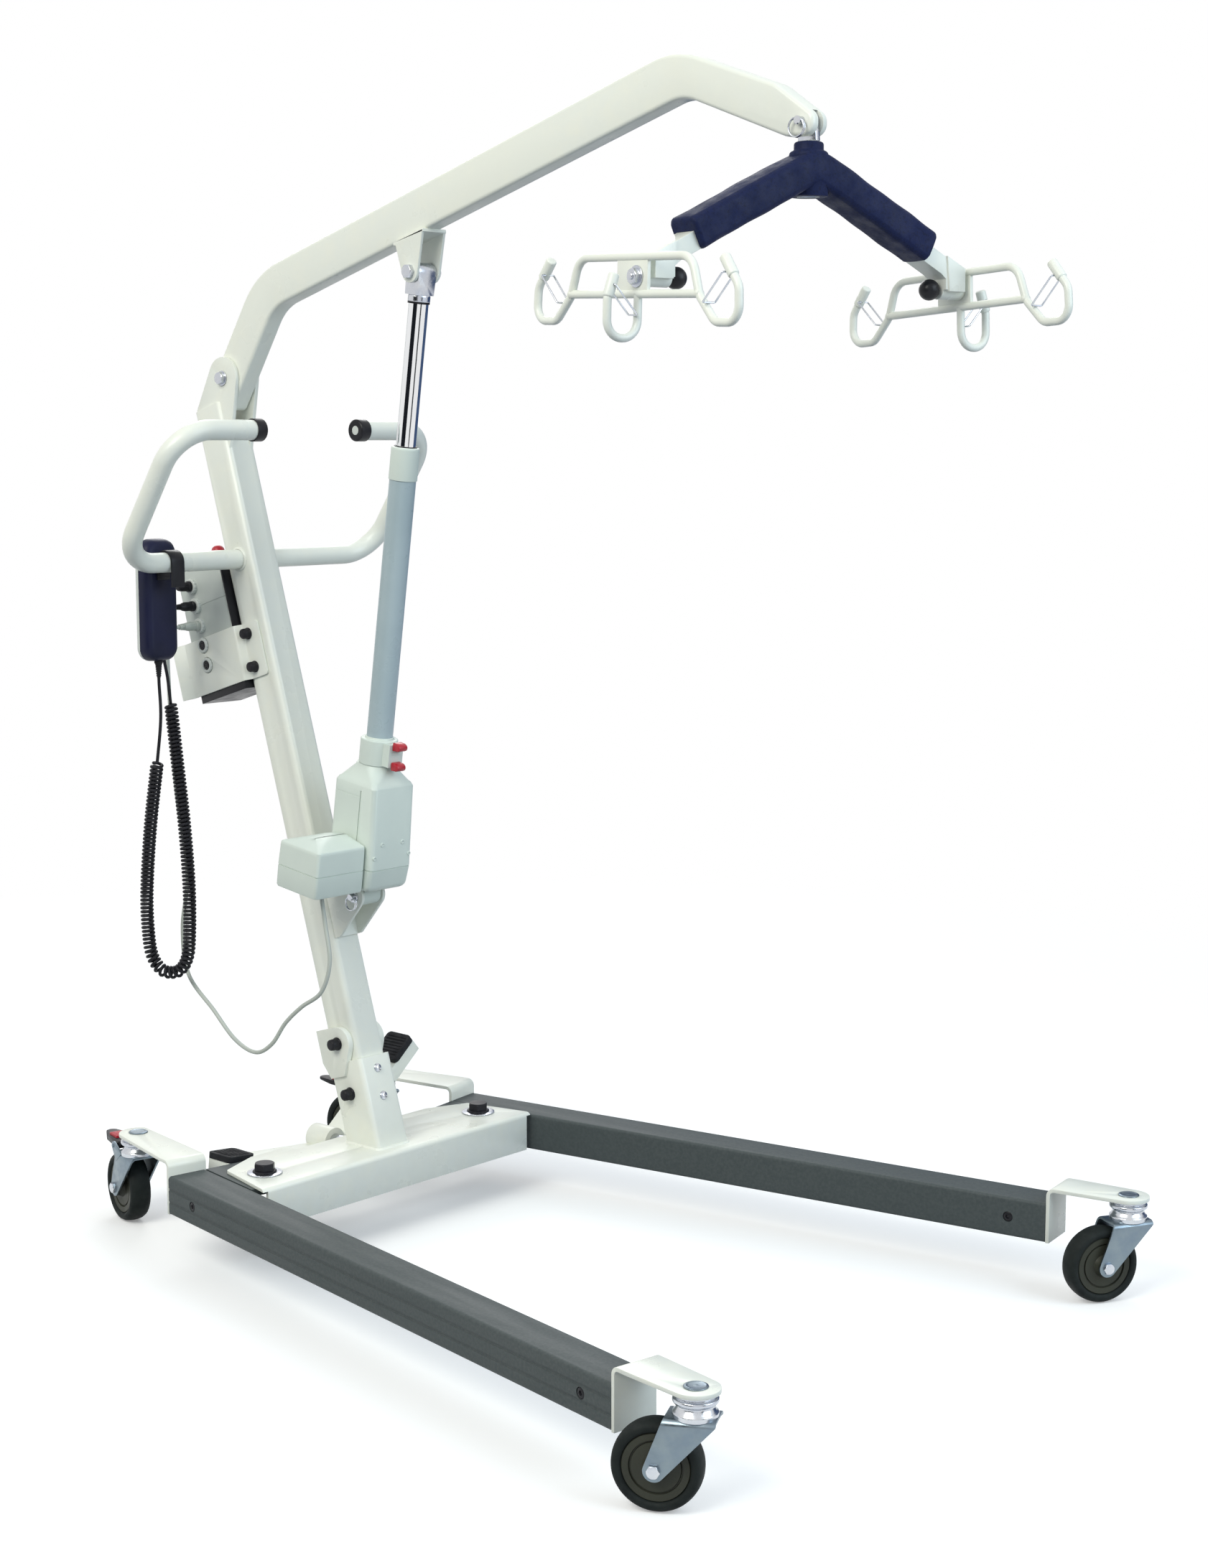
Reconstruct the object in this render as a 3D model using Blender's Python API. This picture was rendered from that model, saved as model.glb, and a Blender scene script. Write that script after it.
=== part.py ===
"""Bariatric patient lift, in metres.

+X is forward, the way the legs point. +Y is the lift's left and +Z is up.
The origin is on the floor, midway between the two bolts that the legs turn on.
"""

import math

import bpy
import numpy as np
from mathutils import Matrix, Vector

# Fits
GAP = 0.0003
RUNNING_GAP = 0.0006
SIDE_PLAY = 0.0015
WELD = 0.0005

# Legs, each turning on a bolt under the crossbeam
LEG_PIVOT_Y = 0.2065
LEG_OPEN = math.radians(9.5)
LEG_LOW = 0.0628
LEG_HEIGHT = 0.0537
LEG_INNER = 0.0447
LEG_WIDTH = 0.0589
LEG_REAR = 0.080
LEG_FRONT = 0.878
LEG_WALL = 0.004
LEG_CORNER = 0.005
LEG_GROOVE = 0.0012
LEG_GROOVE_WIDTH = 0.004
TAB_THICKNESS = 0.010
TAB_INNER = 0.030
TAB_FRONT = 0.042
LEG_HOLE_RADIUS = 0.007
LEG_HOLE_INSET = 0.053

# Crossbeam, a channel folded from plate
BEAM_PLATE = 0.0043
BEAM_FRONT = 0.058
BEAM_REAR = 0.055
BEAM_EAR_REAR = 0.073
BEAM_EAR_INNER = 0.103
BEAM_EAR_OUTER = 0.169
BEAM_HALF = 0.2445
BEAM_END_SLANT = math.radians(13.5)
BEAM_CHAMFER = 0.0065
BEAM_BEND = 0.007
BEAM_LIP_LOW = 0.0655
REAR_LIP_HALF = 0.100
LEG_BOLT_RADIUS = 0.006
LEG_BOLT_CAP = 0.0165
LEG_BOLT_CAP_HEIGHT = 0.0122
WASHER_RADIUS = 0.024
WASHER_THICKNESS = 0.0022

# Casters
WHEEL_RADIUS = 0.050
WHEEL_WIDTH = 0.032
TYRE_DEPTH = 0.012
TRAIL = 0.040
AXLE_RADIUS = 0.004
FORK_PLATE = 0.003
FORK_INNER = 0.0195
CROWN_RADIUS = 0.025
CASTER_PLATE = 0.005
CASTER_PLATE_TOP = 0.1376
CASTER_NOSE = 0.027
KINGPIN_RADIUS = 0.006
FRONT_SWIVEL = (0.9805, 0.0732)
REAR_SWIVEL = (-0.2354, 0.0652)
FRONT_RIGHT_HEADING = math.radians(207.5)
FRONT_LEFT_HEADING = math.radians(240.0)
REAR_RIGHT_HEADING = math.radians(164.7)
REAR_LEFT_HEADING = math.radians(195.3)

# Brake lever over each rear wheel
BRAKE_PIVOT = (0.038, 0.1125)
BRAKE_LENGTH = 0.068
BRAKE_HALF = 0.0165
BRAKE_PIN = 0.0025

# Foot pedal that spreads the legs
PEDAL_AXIS_X = -0.108
PEDAL_AXIS_Z = 0.105
PEDAL_REACH = 0.198
PEDAL_V = math.radians(23.0)
PEDAL_TURN = math.radians(17.4)
PEDAL_DEPTH = 0.042
PEDAL_ARM = 0.021
PEDAL_HUB = 0.019
PEDAL_BOLT = 0.006
PAD_THICKNESS = 0.009
PAD_LENGTH = 0.046
PAD_DEPTH = 0.048

# Mast, a tube that leans back
MAST_TILT = math.atan(0.303)
MAST_FOOT_X = 0.0025
MAST_WIDTH = 0.050
MAST_DEPTH = 0.058
MAST_WALL = 0.004
MAST_CORNER = 0.008
MAST_TOP_BELOW_HINGE = 0.030
EAR_RADIUS = 0.030
EAR_GAP = 0.0312
EAR_DEPTH_BELOW = 0.105
EAR_WEB_BELOW = 0.056
EAR_WEB = 0.004

# Socket round the mast's foot
SOCKET_WALL = 0.0045
SOCKET_HEIGHT = 0.121
CLAMP_HEIGHT = 0.148
CLAMP_BOSS = 0.0235
CLAMP_BOSS_THICKNESS = 0.009
CLAMP_TAB_REACH = 0.040
CLAMP_BOLT_RADIUS = 0.005
FOOT_BOLT_HEIGHT = 0.075
CAP_RADIUS = 0.0095
CAP_LENGTH = 0.014
FOOT_CAP_FAR = 0.022
SCREW_HEIGHTS = (0.063, 0.103)
SCREW_RADIUS = 0.0065
SCREW_DOME = 0.004

# Push handle
HANDLE_RADIUS = 0.014
HANDLE_HEIGHT = 0.940
HANDLE_TOP = 1.123
HANDLE_TOP_X = -0.118
HANDLE_HALF = 0.2330
HANDLE_BEND = 0.056
GRIP_END = 0.0906
CAP_SKIRT = 0.014
CAP_WALL = 0.0014

# Boom, a bent tube hinged at the mast's top
HINGE = (-0.278, 1.197)
BOOM_WIDTH = 0.030
BOOM_DEPTH = 0.057
BOOM_FOOT = (-0.2941, 1.1633)
BOOM_LOW_BEND = (-0.1931, 1.3172)
BOOM_TOP_BEND = (0.5677, 1.5440)
BOOM_LOW_RADIUS = 0.100
BOOM_TOP_RADIUS = 0.088
BOOM_FOOT_RADIUS = 0.010
BOOM_UPPER_CORNER = (BOOM_TOP_BEND[0] - 0.0096, BOOM_TOP_BEND[1] + 0.0273)
BOOM_LOWER_CORNER = (BOOM_TOP_BEND[0] + 0.0045, BOOM_TOP_BEND[1] - 0.0287)
NOSE_DROP = 0.0887
NOSE_CHIN = BOOM_TOP_BEND[1] - NOSE_DROP
NOSE_CHIN_START = BOOM_TOP_BEND[0] + 0.1603
NOSE_END = BOOM_TOP_BEND[0] + 0.1991
NOSE_BROW = (BOOM_TOP_BEND[0] + 0.1443, NOSE_CHIN + 0.0613)
NOSE_BROW_END = NOSE_CHIN + 0.0233
BOOM_EDGE = 0.005
HINGE_BOLT_RADIUS = 0.006
HINGE_HEAD_RADIUS = 0.0105
HINGE_HEAD = 0.008

# Lifting actuator between the mast and the boom
LOWER_PIVOT = (-0.015, 0.476)
UPPER_PIVOT = (0.110, 1.330)
ACTUATOR_EAR = 0.0045
LOWER_EAR_RADIUS = 0.017
UPPER_EAR_RADIUS = 0.0145
BRACKET_PLATE = 0.005
BRACKET_BELOW = 0.078
BRACKET_ABOVE = 0.030
CLEVIS_PLATE_LENGTH = 0.062
ACTUATOR_PIN = 0.005
TONGUE_HALF = 0.016
HOUSING_LOW = 0.0172
HOUSING_HIGH = 0.166
HOUSING_REAR = 0.042
HOUSING_FRONT = 0.037
HOUSING_HALF = 0.039
HOUSING_EDGE = 0.007
HOUSING_SHOULDER = 0.024
MOTOR_INNER = 0.0405
MOTOR_LENGTH = 0.088
MOTOR_LOW = 0.018
MOTOR_HIGH = 0.083
MOTOR_REAR = 0.047
MOTOR_FRONT = 0.036
COLLAR_LOW = 0.191
COLLAR_HIGH = 0.227
COLLAR_RADIUS = 0.026
COLLAR_BOSS = 0.035
TUBE_RADIUS = 0.01825
TUBE_TOP = 0.586
TUBE_BORE_FLOOR = 0.235
TOP_COLLAR_RADIUS = 0.0195
TOP_COLLAR_HIGH = 0.631
ROD_RADIUS = 0.0135
ROD_FOOT = 0.440
ROD_NECK = 0.834
RELEASE_WIDTH = 0.017
RELEASE_HEIGHT = 0.040

# Control box behind the mast, measured up the mast and back from it
BOX_UNDER_HANDLE = 0.068
BOX_TALL = 0.199
BOX_HIGH = HANDLE_HEIGHT - BOX_UNDER_HANDLE
BOX_LOW = BOX_HIGH - BOX_TALL
BOX_DEPTH = 0.098
BOX_HALF = 0.036
BOX_BACK_PLATE = 0.006
BOX_FOOT = 0.016
BOX_EDGE = 0.006
SOCKET_BACK = 0.100
SOCKET_TOP = BOX_HIGH - 0.030
SOCKET_PITCH = 0.0295
SOCKET_COUNT = 5
SOCKET_RADIUS = 0.0095
SOCKET_RING = 0.006
HOLDER_TALL = 0.080
HOLDER_LOW = BOX_LOW + 0.011
HOLDER_HIGH = HOLDER_LOW + HOLDER_TALL
HOLDER_PLATE = 0.003
HOLDER_REACH = 0.142
HOLDER_BOLTS = (HOLDER_LOW + 0.0157, HOLDER_LOW + 0.0645)
HOLDER_BOLT_X = -0.0100
HOLDER_BOLT_RADIUS = 0.0085
HOLDER_BOLT_HEAD = 0.012
STOP_RADIUS = 0.010
STOP_HEIGHT = 0.022
STOP_BACK = 0.0703
PLUG_RADIUS = 0.0075
PLUG_LENGTH = 0.034

# Handset hooked over the handle
HANDSET_Y = -0.148
HANDSET_WIDTH = 0.058
HANDSET_DEPTH = 0.030
HANDSET_BELOW_HANDLE = 0.140
HANDSET_ABOVE_HANDLE = 0.032
HANDSET_LOW = HANDLE_HEIGHT - HANDSET_BELOW_HANDLE
HANDSET_HIGH = HANDLE_HEIGHT + HANDSET_ABOVE_HANDLE
HOOK_WIDTH = 0.022
HOOK_STRIP = 0.003
HOOK_DROP = 0.034
KEY_WIDTH = 0.026
KEY_HEIGHT = 0.056
KEY_PROUD = 0.003
KEY_Z = HANDLE_HEIGHT - 0.035

# Spreader bar
HUB_X = NOSE_END - 0.0168
HUB_TURN = math.radians(-12.93)
HANG_PIN_Z = NOSE_CHIN + 0.0165
HUB_UNDER_PIN = 0.0225
HUB_HEIGHT = 0.0623
HUB_TOP = HANG_PIN_Z - HUB_UNDER_PIN
HUB_STEP = HUB_TOP - 0.0113
HUB_LOW = HUB_TOP - HUB_HEIGHT
HUB_RADIUS = 0.0228
HUB_COLLAR = 0.0172
HUB_CORE = 0.0135
ARM_CROSSING = HUB_TOP - 0.029
ARM_DROP = math.radians(26.0)
ARM_FOAM_END = 0.1965
FOAM_WIDTH = 0.046
FOAM_HEIGHT = 0.037
FOAM_EDGE = 0.004
STUB_UNDER_FOAM_LINE = 0.006
STUB_CROSSING = ARM_CROSSING - STUB_UNDER_FOAM_LINE
STUB_WIDTH = 0.032
STUB_HEIGHT = 0.0214
HANG_EYE = 0.0118
HANG_EYE_HALF = 0.0042
HANG_LUG_HALF = 0.0133
HANG_SHANK = 0.006
HANG_FLANGE = 0.010
HANG_SLOT_BACK = 0.0235
HANG_PIN_RADIUS = 0.004
RING_RADIUS = 0.0108
RING_WIRE = 0.0011

# Sling cradles, in the plane across each arm's end
CRADLE_OUT = 0.242
CRADLE_UNDER_ARMS = 0.1318
CRADLE_AXIS_Z = ARM_CROSSING - CRADLE_UNDER_ARMS
CRADLE_SHIFT = -0.009
CRADLE_TILTS = {-1: math.radians(2.4), 1: math.radians(-2.6)}
ROD = 0.0048
RAIL_TOP = 0.0215
RAIL_LOW = -0.0190
RAIL_END = 0.1195
SLEEVE = 0.0063
SLEEVE_LENGTH = 0.025
SIDE_HOOK = [
    (0.0, RAIL_TOP, 0.0),
    (0.1055, RAIL_TOP, 0.024),
    (0.1205, RAIL_LOW - 0.002, 0.020),
    (0.1490, -0.0490, 0.018),
    (0.1900, -0.0490, 0.018),
    (0.1880, -0.0110, 0.020),
    (0.1630, 0.0185, 0.0),
]
MIDDLE_HOOK = [
    (0.0, RAIL_LOW, 0.0),
    (0.0, -0.0675, 0.0200),
    (0.0415, -0.0675, 0.0200),
    (0.0415, -0.0250, 0.016),
    (0.0335, 0.0000, 0.0),
]
CRADLE_PLATE_HALF = 0.0285
CRADLE_PLATE = 0.005
ARM_BRACKET_END = 0.232
ARM_BRACKET_START = 0.203
ARM_BRACKET_WIDTH = 0.037
BARREL_RADIUS = 0.011
BARREL_LENGTH = 0.036
CRADLE_BOLT_RADIUS = 0.004
KNOB_RADIUS = 0.0127
NUT_RADIUS = 0.0125
LATCH_WIRE = 0.0011
LATCH_BEND = 0.0018
SIDE_LATCH = ((0.1700, 0.0030), (0.1368, -0.0285))
MIDDLE_LATCH = ((0.0370, -0.0100), (0.0064, -0.0420))

# Cords
CABLE_RADIUS = 0.003
CORD_RADIUS = 0.0023
CURL_RADIUS = 0.0059
CURLS = 52
CURL_POINTS = 8

# Every finish: colour, roughness and metallic value
FINISHES = {
    "white": ((0.86, 0.87, 0.82), 0.35, 0.0),
    "leg_grey": ((0.16, 0.17, 0.18), 0.45, 0.6),
    "black": ((0.02, 0.02, 0.022), 0.5, 0.0),
    "tyre": ((0.035, 0.04, 0.05), 0.7, 0.0),
    "steel": ((0.62, 0.63, 0.65), 0.28, 1.0),
    "light_grey": ((0.66, 0.69, 0.68), 0.4, 0.0),
    "tube_grey": ((0.55, 0.58, 0.60), 0.35, 0.3),
    "red": ((0.62, 0.05, 0.07), 0.4, 0.0),
    "navy": ((0.03, 0.035, 0.12), 0.75, 0.0),
    "cable_grey": ((0.55, 0.58, 0.53), 0.5, 0.0),
}

SIDES = {"right": -1, "left": 1}


def clear_scene():
    for item in list(bpy.data.objects):
        bpy.data.objects.remove(item, do_unlink=True)


# Outlines and paths


def circle(radius, count, centre=(0.0, 0.0), start=0.0):
    """Points round a full circle."""
    angles = [start + math.tau * k / count for k in range(count)]
    return [(centre[0] + radius * math.cos(a), centre[1] + radius * math.sin(a)) for a in angles]


def rounded(points, radii, closed=False, turn=math.radians(45)):
    """The corners of a line replaced by arcs of the radii, in steps of about turn."""
    points = [Vector(point) for point in points]
    count = len(points)
    if isinstance(radii, (int, float)):
        radii = [radii] * count
    result = []
    for k, corner in enumerate(points):
        if not closed and k in (0, count - 1):
            result.append(corner)
            continue
        back = (points[k - 1] - corner).normalized()
        ahead = (points[(k + 1) % count] - corner).normalized()
        between = back.angle(ahead)
        bend = math.pi - between
        if radii[k] <= 0 or bend < 1e-4:
            result.append(corner)
            continue
        reach = radii[k] / math.tan(between / 2)
        middle = corner + (back + ahead).normalized() * radii[k] / math.sin(between / 2)
        first = corner + back * reach - middle
        last = corner + ahead * reach - middle
        steps = max(1, math.ceil(bend / turn))
        for step in range(steps + 1):
            share = step / steps
            weight_a = math.sin((1 - share) * bend) / math.sin(bend)
            weight_b = math.sin(share * bend) / math.sin(bend)
            result.append(middle + first * weight_a + last * weight_b)
    return result


def rectangle(a_low, a_high, b_low, b_high, radius=0.0, turn=math.radians(45)):
    corners = [(a_low, b_low), (a_high, b_low), (a_high, b_high), (a_low, b_high)]
    return rounded(corners, radius, closed=True, turn=turn)


def hull(points):
    """The convex outline round the points, anticlockwise."""
    points = sorted({(round(p[0], 7), round(p[1], 7)) for p in points})
    chains = []
    for row in (points, points[::-1]):
        chain = []
        for point in row:
            while len(chain) > 1 and turns_left(chain[-2], chain[-1], point) <= 0:
                chain.pop()
            chain.append(point)
        chains += chain[:-1]
    return chains


def turns_left(a, b, c):
    return (b[0] - a[0]) * (c[1] - a[1]) - (b[1] - a[1]) * (c[0] - a[0])


def offset_line(points, distance):
    """A line through 2-D points, moved sideways to its left by the distance."""
    points = [Vector(point) for point in points]
    ways = [(b - a).normalized() for a, b in zip(points, points[1:])]
    ways = [ways[0]] + ways + [ways[-1]]
    moved = []
    for point, before, after in zip(points, ways, ways[1:]):
        left = Vector((-before.y - after.y, before.x + after.x)).normalized()
        lean = left.dot(Vector((-after.y, after.x)))
        moved.append(point + left * distance / lean)
    return moved


def ribbon(points, radii, thickness, turn=math.radians(45)):
    """The outline of a folded strip whose middle follows the points."""
    half = thickness / 2
    outline = []
    for side, row in ((half, 1), (-half, -1)):
        corners = offset_line(points, side)
        bends = [0.0]
        for k in range(1, len(points) - 1):
            left = turns_left(points[k - 1], points[k], points[k + 1]) > 0
            bends.append(radii - side if left else radii + side)
        bends.append(0.0)
        outline += rounded(corners, bends, turn=turn)[::row]
    return outline


def smooth_route(points, spacing):
    """Points at an even spacing on a smooth curve through the route's points."""
    points = [Vector(point) for point in points]
    ends = [points[0] * 2 - points[1]] + points + [points[-1] * 2 - points[-2]]
    fine = []
    for a, b, c, d in zip(ends, ends[1:], ends[2:], ends[3:]):
        for k in range(24):
            t = k / 24
            fine.append(
                0.5 * (2 * b + (c - a) * t + (2 * a - 5 * b + 4 * c - d) * t**2 + (3 * b - 3 * c + d - a) * t**3)
            )
    fine.append(points[-1])
    along = np.concatenate([[0.0], np.cumsum([(q - p).length for p, q in zip(fine, fine[1:])])])
    stations = np.linspace(0.0, along[-1], max(2, round(along[-1] / spacing) + 1))
    rows = np.array([list(point) for point in fine])
    return [Vector([np.interp(s, along, rows[:, axis]) for axis in range(3)]) for s in stations]


# Closed shapes, each a list of points and a list of faces


def outward(points, faces):
    """The closed shape with every face looking out."""
    volume = 0.0
    for face in faces:
        first = Vector(points[face[0]])
        for b, c in zip(face[1:-1], face[2:]):
            volume += first.dot(Vector(points[b]).cross(Vector(points[c])))
    if volume < 0:
        faces = [tuple(reversed(face)) for face in faces]
    return [tuple(point) for point in points], faces


def loft(rings, closed=False):
    """A skin over rings of as many points each, with end caps unless it closes on itself."""
    count = len(rings[0])
    points = [tuple(point) for ring in rings for point in ring]
    faces = []
    spans = len(rings) if closed else len(rings) - 1
    for k in range(spans):
        low = k * count
        high = (k + 1) % len(rings) * count
        for j in range(count):
            n = (j + 1) % count
            faces.append((low + j, low + n, high + n, high + j))
    if not closed:
        faces.append(tuple(range(count))[::-1])
        faces.append(tuple(range((len(rings) - 1) * count, len(rings) * count)))
    return outward(points, faces)


def prism(outline, low, high, along="Z"):
    """An outline pushed from low to high. Along Y it holds X and Z, and along X it holds Y and Z."""
    places = {
        "X": lambda a, b, h: (h, a, b),
        "Y": lambda a, b, h: (a, h, b),
        "Z": lambda a, b, h: (a, b, h),
    }
    return loft([[places[along](a, b, h) for a, b in outline] for h in (low, high)])


def block(x, y, z):
    return prism([(x[0], y[0]), (x[1], y[0]), (x[1], y[1]), (x[0], y[1])], z[0], z[1])


def soft_block(x, y, z, edge):
    """A block with rounded upright edges and chamfered ends."""
    cut = edge * 0.6
    rings = []
    for height, inset in ((z[0], cut), (z[0] + cut, 0.0), (z[1] - cut, 0.0), (z[1], cut)):
        outline = rectangle(x[0] + inset, x[1] - inset, y[0] + inset, y[1] - inset, edge, math.radians(45))
        rings.append([(a, b, height) for a, b in outline])
    return loft(rings)


def turned(profile, sides=24, closed=False):
    """A profile of radius and height turned round Z."""
    points = []
    rows = []
    for radius, height in profile:
        if radius < 1e-9:
            rows.append([len(points)])
            points.append((0.0, 0.0, height))
            continue
        rows.append(list(range(len(points), len(points) + sides)))
        points += [(a, b, height) for a, b in circle(radius, sides)]
    pairs = list(zip(rows, rows[1:]))
    if closed:
        pairs.append((rows[-1], rows[0]))
    faces = []
    for low, high in pairs:
        for j in range(sides):
            n = (j + 1) % sides
            corners = [low[j % len(low)], low[n % len(low)], high[n % len(high)], high[j % len(high)]]
            faces.append(tuple(dict.fromkeys(corners)))
    if not closed:
        faces += [tuple(row) for row in (rows[0][::-1], rows[-1]) if len(row) > 1]
    return outward(points, faces)


def rod(radius, low, high, centre=(0.0, 0.0), along="Y", sides=12):
    """A plain round bar."""
    return prism(circle(radius, sides, centre), low, high, along)


def tube(path, radius, sides=10, closed=False):
    """A round bar along a path. Its ends are flat and square to it, unless it closes in one plane."""
    path = [Vector(point) for point in path]
    count = len(path)
    side = None
    rings = []
    for k, point in enumerate(path):
        before = path[k - 1] if k or closed else point
        after = path[(k + 1) % count] if k < count - 1 or closed else point
        way = ((point - before).normalized() + (after - point).normalized()).normalized()
        side = way.orthogonal() if side is None else side
        side = (side - way * side.dot(way)).normalized()
        other = way.cross(side)
        rings.append([point + side * a + other * b for a, b in circle(radius, sides)])
    return loft(rings, closed)


def placed(shape, matrix):
    points, faces = shape
    return outward([matrix @ Vector(point) for point in points], faces)


def dome(radius, height, sides=16):
    """A round cap that stands on the plane z = 0."""
    rings = 2
    profile = [(radius, -WELD)]
    for k in range(rings):
        angle = math.pi / 2 * k / rings
        profile.append((radius * math.cos(angle), height * math.sin(angle)))
    return turned(profile + [(0.0, height)], sides)


# Nodes


def mesh_of(name, shape):
    mesh = bpy.data.meshes.new(name)
    mesh.from_pydata(shape[0], [], shape[1])
    return mesh


def finished(name, finish):
    colour, roughness, metallic = FINISHES[finish]
    material = bpy.data.materials.new(name + "_finish")
    material.use_nodes = True
    surface = material.node_tree.nodes["Principled BSDF"]
    surface.inputs["Base Color"].default_value = (*colour, 1.0)
    surface.inputs["Roughness"].default_value = roughness
    surface.inputs["Metallic"].default_value = metallic
    return material


def new_object(name, mesh):
    item = bpy.data.objects.new(name, mesh)
    bpy.context.scene.collection.objects.link(item)
    return item


def joined(name, base, add=(), keep=(), cut=(), bevel=0.0):
    """One mesh: the base held inside some shapes, then joined to others, then cut by others."""
    item = new_object(name, mesh_of(name, base))
    helpers = []
    if bevel > 0:
        soften(item, bevel)
    for shapes, operation in ((keep, "INTERSECT"), (add, "UNION"), (cut, "DIFFERENCE")):
        for shape in shapes:
            helper = new_object(name + "_tool", mesh_of(name + "_tool", shape))
            helpers.append(helper)
            modifier = item.modifiers.new(operation, "BOOLEAN")
            modifier.operation = operation
            modifier.object = helper
    if helpers or bevel > 0:
        bpy.context.view_layer.update()
        graph = bpy.context.evaluated_depsgraph_get()
        mesh = bpy.data.meshes.new_from_object(item.evaluated_get(graph))
    else:
        mesh = item.data
    for extra in helpers + [item]:
        bpy.data.objects.remove(extra, do_unlink=True)
    mesh.shade_smooth()
    mesh.set_sharp_from_angle(angle=math.radians(35))
    return mesh


def soften(item, width):
    bevel = item.modifiers.new("rounded edges", "BEVEL")
    bevel.width = width
    bevel.segments = 1
    bevel.limit_method = "ANGLE"
    bevel.angle_limit = math.radians(50)
    bevel.use_clamp_overlap = True


def node(name, finish, mesh, at=None, parent=None):
    """One finished object, placed by its own frame and carried by an axis."""
    own = mesh.copy()
    own.materials.append(finished(name, finish))
    item = new_object(name, own)
    item.matrix_world = at or Matrix()
    carry(item, parent)
    return item


def carry(item, parent):
    if parent is None:
        return
    place = item.matrix_world.copy()
    item.parent = parent
    item.matrix_parent_inverse = parent.matrix_world.inverted()
    item.matrix_world = place


def axis(name, frame, parent=None):
    """An empty on a joint's axis."""
    empty = bpy.data.objects.new(name, None)
    bpy.context.scene.collection.objects.link(empty)
    empty.empty_display_size = 0.05
    empty.matrix_world = frame
    carry(empty, parent)
    bpy.context.view_layer.update()
    return empty


def frame(x=0.0, y=0.0, z=0.0, turn=0.0, lean=0.0):
    """A frame turned about the upright, then leant about its own Y."""
    return Matrix.Translation((x, y, z)) @ Matrix.Rotation(turn, 4, "Z") @ Matrix.Rotation(lean, 4, "Y")


LIE_ALONG_Y = Matrix.Rotation(-math.pi / 2, 4, "X")
LIE_ALONG_X = Matrix.Rotation(math.pi / 2, 4, "Y")


# Sizes that follow from the ones above

LEG_TOP = LEG_LOW + LEG_HEIGHT
LEG_OUTER = LEG_INNER + LEG_WIDTH
BEAM_UNDER = LEG_TOP + GAP
BEAM_TOP = BEAM_UNDER + BEAM_PLATE
CASTER_UNDER = CASTER_PLATE_TOP - CASTER_PLATE
MAST_FRAME = frame(MAST_FOOT_X, 0.0, BEAM_TOP, lean=-MAST_TILT)
MAST_HALF = MAST_WIDTH / 2
MAST_FACE = MAST_DEPTH / 2


def in_mast(x, z):
    """A point of the middle plane as a distance ahead of the mast's line and a distance up it."""
    local = MAST_FRAME.inverted() @ Vector((x, 0.0, z))
    return local.x, local.z


def leg_frame(side):
    return frame(0.0, side * LEG_PIVOT_Y, 0.0, turn=side * LEG_OPEN)


# Legs


def leg_section(side):
    """The extrusion's outline, with two grooves along its outer wall."""
    inner = side * LEG_INNER
    outer = side * LEG_OUTER
    deep = side * (LEG_OUTER - LEG_GROOVE)
    half = LEG_GROOVE_WIDTH / 2
    grooves = []
    for k in (1, 2):
        middle = LEG_LOW + k * LEG_HEIGHT / 3
        grooves += [(outer, middle - half), (deep, middle - half)]
        grooves += [(deep, middle + half), (outer, middle + half)]
    corners = [(inner, LEG_LOW), (outer, LEG_LOW)] + grooves + [(outer, LEG_TOP), (inner, LEG_TOP)]
    radii = [LEG_CORNER] * 2 + [0.0] * len(grooves) + [LEG_CORNER] * 2
    return rounded(corners, radii, closed=True, turn=math.radians(45))


def make_leg(name, side, parent):
    body = prism(leg_section(side), -LEG_REAR, LEG_FRONT, "X")
    tab_edges = sorted([-side * TAB_INNER, side * (LEG_INNER + WELD)])
    tab = block((-LEG_REAR, TAB_FRONT), tab_edges, (LEG_TOP - TAB_THICKNESS, LEG_TOP))
    walls = sorted([side * (LEG_INNER + LEG_WALL), side * (LEG_OUTER - LEG_WALL)])
    inside = block((-1.0, 2.0), walls, (LEG_LOW + LEG_WALL, LEG_TOP - LEG_WALL))
    pivot = rod(LEG_BOLT_RADIUS + GAP, 0.0, LEG_TOP + LEG_WALL, along="Z")
    middle = (LEG_LOW + LEG_TOP) / 2
    holes = []
    for u in (-LEG_REAR + 1.2 * LEG_HOLE_INSET, LEG_FRONT - LEG_HOLE_INSET):
        wall = sorted([side * (LEG_OUTER - 2 * LEG_WALL), side * (LEG_OUTER + LEG_WALL)])
        holes.append(rod(LEG_HOLE_RADIUS, *wall, centre=(u, middle), sides=8))
    mesh = joined(name, body, add=[tab], cut=[inside, pivot] + holes)
    return node(name, "leg_grey", mesh, leg_frame(side), parent)


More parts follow.
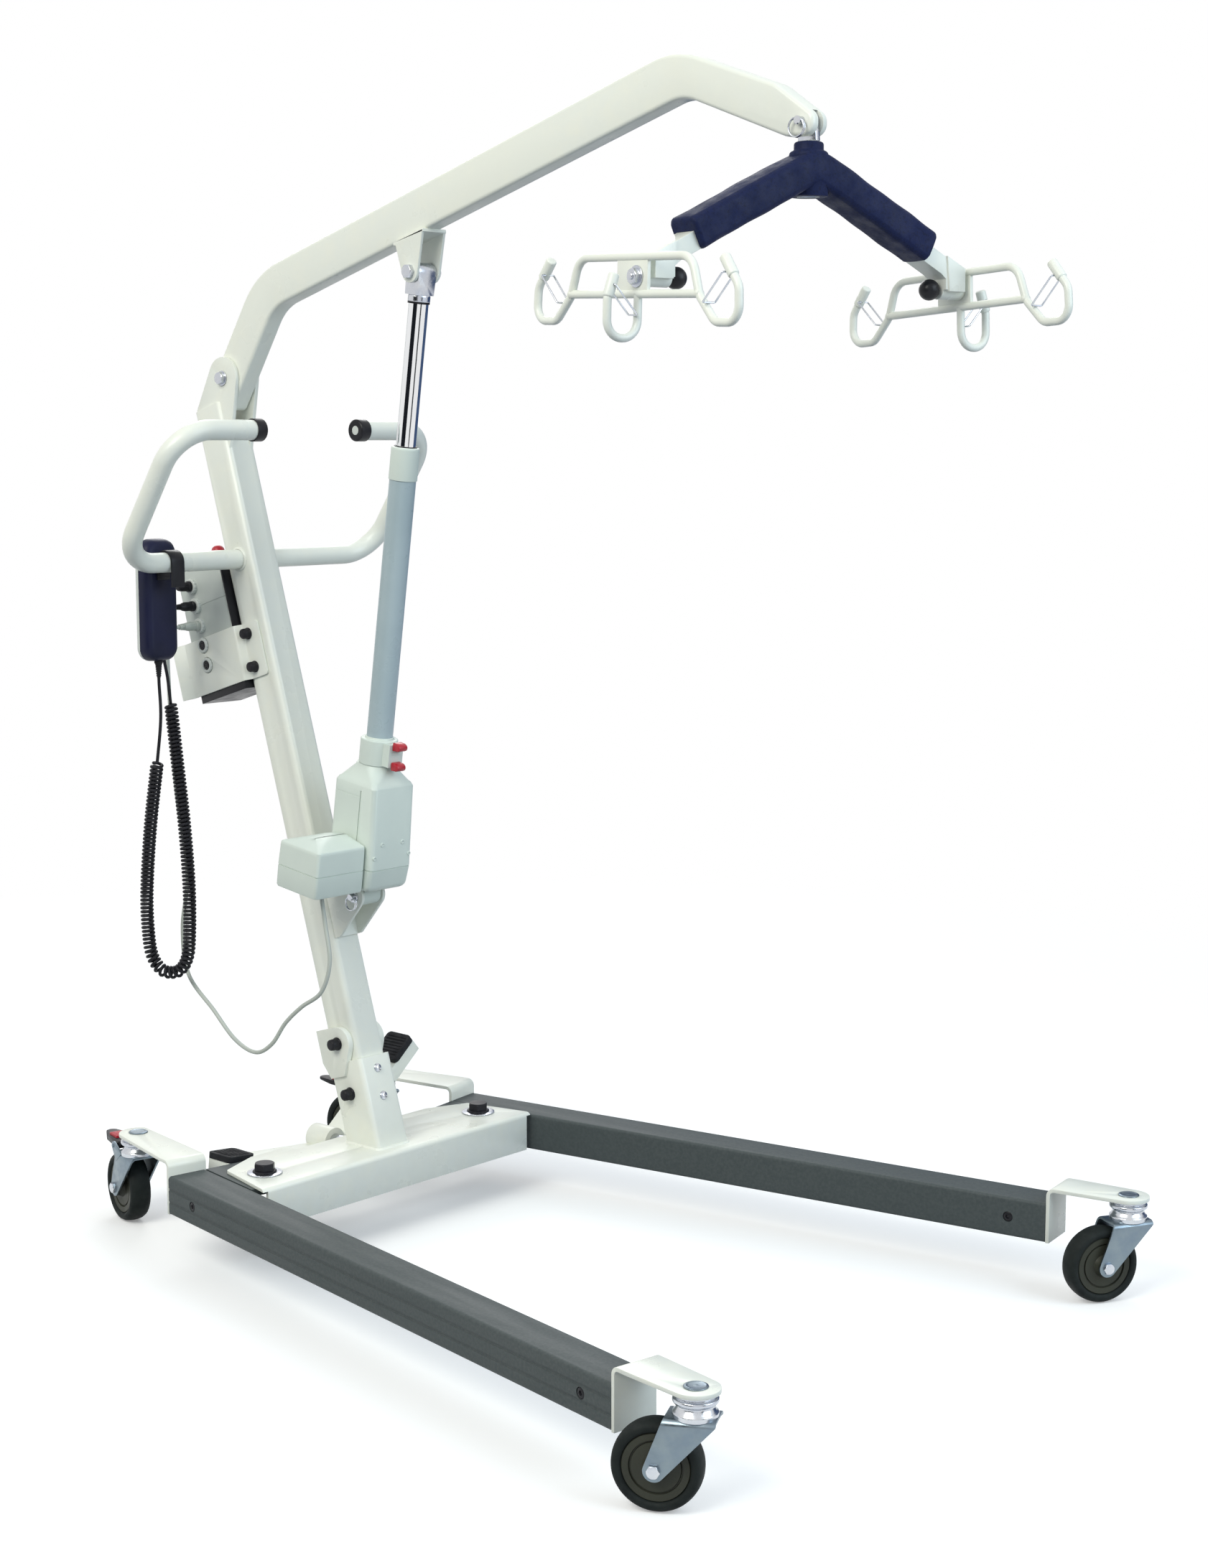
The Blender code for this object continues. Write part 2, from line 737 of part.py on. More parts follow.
def make_caster_plate(name, side, front, parent):
    """A folded plate on the leg's end face that holds a swivel."""
    way = 1 if front else -1
    swivel = FRONT_SWIVEL if front else REAR_SWIVEL
    face = LEG_FRONT if front else -LEG_REAR
    stand = face + way * (GAP + CASTER_PLATE / 2)
    middle = CASTER_PLATE_TOP - CASTER_PLATE / 2
    end = swivel[0] + way * CASTER_NOSE
    fold = [(stand, LEG_LOW), (stand, middle), (end, middle)]
    strip = ribbon(fold, 0.008, CASTER_PLATE)
    span = sorted([side * LEG_INNER, side * LEG_OUTER])
    body = prism(strip, *span, along="Y")
    nose = circle(CASTER_NOSE, 14, (swivel[0], side * swivel[1]))
    root = [(face, span[0]), (face, span[1]), (stand + way * 0.02, span[0]), (stand + way * 0.02, span[1])]
    plan = prism(hull(nose + root), LEG_LOW - LEG_WALL, CASTER_PLATE_TOP + LEG_WALL)
    hole = rod(KINGPIN_RADIUS + GAP, 0.1, 0.2, (swivel[0], side * swivel[1]), "Z")
    mesh = joined(name, body, keep=[plan], cut=[hole])
    return node(name, "white", mesh, leg_frame(side), parent)


# Casters, in a frame on the swivel's axis with +X toward the wheel


def fork_head(crown_high):
    """The races, the crown's round foot and the kingpin with its dome."""
    race = CASTER_UNDER - GAP
    waist = CROWN_RADIUS * 0.78
    profile = [
        (0.0, crown_high - FORK_PLATE * 0.6),
        (CROWN_RADIUS - WELD, crown_high - FORK_PLATE * 0.6),
        (CROWN_RADIUS - WELD, crown_high + 0.006),
        (waist, race - 0.010),
        (CROWN_RADIUS, race - 0.006),
        (CROWN_RADIUS, race),
        (KINGPIN_RADIUS, race),
        (KINGPIN_RADIUS, CASTER_PLATE_TOP + GAP),
        (KINGPIN_RADIUS * 1.9, CASTER_PLATE_TOP + GAP),
        (0.0, CASTER_PLATE_TOP + 0.0055),
    ]
    return turned(profile, 10)


def axle_and_nuts(outer):
    """The axle between its two nuts, as one six-sided bar."""
    half = [(AXLE_RADIUS, outer - WELD), (0.0075, outer - WELD), (0.0075, outer + 0.005), (0.0, outer + 0.005)]
    profile = [(r, -h) for r, h in half[::-1]] + half
    return placed(turned(profile, 6), Matrix.Translation((TRAIL, 0.0, WHEEL_RADIUS)) @ LIE_ALONG_Y)


def make_fork_mesh(braked):
    """A folded fork in the swivel's frame, with its axle, nuts and races."""
    crown_high = 2 * WHEEL_RADIUS + 0.0045 + FORK_PLATE
    middle = FORK_INNER + FORK_PLATE / 2
    top = crown_high - FORK_PLATE / 2
    fold = [(-middle, 0.03), (-middle, top), (middle, top), (middle, 0.03)]
    strip = prism(ribbon(fold, 0.006, FORK_PLATE), -0.04, 0.07, "X")
    side_view = circle(0.012, 10, (TRAIL, WHEEL_RADIUS)) + [
        (-CROWN_RADIUS, crown_high + 0.002),
        (-CROWN_RADIUS, crown_high - FORK_PLATE - 0.002),
        (0.031, crown_high - FORK_PLATE),
        (0.030, crown_high + 0.002),
    ]
    outer = FORK_INNER + FORK_PLATE
    extra = [fork_head(crown_high), axle_and_nuts(outer)]
    if braked:
        ear = circle(0.006, 6, BRAKE_PIVOT) + [(0.010, crown_high - 0.001), (0.030, crown_high - 0.016)]
        for s in (1, -1):
            span = sorted([s * (FORK_INNER + WELD), s * (outer + WELD)])
            extra.append(prism(hull(ear), *span, along="Y"))
        extra.append(rod(BRAKE_PIN, -outer - 0.002, outer + 0.002, BRAKE_PIVOT, sides=6))
    return joined("caster_fork", strip, keep=[prism(hull(side_view), -0.1, 0.1, "Y")], add=extra)


def make_wheel_mesh():
    """Tyre and hub turned round the axle, with a groove ring in each face."""
    half = WHEEL_WIDTH / 2
    tyre = WHEEL_RADIUS - TYRE_DEPTH
    bore = AXLE_RADIUS + GAP
    hub = FORK_INNER - GAP
    side = [
        (bore, hub),
        (0.0125, hub - 0.001),
        (tyre, half - 0.003),
        (WHEEL_RADIUS - 0.006, half),
    ]
    profile = [(r, -h) for r, h in side] + [(WHEEL_RADIUS, 0.0)] + side[::-1]
    return joined("caster_wheel", placed(turned(profile, 16, closed=True), LIE_ALONG_Y))


def make_brake_mesh():
    """A pressed lever with a raised pad, free on the fork's pin."""
    x, z = BRAKE_PIVOT
    tip = x + BRAKE_LENGTH
    arm = hull(
        circle(0.0055, 8, BRAKE_PIVOT)
        + [(x + 0.012, z + 0.004), (tip, z + 0.005), (tip, z + 0.001), (x + 0.02, z - 0.0045)]
    )
    lever = prism(arm, -BRAKE_HALF, BRAKE_HALF, "Y")
    plan = hull(
        [(x - 0.01, -BRAKE_HALF), (x - 0.01, BRAKE_HALF)]
        + circle(0.009, 8, (tip - 0.009, 0.0))
        + [(x + 0.04, -BRAKE_HALF), (x + 0.04, BRAKE_HALF)]
    )
    pad = block((x + 0.016, x + 0.040), (-0.012, 0.012), (z + 0.002, z + 0.0085))
    hole = rod(BRAKE_PIN + GAP, -0.1, 0.1, BRAKE_PIVOT, sides=8)
    return joined("brake_lever", lever, add=[pad], keep=[prism(plan, 0.0, 0.2)], cut=[hole])


def make_caster(place, side, front, heading, plate_parent, meshes):
    """A fork on its swivel, its wheel and, at the rear, its brake lever."""
    fork_mesh, wheel_mesh, brake_mesh = meshes
    u, off = FRONT_SWIVEL if front else REAR_SWIVEL
    swivel = leg_frame(side) @ Vector((u, side * off, 0.0))
    at = frame(swivel.x, swivel.y, 0.0, turn=heading)
    swivel_axis = axis(place + "_swivel_axis", at, plate_parent)
    node("caster_fork_" + place, "steel", fork_mesh, at, swivel_axis)
    hub = at @ Matrix.Translation((TRAIL, 0.0, WHEEL_RADIUS))
    wheel_axis = axis(place + "_wheel_axis", hub, swivel_axis)
    node("caster_wheel_" + place, "tyre", wheel_mesh, hub, wheel_axis)
    if brake_mesh:
        pin = at @ Matrix.Translation((BRAKE_PIVOT[0], 0.0, BRAKE_PIVOT[1]))
        brake_axis = axis(place + "_brake_axis", pin, swivel_axis)
        node("brake_lever_" + place, "red", brake_mesh, at, brake_axis)


def make_legs(base):
    front_fork = make_fork_mesh(False)
    rear_fork = make_fork_mesh(True)
    wheel = make_wheel_mesh()
    brake = make_brake_mesh()
    headings = {
        ("right", True): FRONT_RIGHT_HEADING,
        ("left", True): FRONT_LEFT_HEADING,
        ("right", False): REAR_RIGHT_HEADING,
        ("left", False): REAR_LEFT_HEADING,
    }
    for name, side in SIDES.items():
        leg_axis = axis("leg_axis_" + name, leg_frame(side), base)
        make_leg("leg_" + name, side, leg_axis)
        make_leg_bolt("leg_bolt_" + name, side, base)
        for front in (True, False):
            place = ("front_" if front else "rear_") + name
            make_caster_plate("caster_plate_" + place, side, front, leg_axis)
            meshes = (front_fork, wheel, None) if front else (rear_fork, wheel, brake)
            make_caster(place, side, front, headings[name, front], leg_axis, meshes)


# Crossbeam and foot pedal


def make_leg_bolt(name, side, base):
    """A capped bolt on a wide washer, with its nut under the leg's tab."""
    washer = BEAM_TOP + GAP
    cap = washer + WASHER_THICKNESS
    under = LEG_TOP - TAB_THICKNESS - GAP
    profile = [
        (0.0, under - 0.008),
        (0.0105, under - 0.008),
        (0.0105, under),
        (LEG_BOLT_RADIUS, under),
        (LEG_BOLT_RADIUS, washer),
        (WASHER_RADIUS, washer),
        (WASHER_RADIUS, cap),
        (LEG_BOLT_CAP, cap),
        (LEG_BOLT_CAP, cap + LEG_BOLT_CAP_HEIGHT * 0.75),
        (LEG_BOLT_CAP * 0.85, cap + LEG_BOLT_CAP_HEIGHT),
        (0.0, cap + LEG_BOLT_CAP_HEIGHT),
    ]
    node(name, "black", joined(name, turned(profile, 10)), frame(0.0, side * LEG_PIVOT_Y), base)


def beam_end(x):
    """How far out the plate's slanted end is at x."""
    return BEAM_HALF + x * math.tan(BEAM_END_SLANT)


def make_crossbeam(base):
    lip_reach = LEG_PIVOT_Y + LEG_INNER - 2 * RUNNING_GAP
    middle = BEAM_TOP - BEAM_PLATE / 2
    front = BEAM_FRONT - BEAM_PLATE / 2
    fold = [(-BEAM_EAR_REAR, middle), (front, middle), (front, BEAM_LIP_LOW)]
    wide = beam_end(BEAM_FRONT) + 0.01
    strip = prism(ribbon(fold, BEAM_BEND - BEAM_PLATE / 2, BEAM_PLATE), -wide, wide, "Y")
    half = [
        (-BEAM_REAR, 0.0),
        (-BEAM_REAR, BEAM_EAR_INNER),
        (-BEAM_EAR_REAR, BEAM_EAR_INNER + 0.001),
        (-BEAM_EAR_REAR, BEAM_EAR_OUTER),
        (-BEAM_REAR + BEAM_CHAMFER, beam_end(-BEAM_REAR + BEAM_CHAMFER)),
        (BEAM_FRONT + 0.01, beam_end(BEAM_FRONT + 0.01)),
    ]
    plan = half[1:] + [(x, -y) for x, y in half[:0:-1]]
    keep = prism(plan, 0.0, 0.2)
    cuts = []
    for s in SIDES.values():
        cuts.append(block((0.0, 0.1), sorted([s * lip_reach, s * 0.5]), (0.0, BEAM_UNDER)))
        cuts.append(rod(LEG_BOLT_RADIUS + GAP, 0.0, 0.2, (0.0, s * LEG_PIVOT_Y), "Z"))
    back = block(
        (-BEAM_REAR, -BEAM_REAR + BEAM_PLATE), (-REAR_LIP_HALF, REAR_LIP_HALF), (BEAM_LIP_LOW, BEAM_TOP - WELD)
    )
    front_of_pedal = PEDAL_AXIS_X + PEDAL_DEPTH / 2
    behind_pedal = PEDAL_AXIS_X - PEDAL_DEPTH / 2
    bolt = [
        rod(PEDAL_BOLT, behind_pedal - GAP - 0.001, -BEAM_REAR + WELD, (0.0, PEDAL_AXIS_Z), "X", 8),
        rod(PEDAL_BOLT * 1.8, front_of_pedal + GAP, -BEAM_REAR + WELD, (0.0, PEDAL_AXIS_Z), "X", 8),
        rod(PEDAL_BOLT * 1.7, behind_pedal - GAP - 0.007, behind_pedal - GAP, (0.0, PEDAL_AXIS_Z), "X", 6),
    ]
    mesh = joined("crossbeam", strip, keep=[keep], add=[back] + bolt, cut=cuts)
    node("crossbeam", "white", mesh, parent=base)


def make_pedal(base):
    """A rocking bar with an arm to each side and a pad on each arm's end."""
    at = Matrix.Translation((PEDAL_AXIS_X, 0.0, PEDAL_AXIS_Z)) @ Matrix.Rotation(PEDAL_TURN, 4, "X")
    pedal_axis = axis("pedal_axis", at, base)
    half = PEDAL_DEPTH / 2
    arms = []
    for s in SIDES.values():
        lift = Matrix.Rotation(s * PEDAL_V, 4, "X")
        span = sorted([0.0, s * PEDAL_REACH])
        high = -PAD_THICKNESS - GAP
        arms.append(placed(block((-half, half), span, (high - PEDAL_ARM, high)), lift))
        pad_span = sorted([s * (PEDAL_REACH - PAD_LENGTH), s * (PEDAL_REACH + 0.001)])
        pad = soft_block((-PAD_DEPTH / 2, PAD_DEPTH / 2), pad_span, (-PAD_THICKNESS, 0.0), 0.006)
        name = "pedal_pad_right" if s < 0 else "pedal_pad_left"
        node(name, "black", joined(name, placed(pad, lift)), at, pedal_axis)
    hub = rod(PEDAL_HUB, -half, half, along="X", sides=14)
    hole = rod(PEDAL_BOLT + GAP, -1.0, 1.0, along="X")
    mesh = joined("pedal_rocker", hub, add=arms, cut=[hole])
    node("pedal_rocker", "white", mesh, at, pedal_axis)


# Mast, its socket and the handle


def make_socket(base):
    inner = MAST_HALF + GAP
    outer = inner + SOCKET_WALL
    face = MAST_FACE + GAP
    front = face + SOCKET_WALL
    outline = [(-MAST_FACE, -outer), (front, -outer), (front, outer), (-MAST_FACE, outer)]
    shell = rounded(outline, [0.0, 0.007, 0.007, 0.0], closed=True)
    body = prism(shell, -0.03, SOCKET_HEIGHT)
    boss_high = CLAMP_HEIGHT
    extra = []
    for s in SIDES.values():
        ear = circle(CLAMP_BOSS, 12, (0.0, boss_high)) + [
            (-CLAMP_TAB_REACH, boss_high - CLAMP_BOSS),
            (-CLAMP_TAB_REACH, boss_high + CLAMP_BOSS),
            (0.0, SOCKET_HEIGHT - 0.02),
            (-MAST_FACE, SOCKET_HEIGHT - 0.02),
        ]
        span = sorted([s * inner, s * (inner + CLAMP_BOSS_THICKNESS)])
        extra.append(prism(hull(ear), *span, along="Y"))
        reach = CAP_LENGTH if s < 0 else FOOT_CAP_FAR
        cap = [(0.0, 0.0), (CAP_RADIUS, 0.0), (CAP_RADIUS, reach - 0.003), (CAP_RADIUS * 0.7, reach), (0.0, reach)]
        lie = Matrix.Translation((0.0, s * (outer - WELD), FOOT_BOLT_HEIGHT)) @ Matrix.Rotation(-s * math.pi / 2, 4, "X")
        extra.append(placed(turned(cap, 8), lie))
    for height in SCREW_HEIGHTS:
        stand = Matrix.Translation((front, 0.0, height)) @ LIE_ALONG_X
        extra.append(placed(dome(SCREW_RADIUS, SCREW_DOME, 6), stand))
    hollow = prism(rectangle(-1.0, face, -inner, inner), -1.0, 1.0)
    clamp = rod(CLAMP_BOLT_RADIUS + GAP, -1.0, 1.0, (0.0, boss_high))
    level = placed(block((-1.0, 1.0), (-1.0, 1.0), (-1.0, BEAM_TOP + GAP)), MAST_FRAME.inverted())
    mesh = joined("mast_socket", body, add=extra, cut=[hollow, clamp, level])
    node("mast_socket", "white", mesh, MAST_FRAME, base)


def make_clamp_bolt(base):
    """A bolt through the bosses and the mast, with a cap at each end."""
    outer = MAST_HALF + GAP + CLAMP_BOSS_THICKNESS + GAP
    end = outer + CAP_LENGTH
    half = [
        (CLAMP_BOLT_RADIUS, outer),
        (CAP_RADIUS, outer),
        (CAP_RADIUS, end - 0.003),
        (CAP_RADIUS * 0.7, end),
        (0.0, end),
    ]
    profile = [(r, -h) for r, h in half[::-1]] + half
    mesh = joined("mast_clamp_bolt", placed(turned(profile, 8), LIE_ALONG_Y))
    node("mast_clamp_bolt", "black", mesh, MAST_FRAME @ Matrix.Translation((0.0, 0.0, CLAMP_HEIGHT)), base)


def make_mast(base):
    hinge = in_mast(*HINGE)
    top = hinge[1] - MAST_TOP_BELOW_HINGE
    outline = rectangle(-MAST_FACE, MAST_FACE, -MAST_HALF, MAST_HALF, MAST_CORNER)
    body = prism(outline, 0.0, top)
    inner = MAST_WALL
    bore = rectangle(-MAST_FACE + inner, MAST_FACE - inner, -MAST_HALF + inner, MAST_HALF - inner)
    level = placed(block((-1.0, 1.0), (-1.0, 1.0), (-1.0, BEAM_TOP + 2 * GAP)), MAST_FRAME.inverted())
    grip = in_mast(mast_line(HANDLE_HEIGHT), HANDLE_HEIGHT)
    tube_cuts = [
        prism(bore, -1.0, top + 1.0),
        rod(HANDLE_RADIUS + GAP, -1.0, 1.0, grip, sides=16),
        rod(CLAMP_BOLT_RADIUS + GAP, -1.0, 1.0, (0.0, CLAMP_HEIGHT)),
        level,
    ]
    shell = joined("mast_shell", body, cut=tube_cuts)
    ears = []
    low = hinge[1] - EAR_DEPTH_BELOW
    depth = MAST_FACE - MAST_WALL
    ear_outline = hull(
        circle(EAR_RADIUS, 12, hinge)
        + [(-depth, low), (depth, low), (-depth, top + 0.003), (depth, top - 0.004)]
    )
    for s in SIDES.values():
        span = sorted([s * EAR_GAP / 2, s * (MAST_HALF - MAST_WALL + WELD)])
        ears.append(prism(ear_outline, *span, along="Y"))
    web_top = hinge[1] - EAR_WEB_BELOW
    web = block((depth - EAR_WEB, depth), (-EAR_GAP / 2 - WELD, EAR_GAP / 2 + WELD), (low, web_top))
    bolt_hole = rod(HINGE_BOLT_RADIUS + GAP, -1.0, 1.0, hinge)
    notch = block((0.0, 0.1), (-EAR_GAP / 2, EAR_GAP / 2), (web_top, top + 0.1))
    mesh = joined("mast", read_shape(shell), add=ears + [web], cut=[bolt_hole, notch])
    node("mast", "white", mesh, MAST_FRAME, base)


def read_shape(mesh):
    """The points and faces of a mesh, for a further step."""
    points = [tuple(vertex.co) for vertex in mesh.vertices]
    faces = [tuple(polygon.vertices) for polygon in mesh.polygons]
    return points, faces


def mast_line(z):
    """Where the mast's middle line is at a height."""
    return MAST_FOOT_X - (z - BEAM_TOP) * math.tan(MAST_TILT)


def make_hinge_bolt(base):
    outer = MAST_HALF - MAST_WALL + WELD + GAP
    half = [
        (HINGE_BOLT_RADIUS, outer),
        (HINGE_HEAD_RADIUS, outer),
        (HINGE_HEAD_RADIUS, outer + HINGE_HEAD),
        (0.0, outer + HINGE_HEAD),
    ]
    profile = [(r, -h) for r, h in half[::-1]] + half
    mesh = joined("boom_hinge_bolt", placed(turned(profile, 10), LIE_ALONG_Y))
    node("boom_hinge_bolt", "steel", mesh, frame(HINGE[0], 0.0, HINGE[1]), base)


def make_handle(base):
    bottom_x = mast_line(HANDLE_HEIGHT)
    path = []
    for s in SIDES.values():
        corners = [
            (HANDLE_TOP_X, s * GRIP_END, HANDLE_TOP),
            (HANDLE_TOP_X, s * HANDLE_HALF, HANDLE_TOP),
            (bottom_x, s * HANDLE_HALF, HANDLE_HEIGHT),
        ]
        path += corners if s < 0 else corners[::-1]
    bends = rounded(path, HANDLE_BEND, turn=math.radians(31))
    node("handle_bar", "white", joined("handle_bar", tube(bends, HANDLE_RADIUS, 10)), parent=base)
    for name, s in SIDES.items():
        outer = HANDLE_RADIUS + GAP + CAP_WALL
        inner = HANDLE_RADIUS + GAP
        profile = [
            (0.0, GAP),
            (inner, GAP),
            (inner, -CAP_SKIRT),
            (outer, -CAP_SKIRT),
            (outer, 0.004),
            (0.0, 0.004),
        ]
        lie = Matrix.Rotation(s * math.pi / 2, 4, "X")
        mesh = joined("handle_cap_" + name, placed(turned(profile, 16), lie))
        node("handle_cap_" + name, "black", mesh, frame(HANDLE_TOP_X, s * GRIP_END, HANDLE_TOP), base)


# Boom


def boom_outline():
    """The bent tube's side view: foot, long run and a nose that narrows to a round end."""
    half = BOOM_DEPTH / 2
    run = [BOOM_FOOT, BOOM_LOW_BEND, BOOM_TOP_BEND]
    upper = offset_line(run, half)[:2]
    lower = offset_line(run, -half)[:2]
    corners = [
        (lower[0], BOOM_FOOT_RADIUS),
        (lower[1], BOOM_LOW_RADIUS - half),
        (BOOM_LOWER_CORNER, BOOM_TOP_RADIUS - half),
        ((NOSE_CHIN_START, NOSE_CHIN), 0.040),
        ((NOSE_END, NOSE_CHIN), 0.014),
        ((NOSE_END, NOSE_BROW_END), 0.014),
        (NOSE_BROW, 0.050),
        (BOOM_UPPER_CORNER, BOOM_TOP_RADIUS + half),
        (upper[1], BOOM_LOW_RADIUS + half),
        (upper[0], BOOM_FOOT_RADIUS),
    ]
    points = [corner for corner, _ in corners]
    return rounded(points, [radius for _, radius in corners], closed=True, turn=math.radians(31))


def boom_underside(x):
    """The height of the straight middle run's lower face at x."""
    a, b = offset_line([BOOM_LOW_BEND, BOOM_TOP_BEND], -BOOM_DEPTH / 2)
    return a.y + (x - a.x) * (b.y - a.y) / (b.x - a.x)


def make_boom(boom_axis):
    half = BOOM_WIDTH / 2
    tube_body = prism(boom_outline(), -half, half, "Y")
    inner = TONGUE_HALF + SIDE_PLAY
    outer = inner + ACTUATOR_EAR
    x, z = UPPER_PIVOT
    run = CLEVIS_PLATE_LENGTH / 2
    ends = [(x - run, boom_underside(x - run)), (x + run * 0.8, boom_underside(x + run * 0.8))]
    seat = [ends[0], ends[1], (ends[1][0] + 0.001, ends[1][1] - 0.0045), (ends[0][0] + 0.001, ends[0][1] - 0.0045)]
    raised = [(a, b + WELD) for a, b in seat[:2]] + seat[2:]
    extra = [prism(raised, -outer, outer, "Y")]
    top = [(ends[0][0] + 0.004, ends[0][1] - 0.002), (ends[1][0], ends[1][1] - 0.002)]
    hang = hull(circle(UPPER_EAR_RADIUS, 14, (x, z)) + top)
    for s in SIDES.values():
        extra.append(prism(hang, *sorted([s * inner, s * outer]), along="Y"))
        head = sorted([s * (outer - WELD), s * (outer + 0.007)])
        extra.append(rod(0.0095, *head, (x, z), sides=6))
    slot = block(
        (HUB_X - HANG_SLOT_BACK, NOSE_END + 0.01),
        (-HANG_EYE_HALF - RUNNING_GAP, HANG_EYE_HALF + RUNNING_GAP),
        (NOSE_CHIN - 0.1, HANG_PIN_Z + HANG_EYE + 0.001),
    )
    holes = [
        rod(HINGE_BOLT_RADIUS + GAP, -1.0, 1.0, HINGE),
        rod(HANG_PIN_RADIUS + GAP, -1.0, 1.0, (HUB_X, HANG_PIN_Z), sides=10),
    ]
    shell = joined("boom_tube", tube_body, bevel=BOOM_EDGE)
    mesh = joined("boom", read_shape(shell), add=extra, cut=[slot] + holes)
    origin = Matrix.Translation((-HINGE[0], 0.0, -HINGE[1]))
    mesh.transform(origin)
    node("boom", "white", mesh, frame(HINGE[0], 0.0, HINGE[1]), boom_axis)


def make_hang_pin(boom_axis):
    """A push-in pin across the nose, with a split ring in its head."""
    half = BOOM_WIDTH / 2 + GAP
    profile = [
        (0.0, -half - 0.004),
        (HANG_PIN_RADIUS, -half - 0.003),
        (HANG_PIN_RADIUS, half),
        (0.0050, half),
        (0.0050, half + 0.009),
        (0.0, half + 0.009),
    ]
    pin = placed(turned(profile, 10), Matrix.Rotation(math.pi / 2, 4, "X"))
    ring_at = Matrix.Translation((-0.0025, -half - 0.0062, -0.0075))
    ring = [(RING_RADIUS + a, b) for a, b in circle(RING_WIRE, 4)]
    hoop = placed(turned(ring, 12, closed=True), ring_at @ LIE_ALONG_Y)
    mesh = joined("hang_pin", pin, add=[hoop])
    node("hang_pin", "steel", mesh, frame(HUB_X, 0.0, HANG_PIN_Z), boom_axis)


# Actuator


def actuator_frame():
    dx = UPPER_PIVOT[0] - LOWER_PIVOT[0]
    dz = UPPER_PIVOT[1] - LOWER_PIVOT[1]
    return frame(LOWER_PIVOT[0], 0.0, LOWER_PIVOT[1], lean=math.atan2(dx, dz))


def actuator_length():
    return math.dist(LOWER_PIVOT, UPPER_PIVOT)


def make_actuator_bracket(base):
    """Two ears on the mast's front face that hold the actuator's foot on a pin."""
    pivot = in_mast(*LOWER_PIVOT)
    face = MAST_FACE + GAP
    inner = TONGUE_HALF + SIDE_PLAY
    outer = inner + ACTUATOR_EAR
    low = pivot[1] - BRACKET_BELOW
    high = pivot[1] + BRACKET_ABOVE
    plate = block((face, face + BRACKET_PLATE), (-outer, outer), (low, high))
    ear = hull(
        circle(LOWER_EAR_RADIUS, 14, pivot)
        + [(face + WELD, low), (face + WELD, high), (face + BRACKET_PLATE, low), (face + BRACKET_PLATE, high)]
    )
    extra = [prism(ear, *sorted([s * inner, s * outer]), along="Y") for s in SIDES.values()]
    extra.append(rod(ACTUATOR_PIN, -outer - 0.009, outer + 0.006, pivot, sides=8))
    for s in SIDES.values():
        extra.append(rod(0.0085, *sorted([s * (outer - WELD), s * (outer + 0.003)]), pivot, sides=8))
    mesh = joined("actuator_bracket", plate, add=extra)
    node("actuator_bracket", "white", mesh, MAST_FRAME, base)


def make_actuator(base):
    at = actuator_frame()
    body_axis = axis("actuator_axis", at, base)
    turn = math.radians(45)
    rings = []
    levels = [
        (HOUSING_LOW, 0.006, HOUSING_EDGE),
        (HOUSING_LOW + 0.006, 0.0, HOUSING_EDGE),
        (HOUSING_HIGH - 0.006, 0.0, HOUSING_EDGE),
        (HOUSING_HIGH, 0.007, HOUSING_EDGE),
        (COLLAR_LOW, HOUSING_HALF - HOUSING_SHOULDER, HOUSING_SHOULDER * 0.9),
    ]
    for height, inset, edge in levels:
        fit = max(0.0, inset - 0.003) if inset > 0.01 else inset
        outline = rectangle(
            -HOUSING_REAR + fit, HOUSING_FRONT - fit, -HOUSING_HALF + inset, HOUSING_HALF - inset, edge, turn
        )
        rings.append([(a, b, height) for a, b in outline])
    body = loft(rings)
    tongue_outline = hull(circle(0.014, 12) + [(-0.014, HOUSING_LOW + 0.01), (0.014, HOUSING_LOW + 0.01)])
    tongue = prism(tongue_outline, -TONGUE_HALF, TONGUE_HALF, "Y")
    hole = rod(ACTUATOR_PIN + GAP, -1.0, 1.0)
    mesh = joined("actuator_housing", body, add=[tongue], cut=[hole])
    node("actuator_housing", "light_grey", mesh, at, body_axis)

    motor_y = (-MOTOR_INNER - MOTOR_LENGTH, -MOTOR_INNER)
    motor = soft_block((-MOTOR_REAR, MOTOR_FRONT), motor_y, (MOTOR_LOW, MOTOR_HIGH), 0.010)
    spigot = rod(0.018, -MOTOR_INNER - 0.004, -HOUSING_HALF - GAP, (-0.004, (MOTOR_LOW + MOTOR_HIGH) / 2))
    node("actuator_motor", "light_grey", joined("actuator_motor", motor, add=[spigot]), at, body_axis)

    low = COLLAR_LOW + GAP
    profile = [
        (0.0, low),
        (COLLAR_RADIUS, low),
        (COLLAR_RADIUS, COLLAR_HIGH),
        (TUBE_RADIUS, COLLAR_HIGH),
        (TUBE_RADIUS, TUBE_TOP),
        (TOP_COLLAR_RADIUS, TUBE_TOP),
        (TOP_COLLAR_RADIUS, TOP_COLLAR_HIGH - 0.003),
        (TOP_COLLAR_RADIUS - 0.003, TOP_COLLAR_HIGH),
        (ROD_RADIUS + GAP, TOP_COLLAR_HIGH),
        (ROD_RADIUS + GAP, TUBE_BORE_FLOOR),
        (0.0, TUBE_BORE_FLOOR),
    ]
    boss = block((0.0, COLLAR_BOSS), (-0.013, 0.013), (low + 0.002, COLLAR_HIGH - 0.002))
    outer_tube = joined("actuator_tube", turned(profile, 12), add=[boss])
    node("actuator_tube", "tube_grey", outer_tube, at, body_axis)

    make_release(at, body_axis)
    make_actuator_rod(at, body_axis)


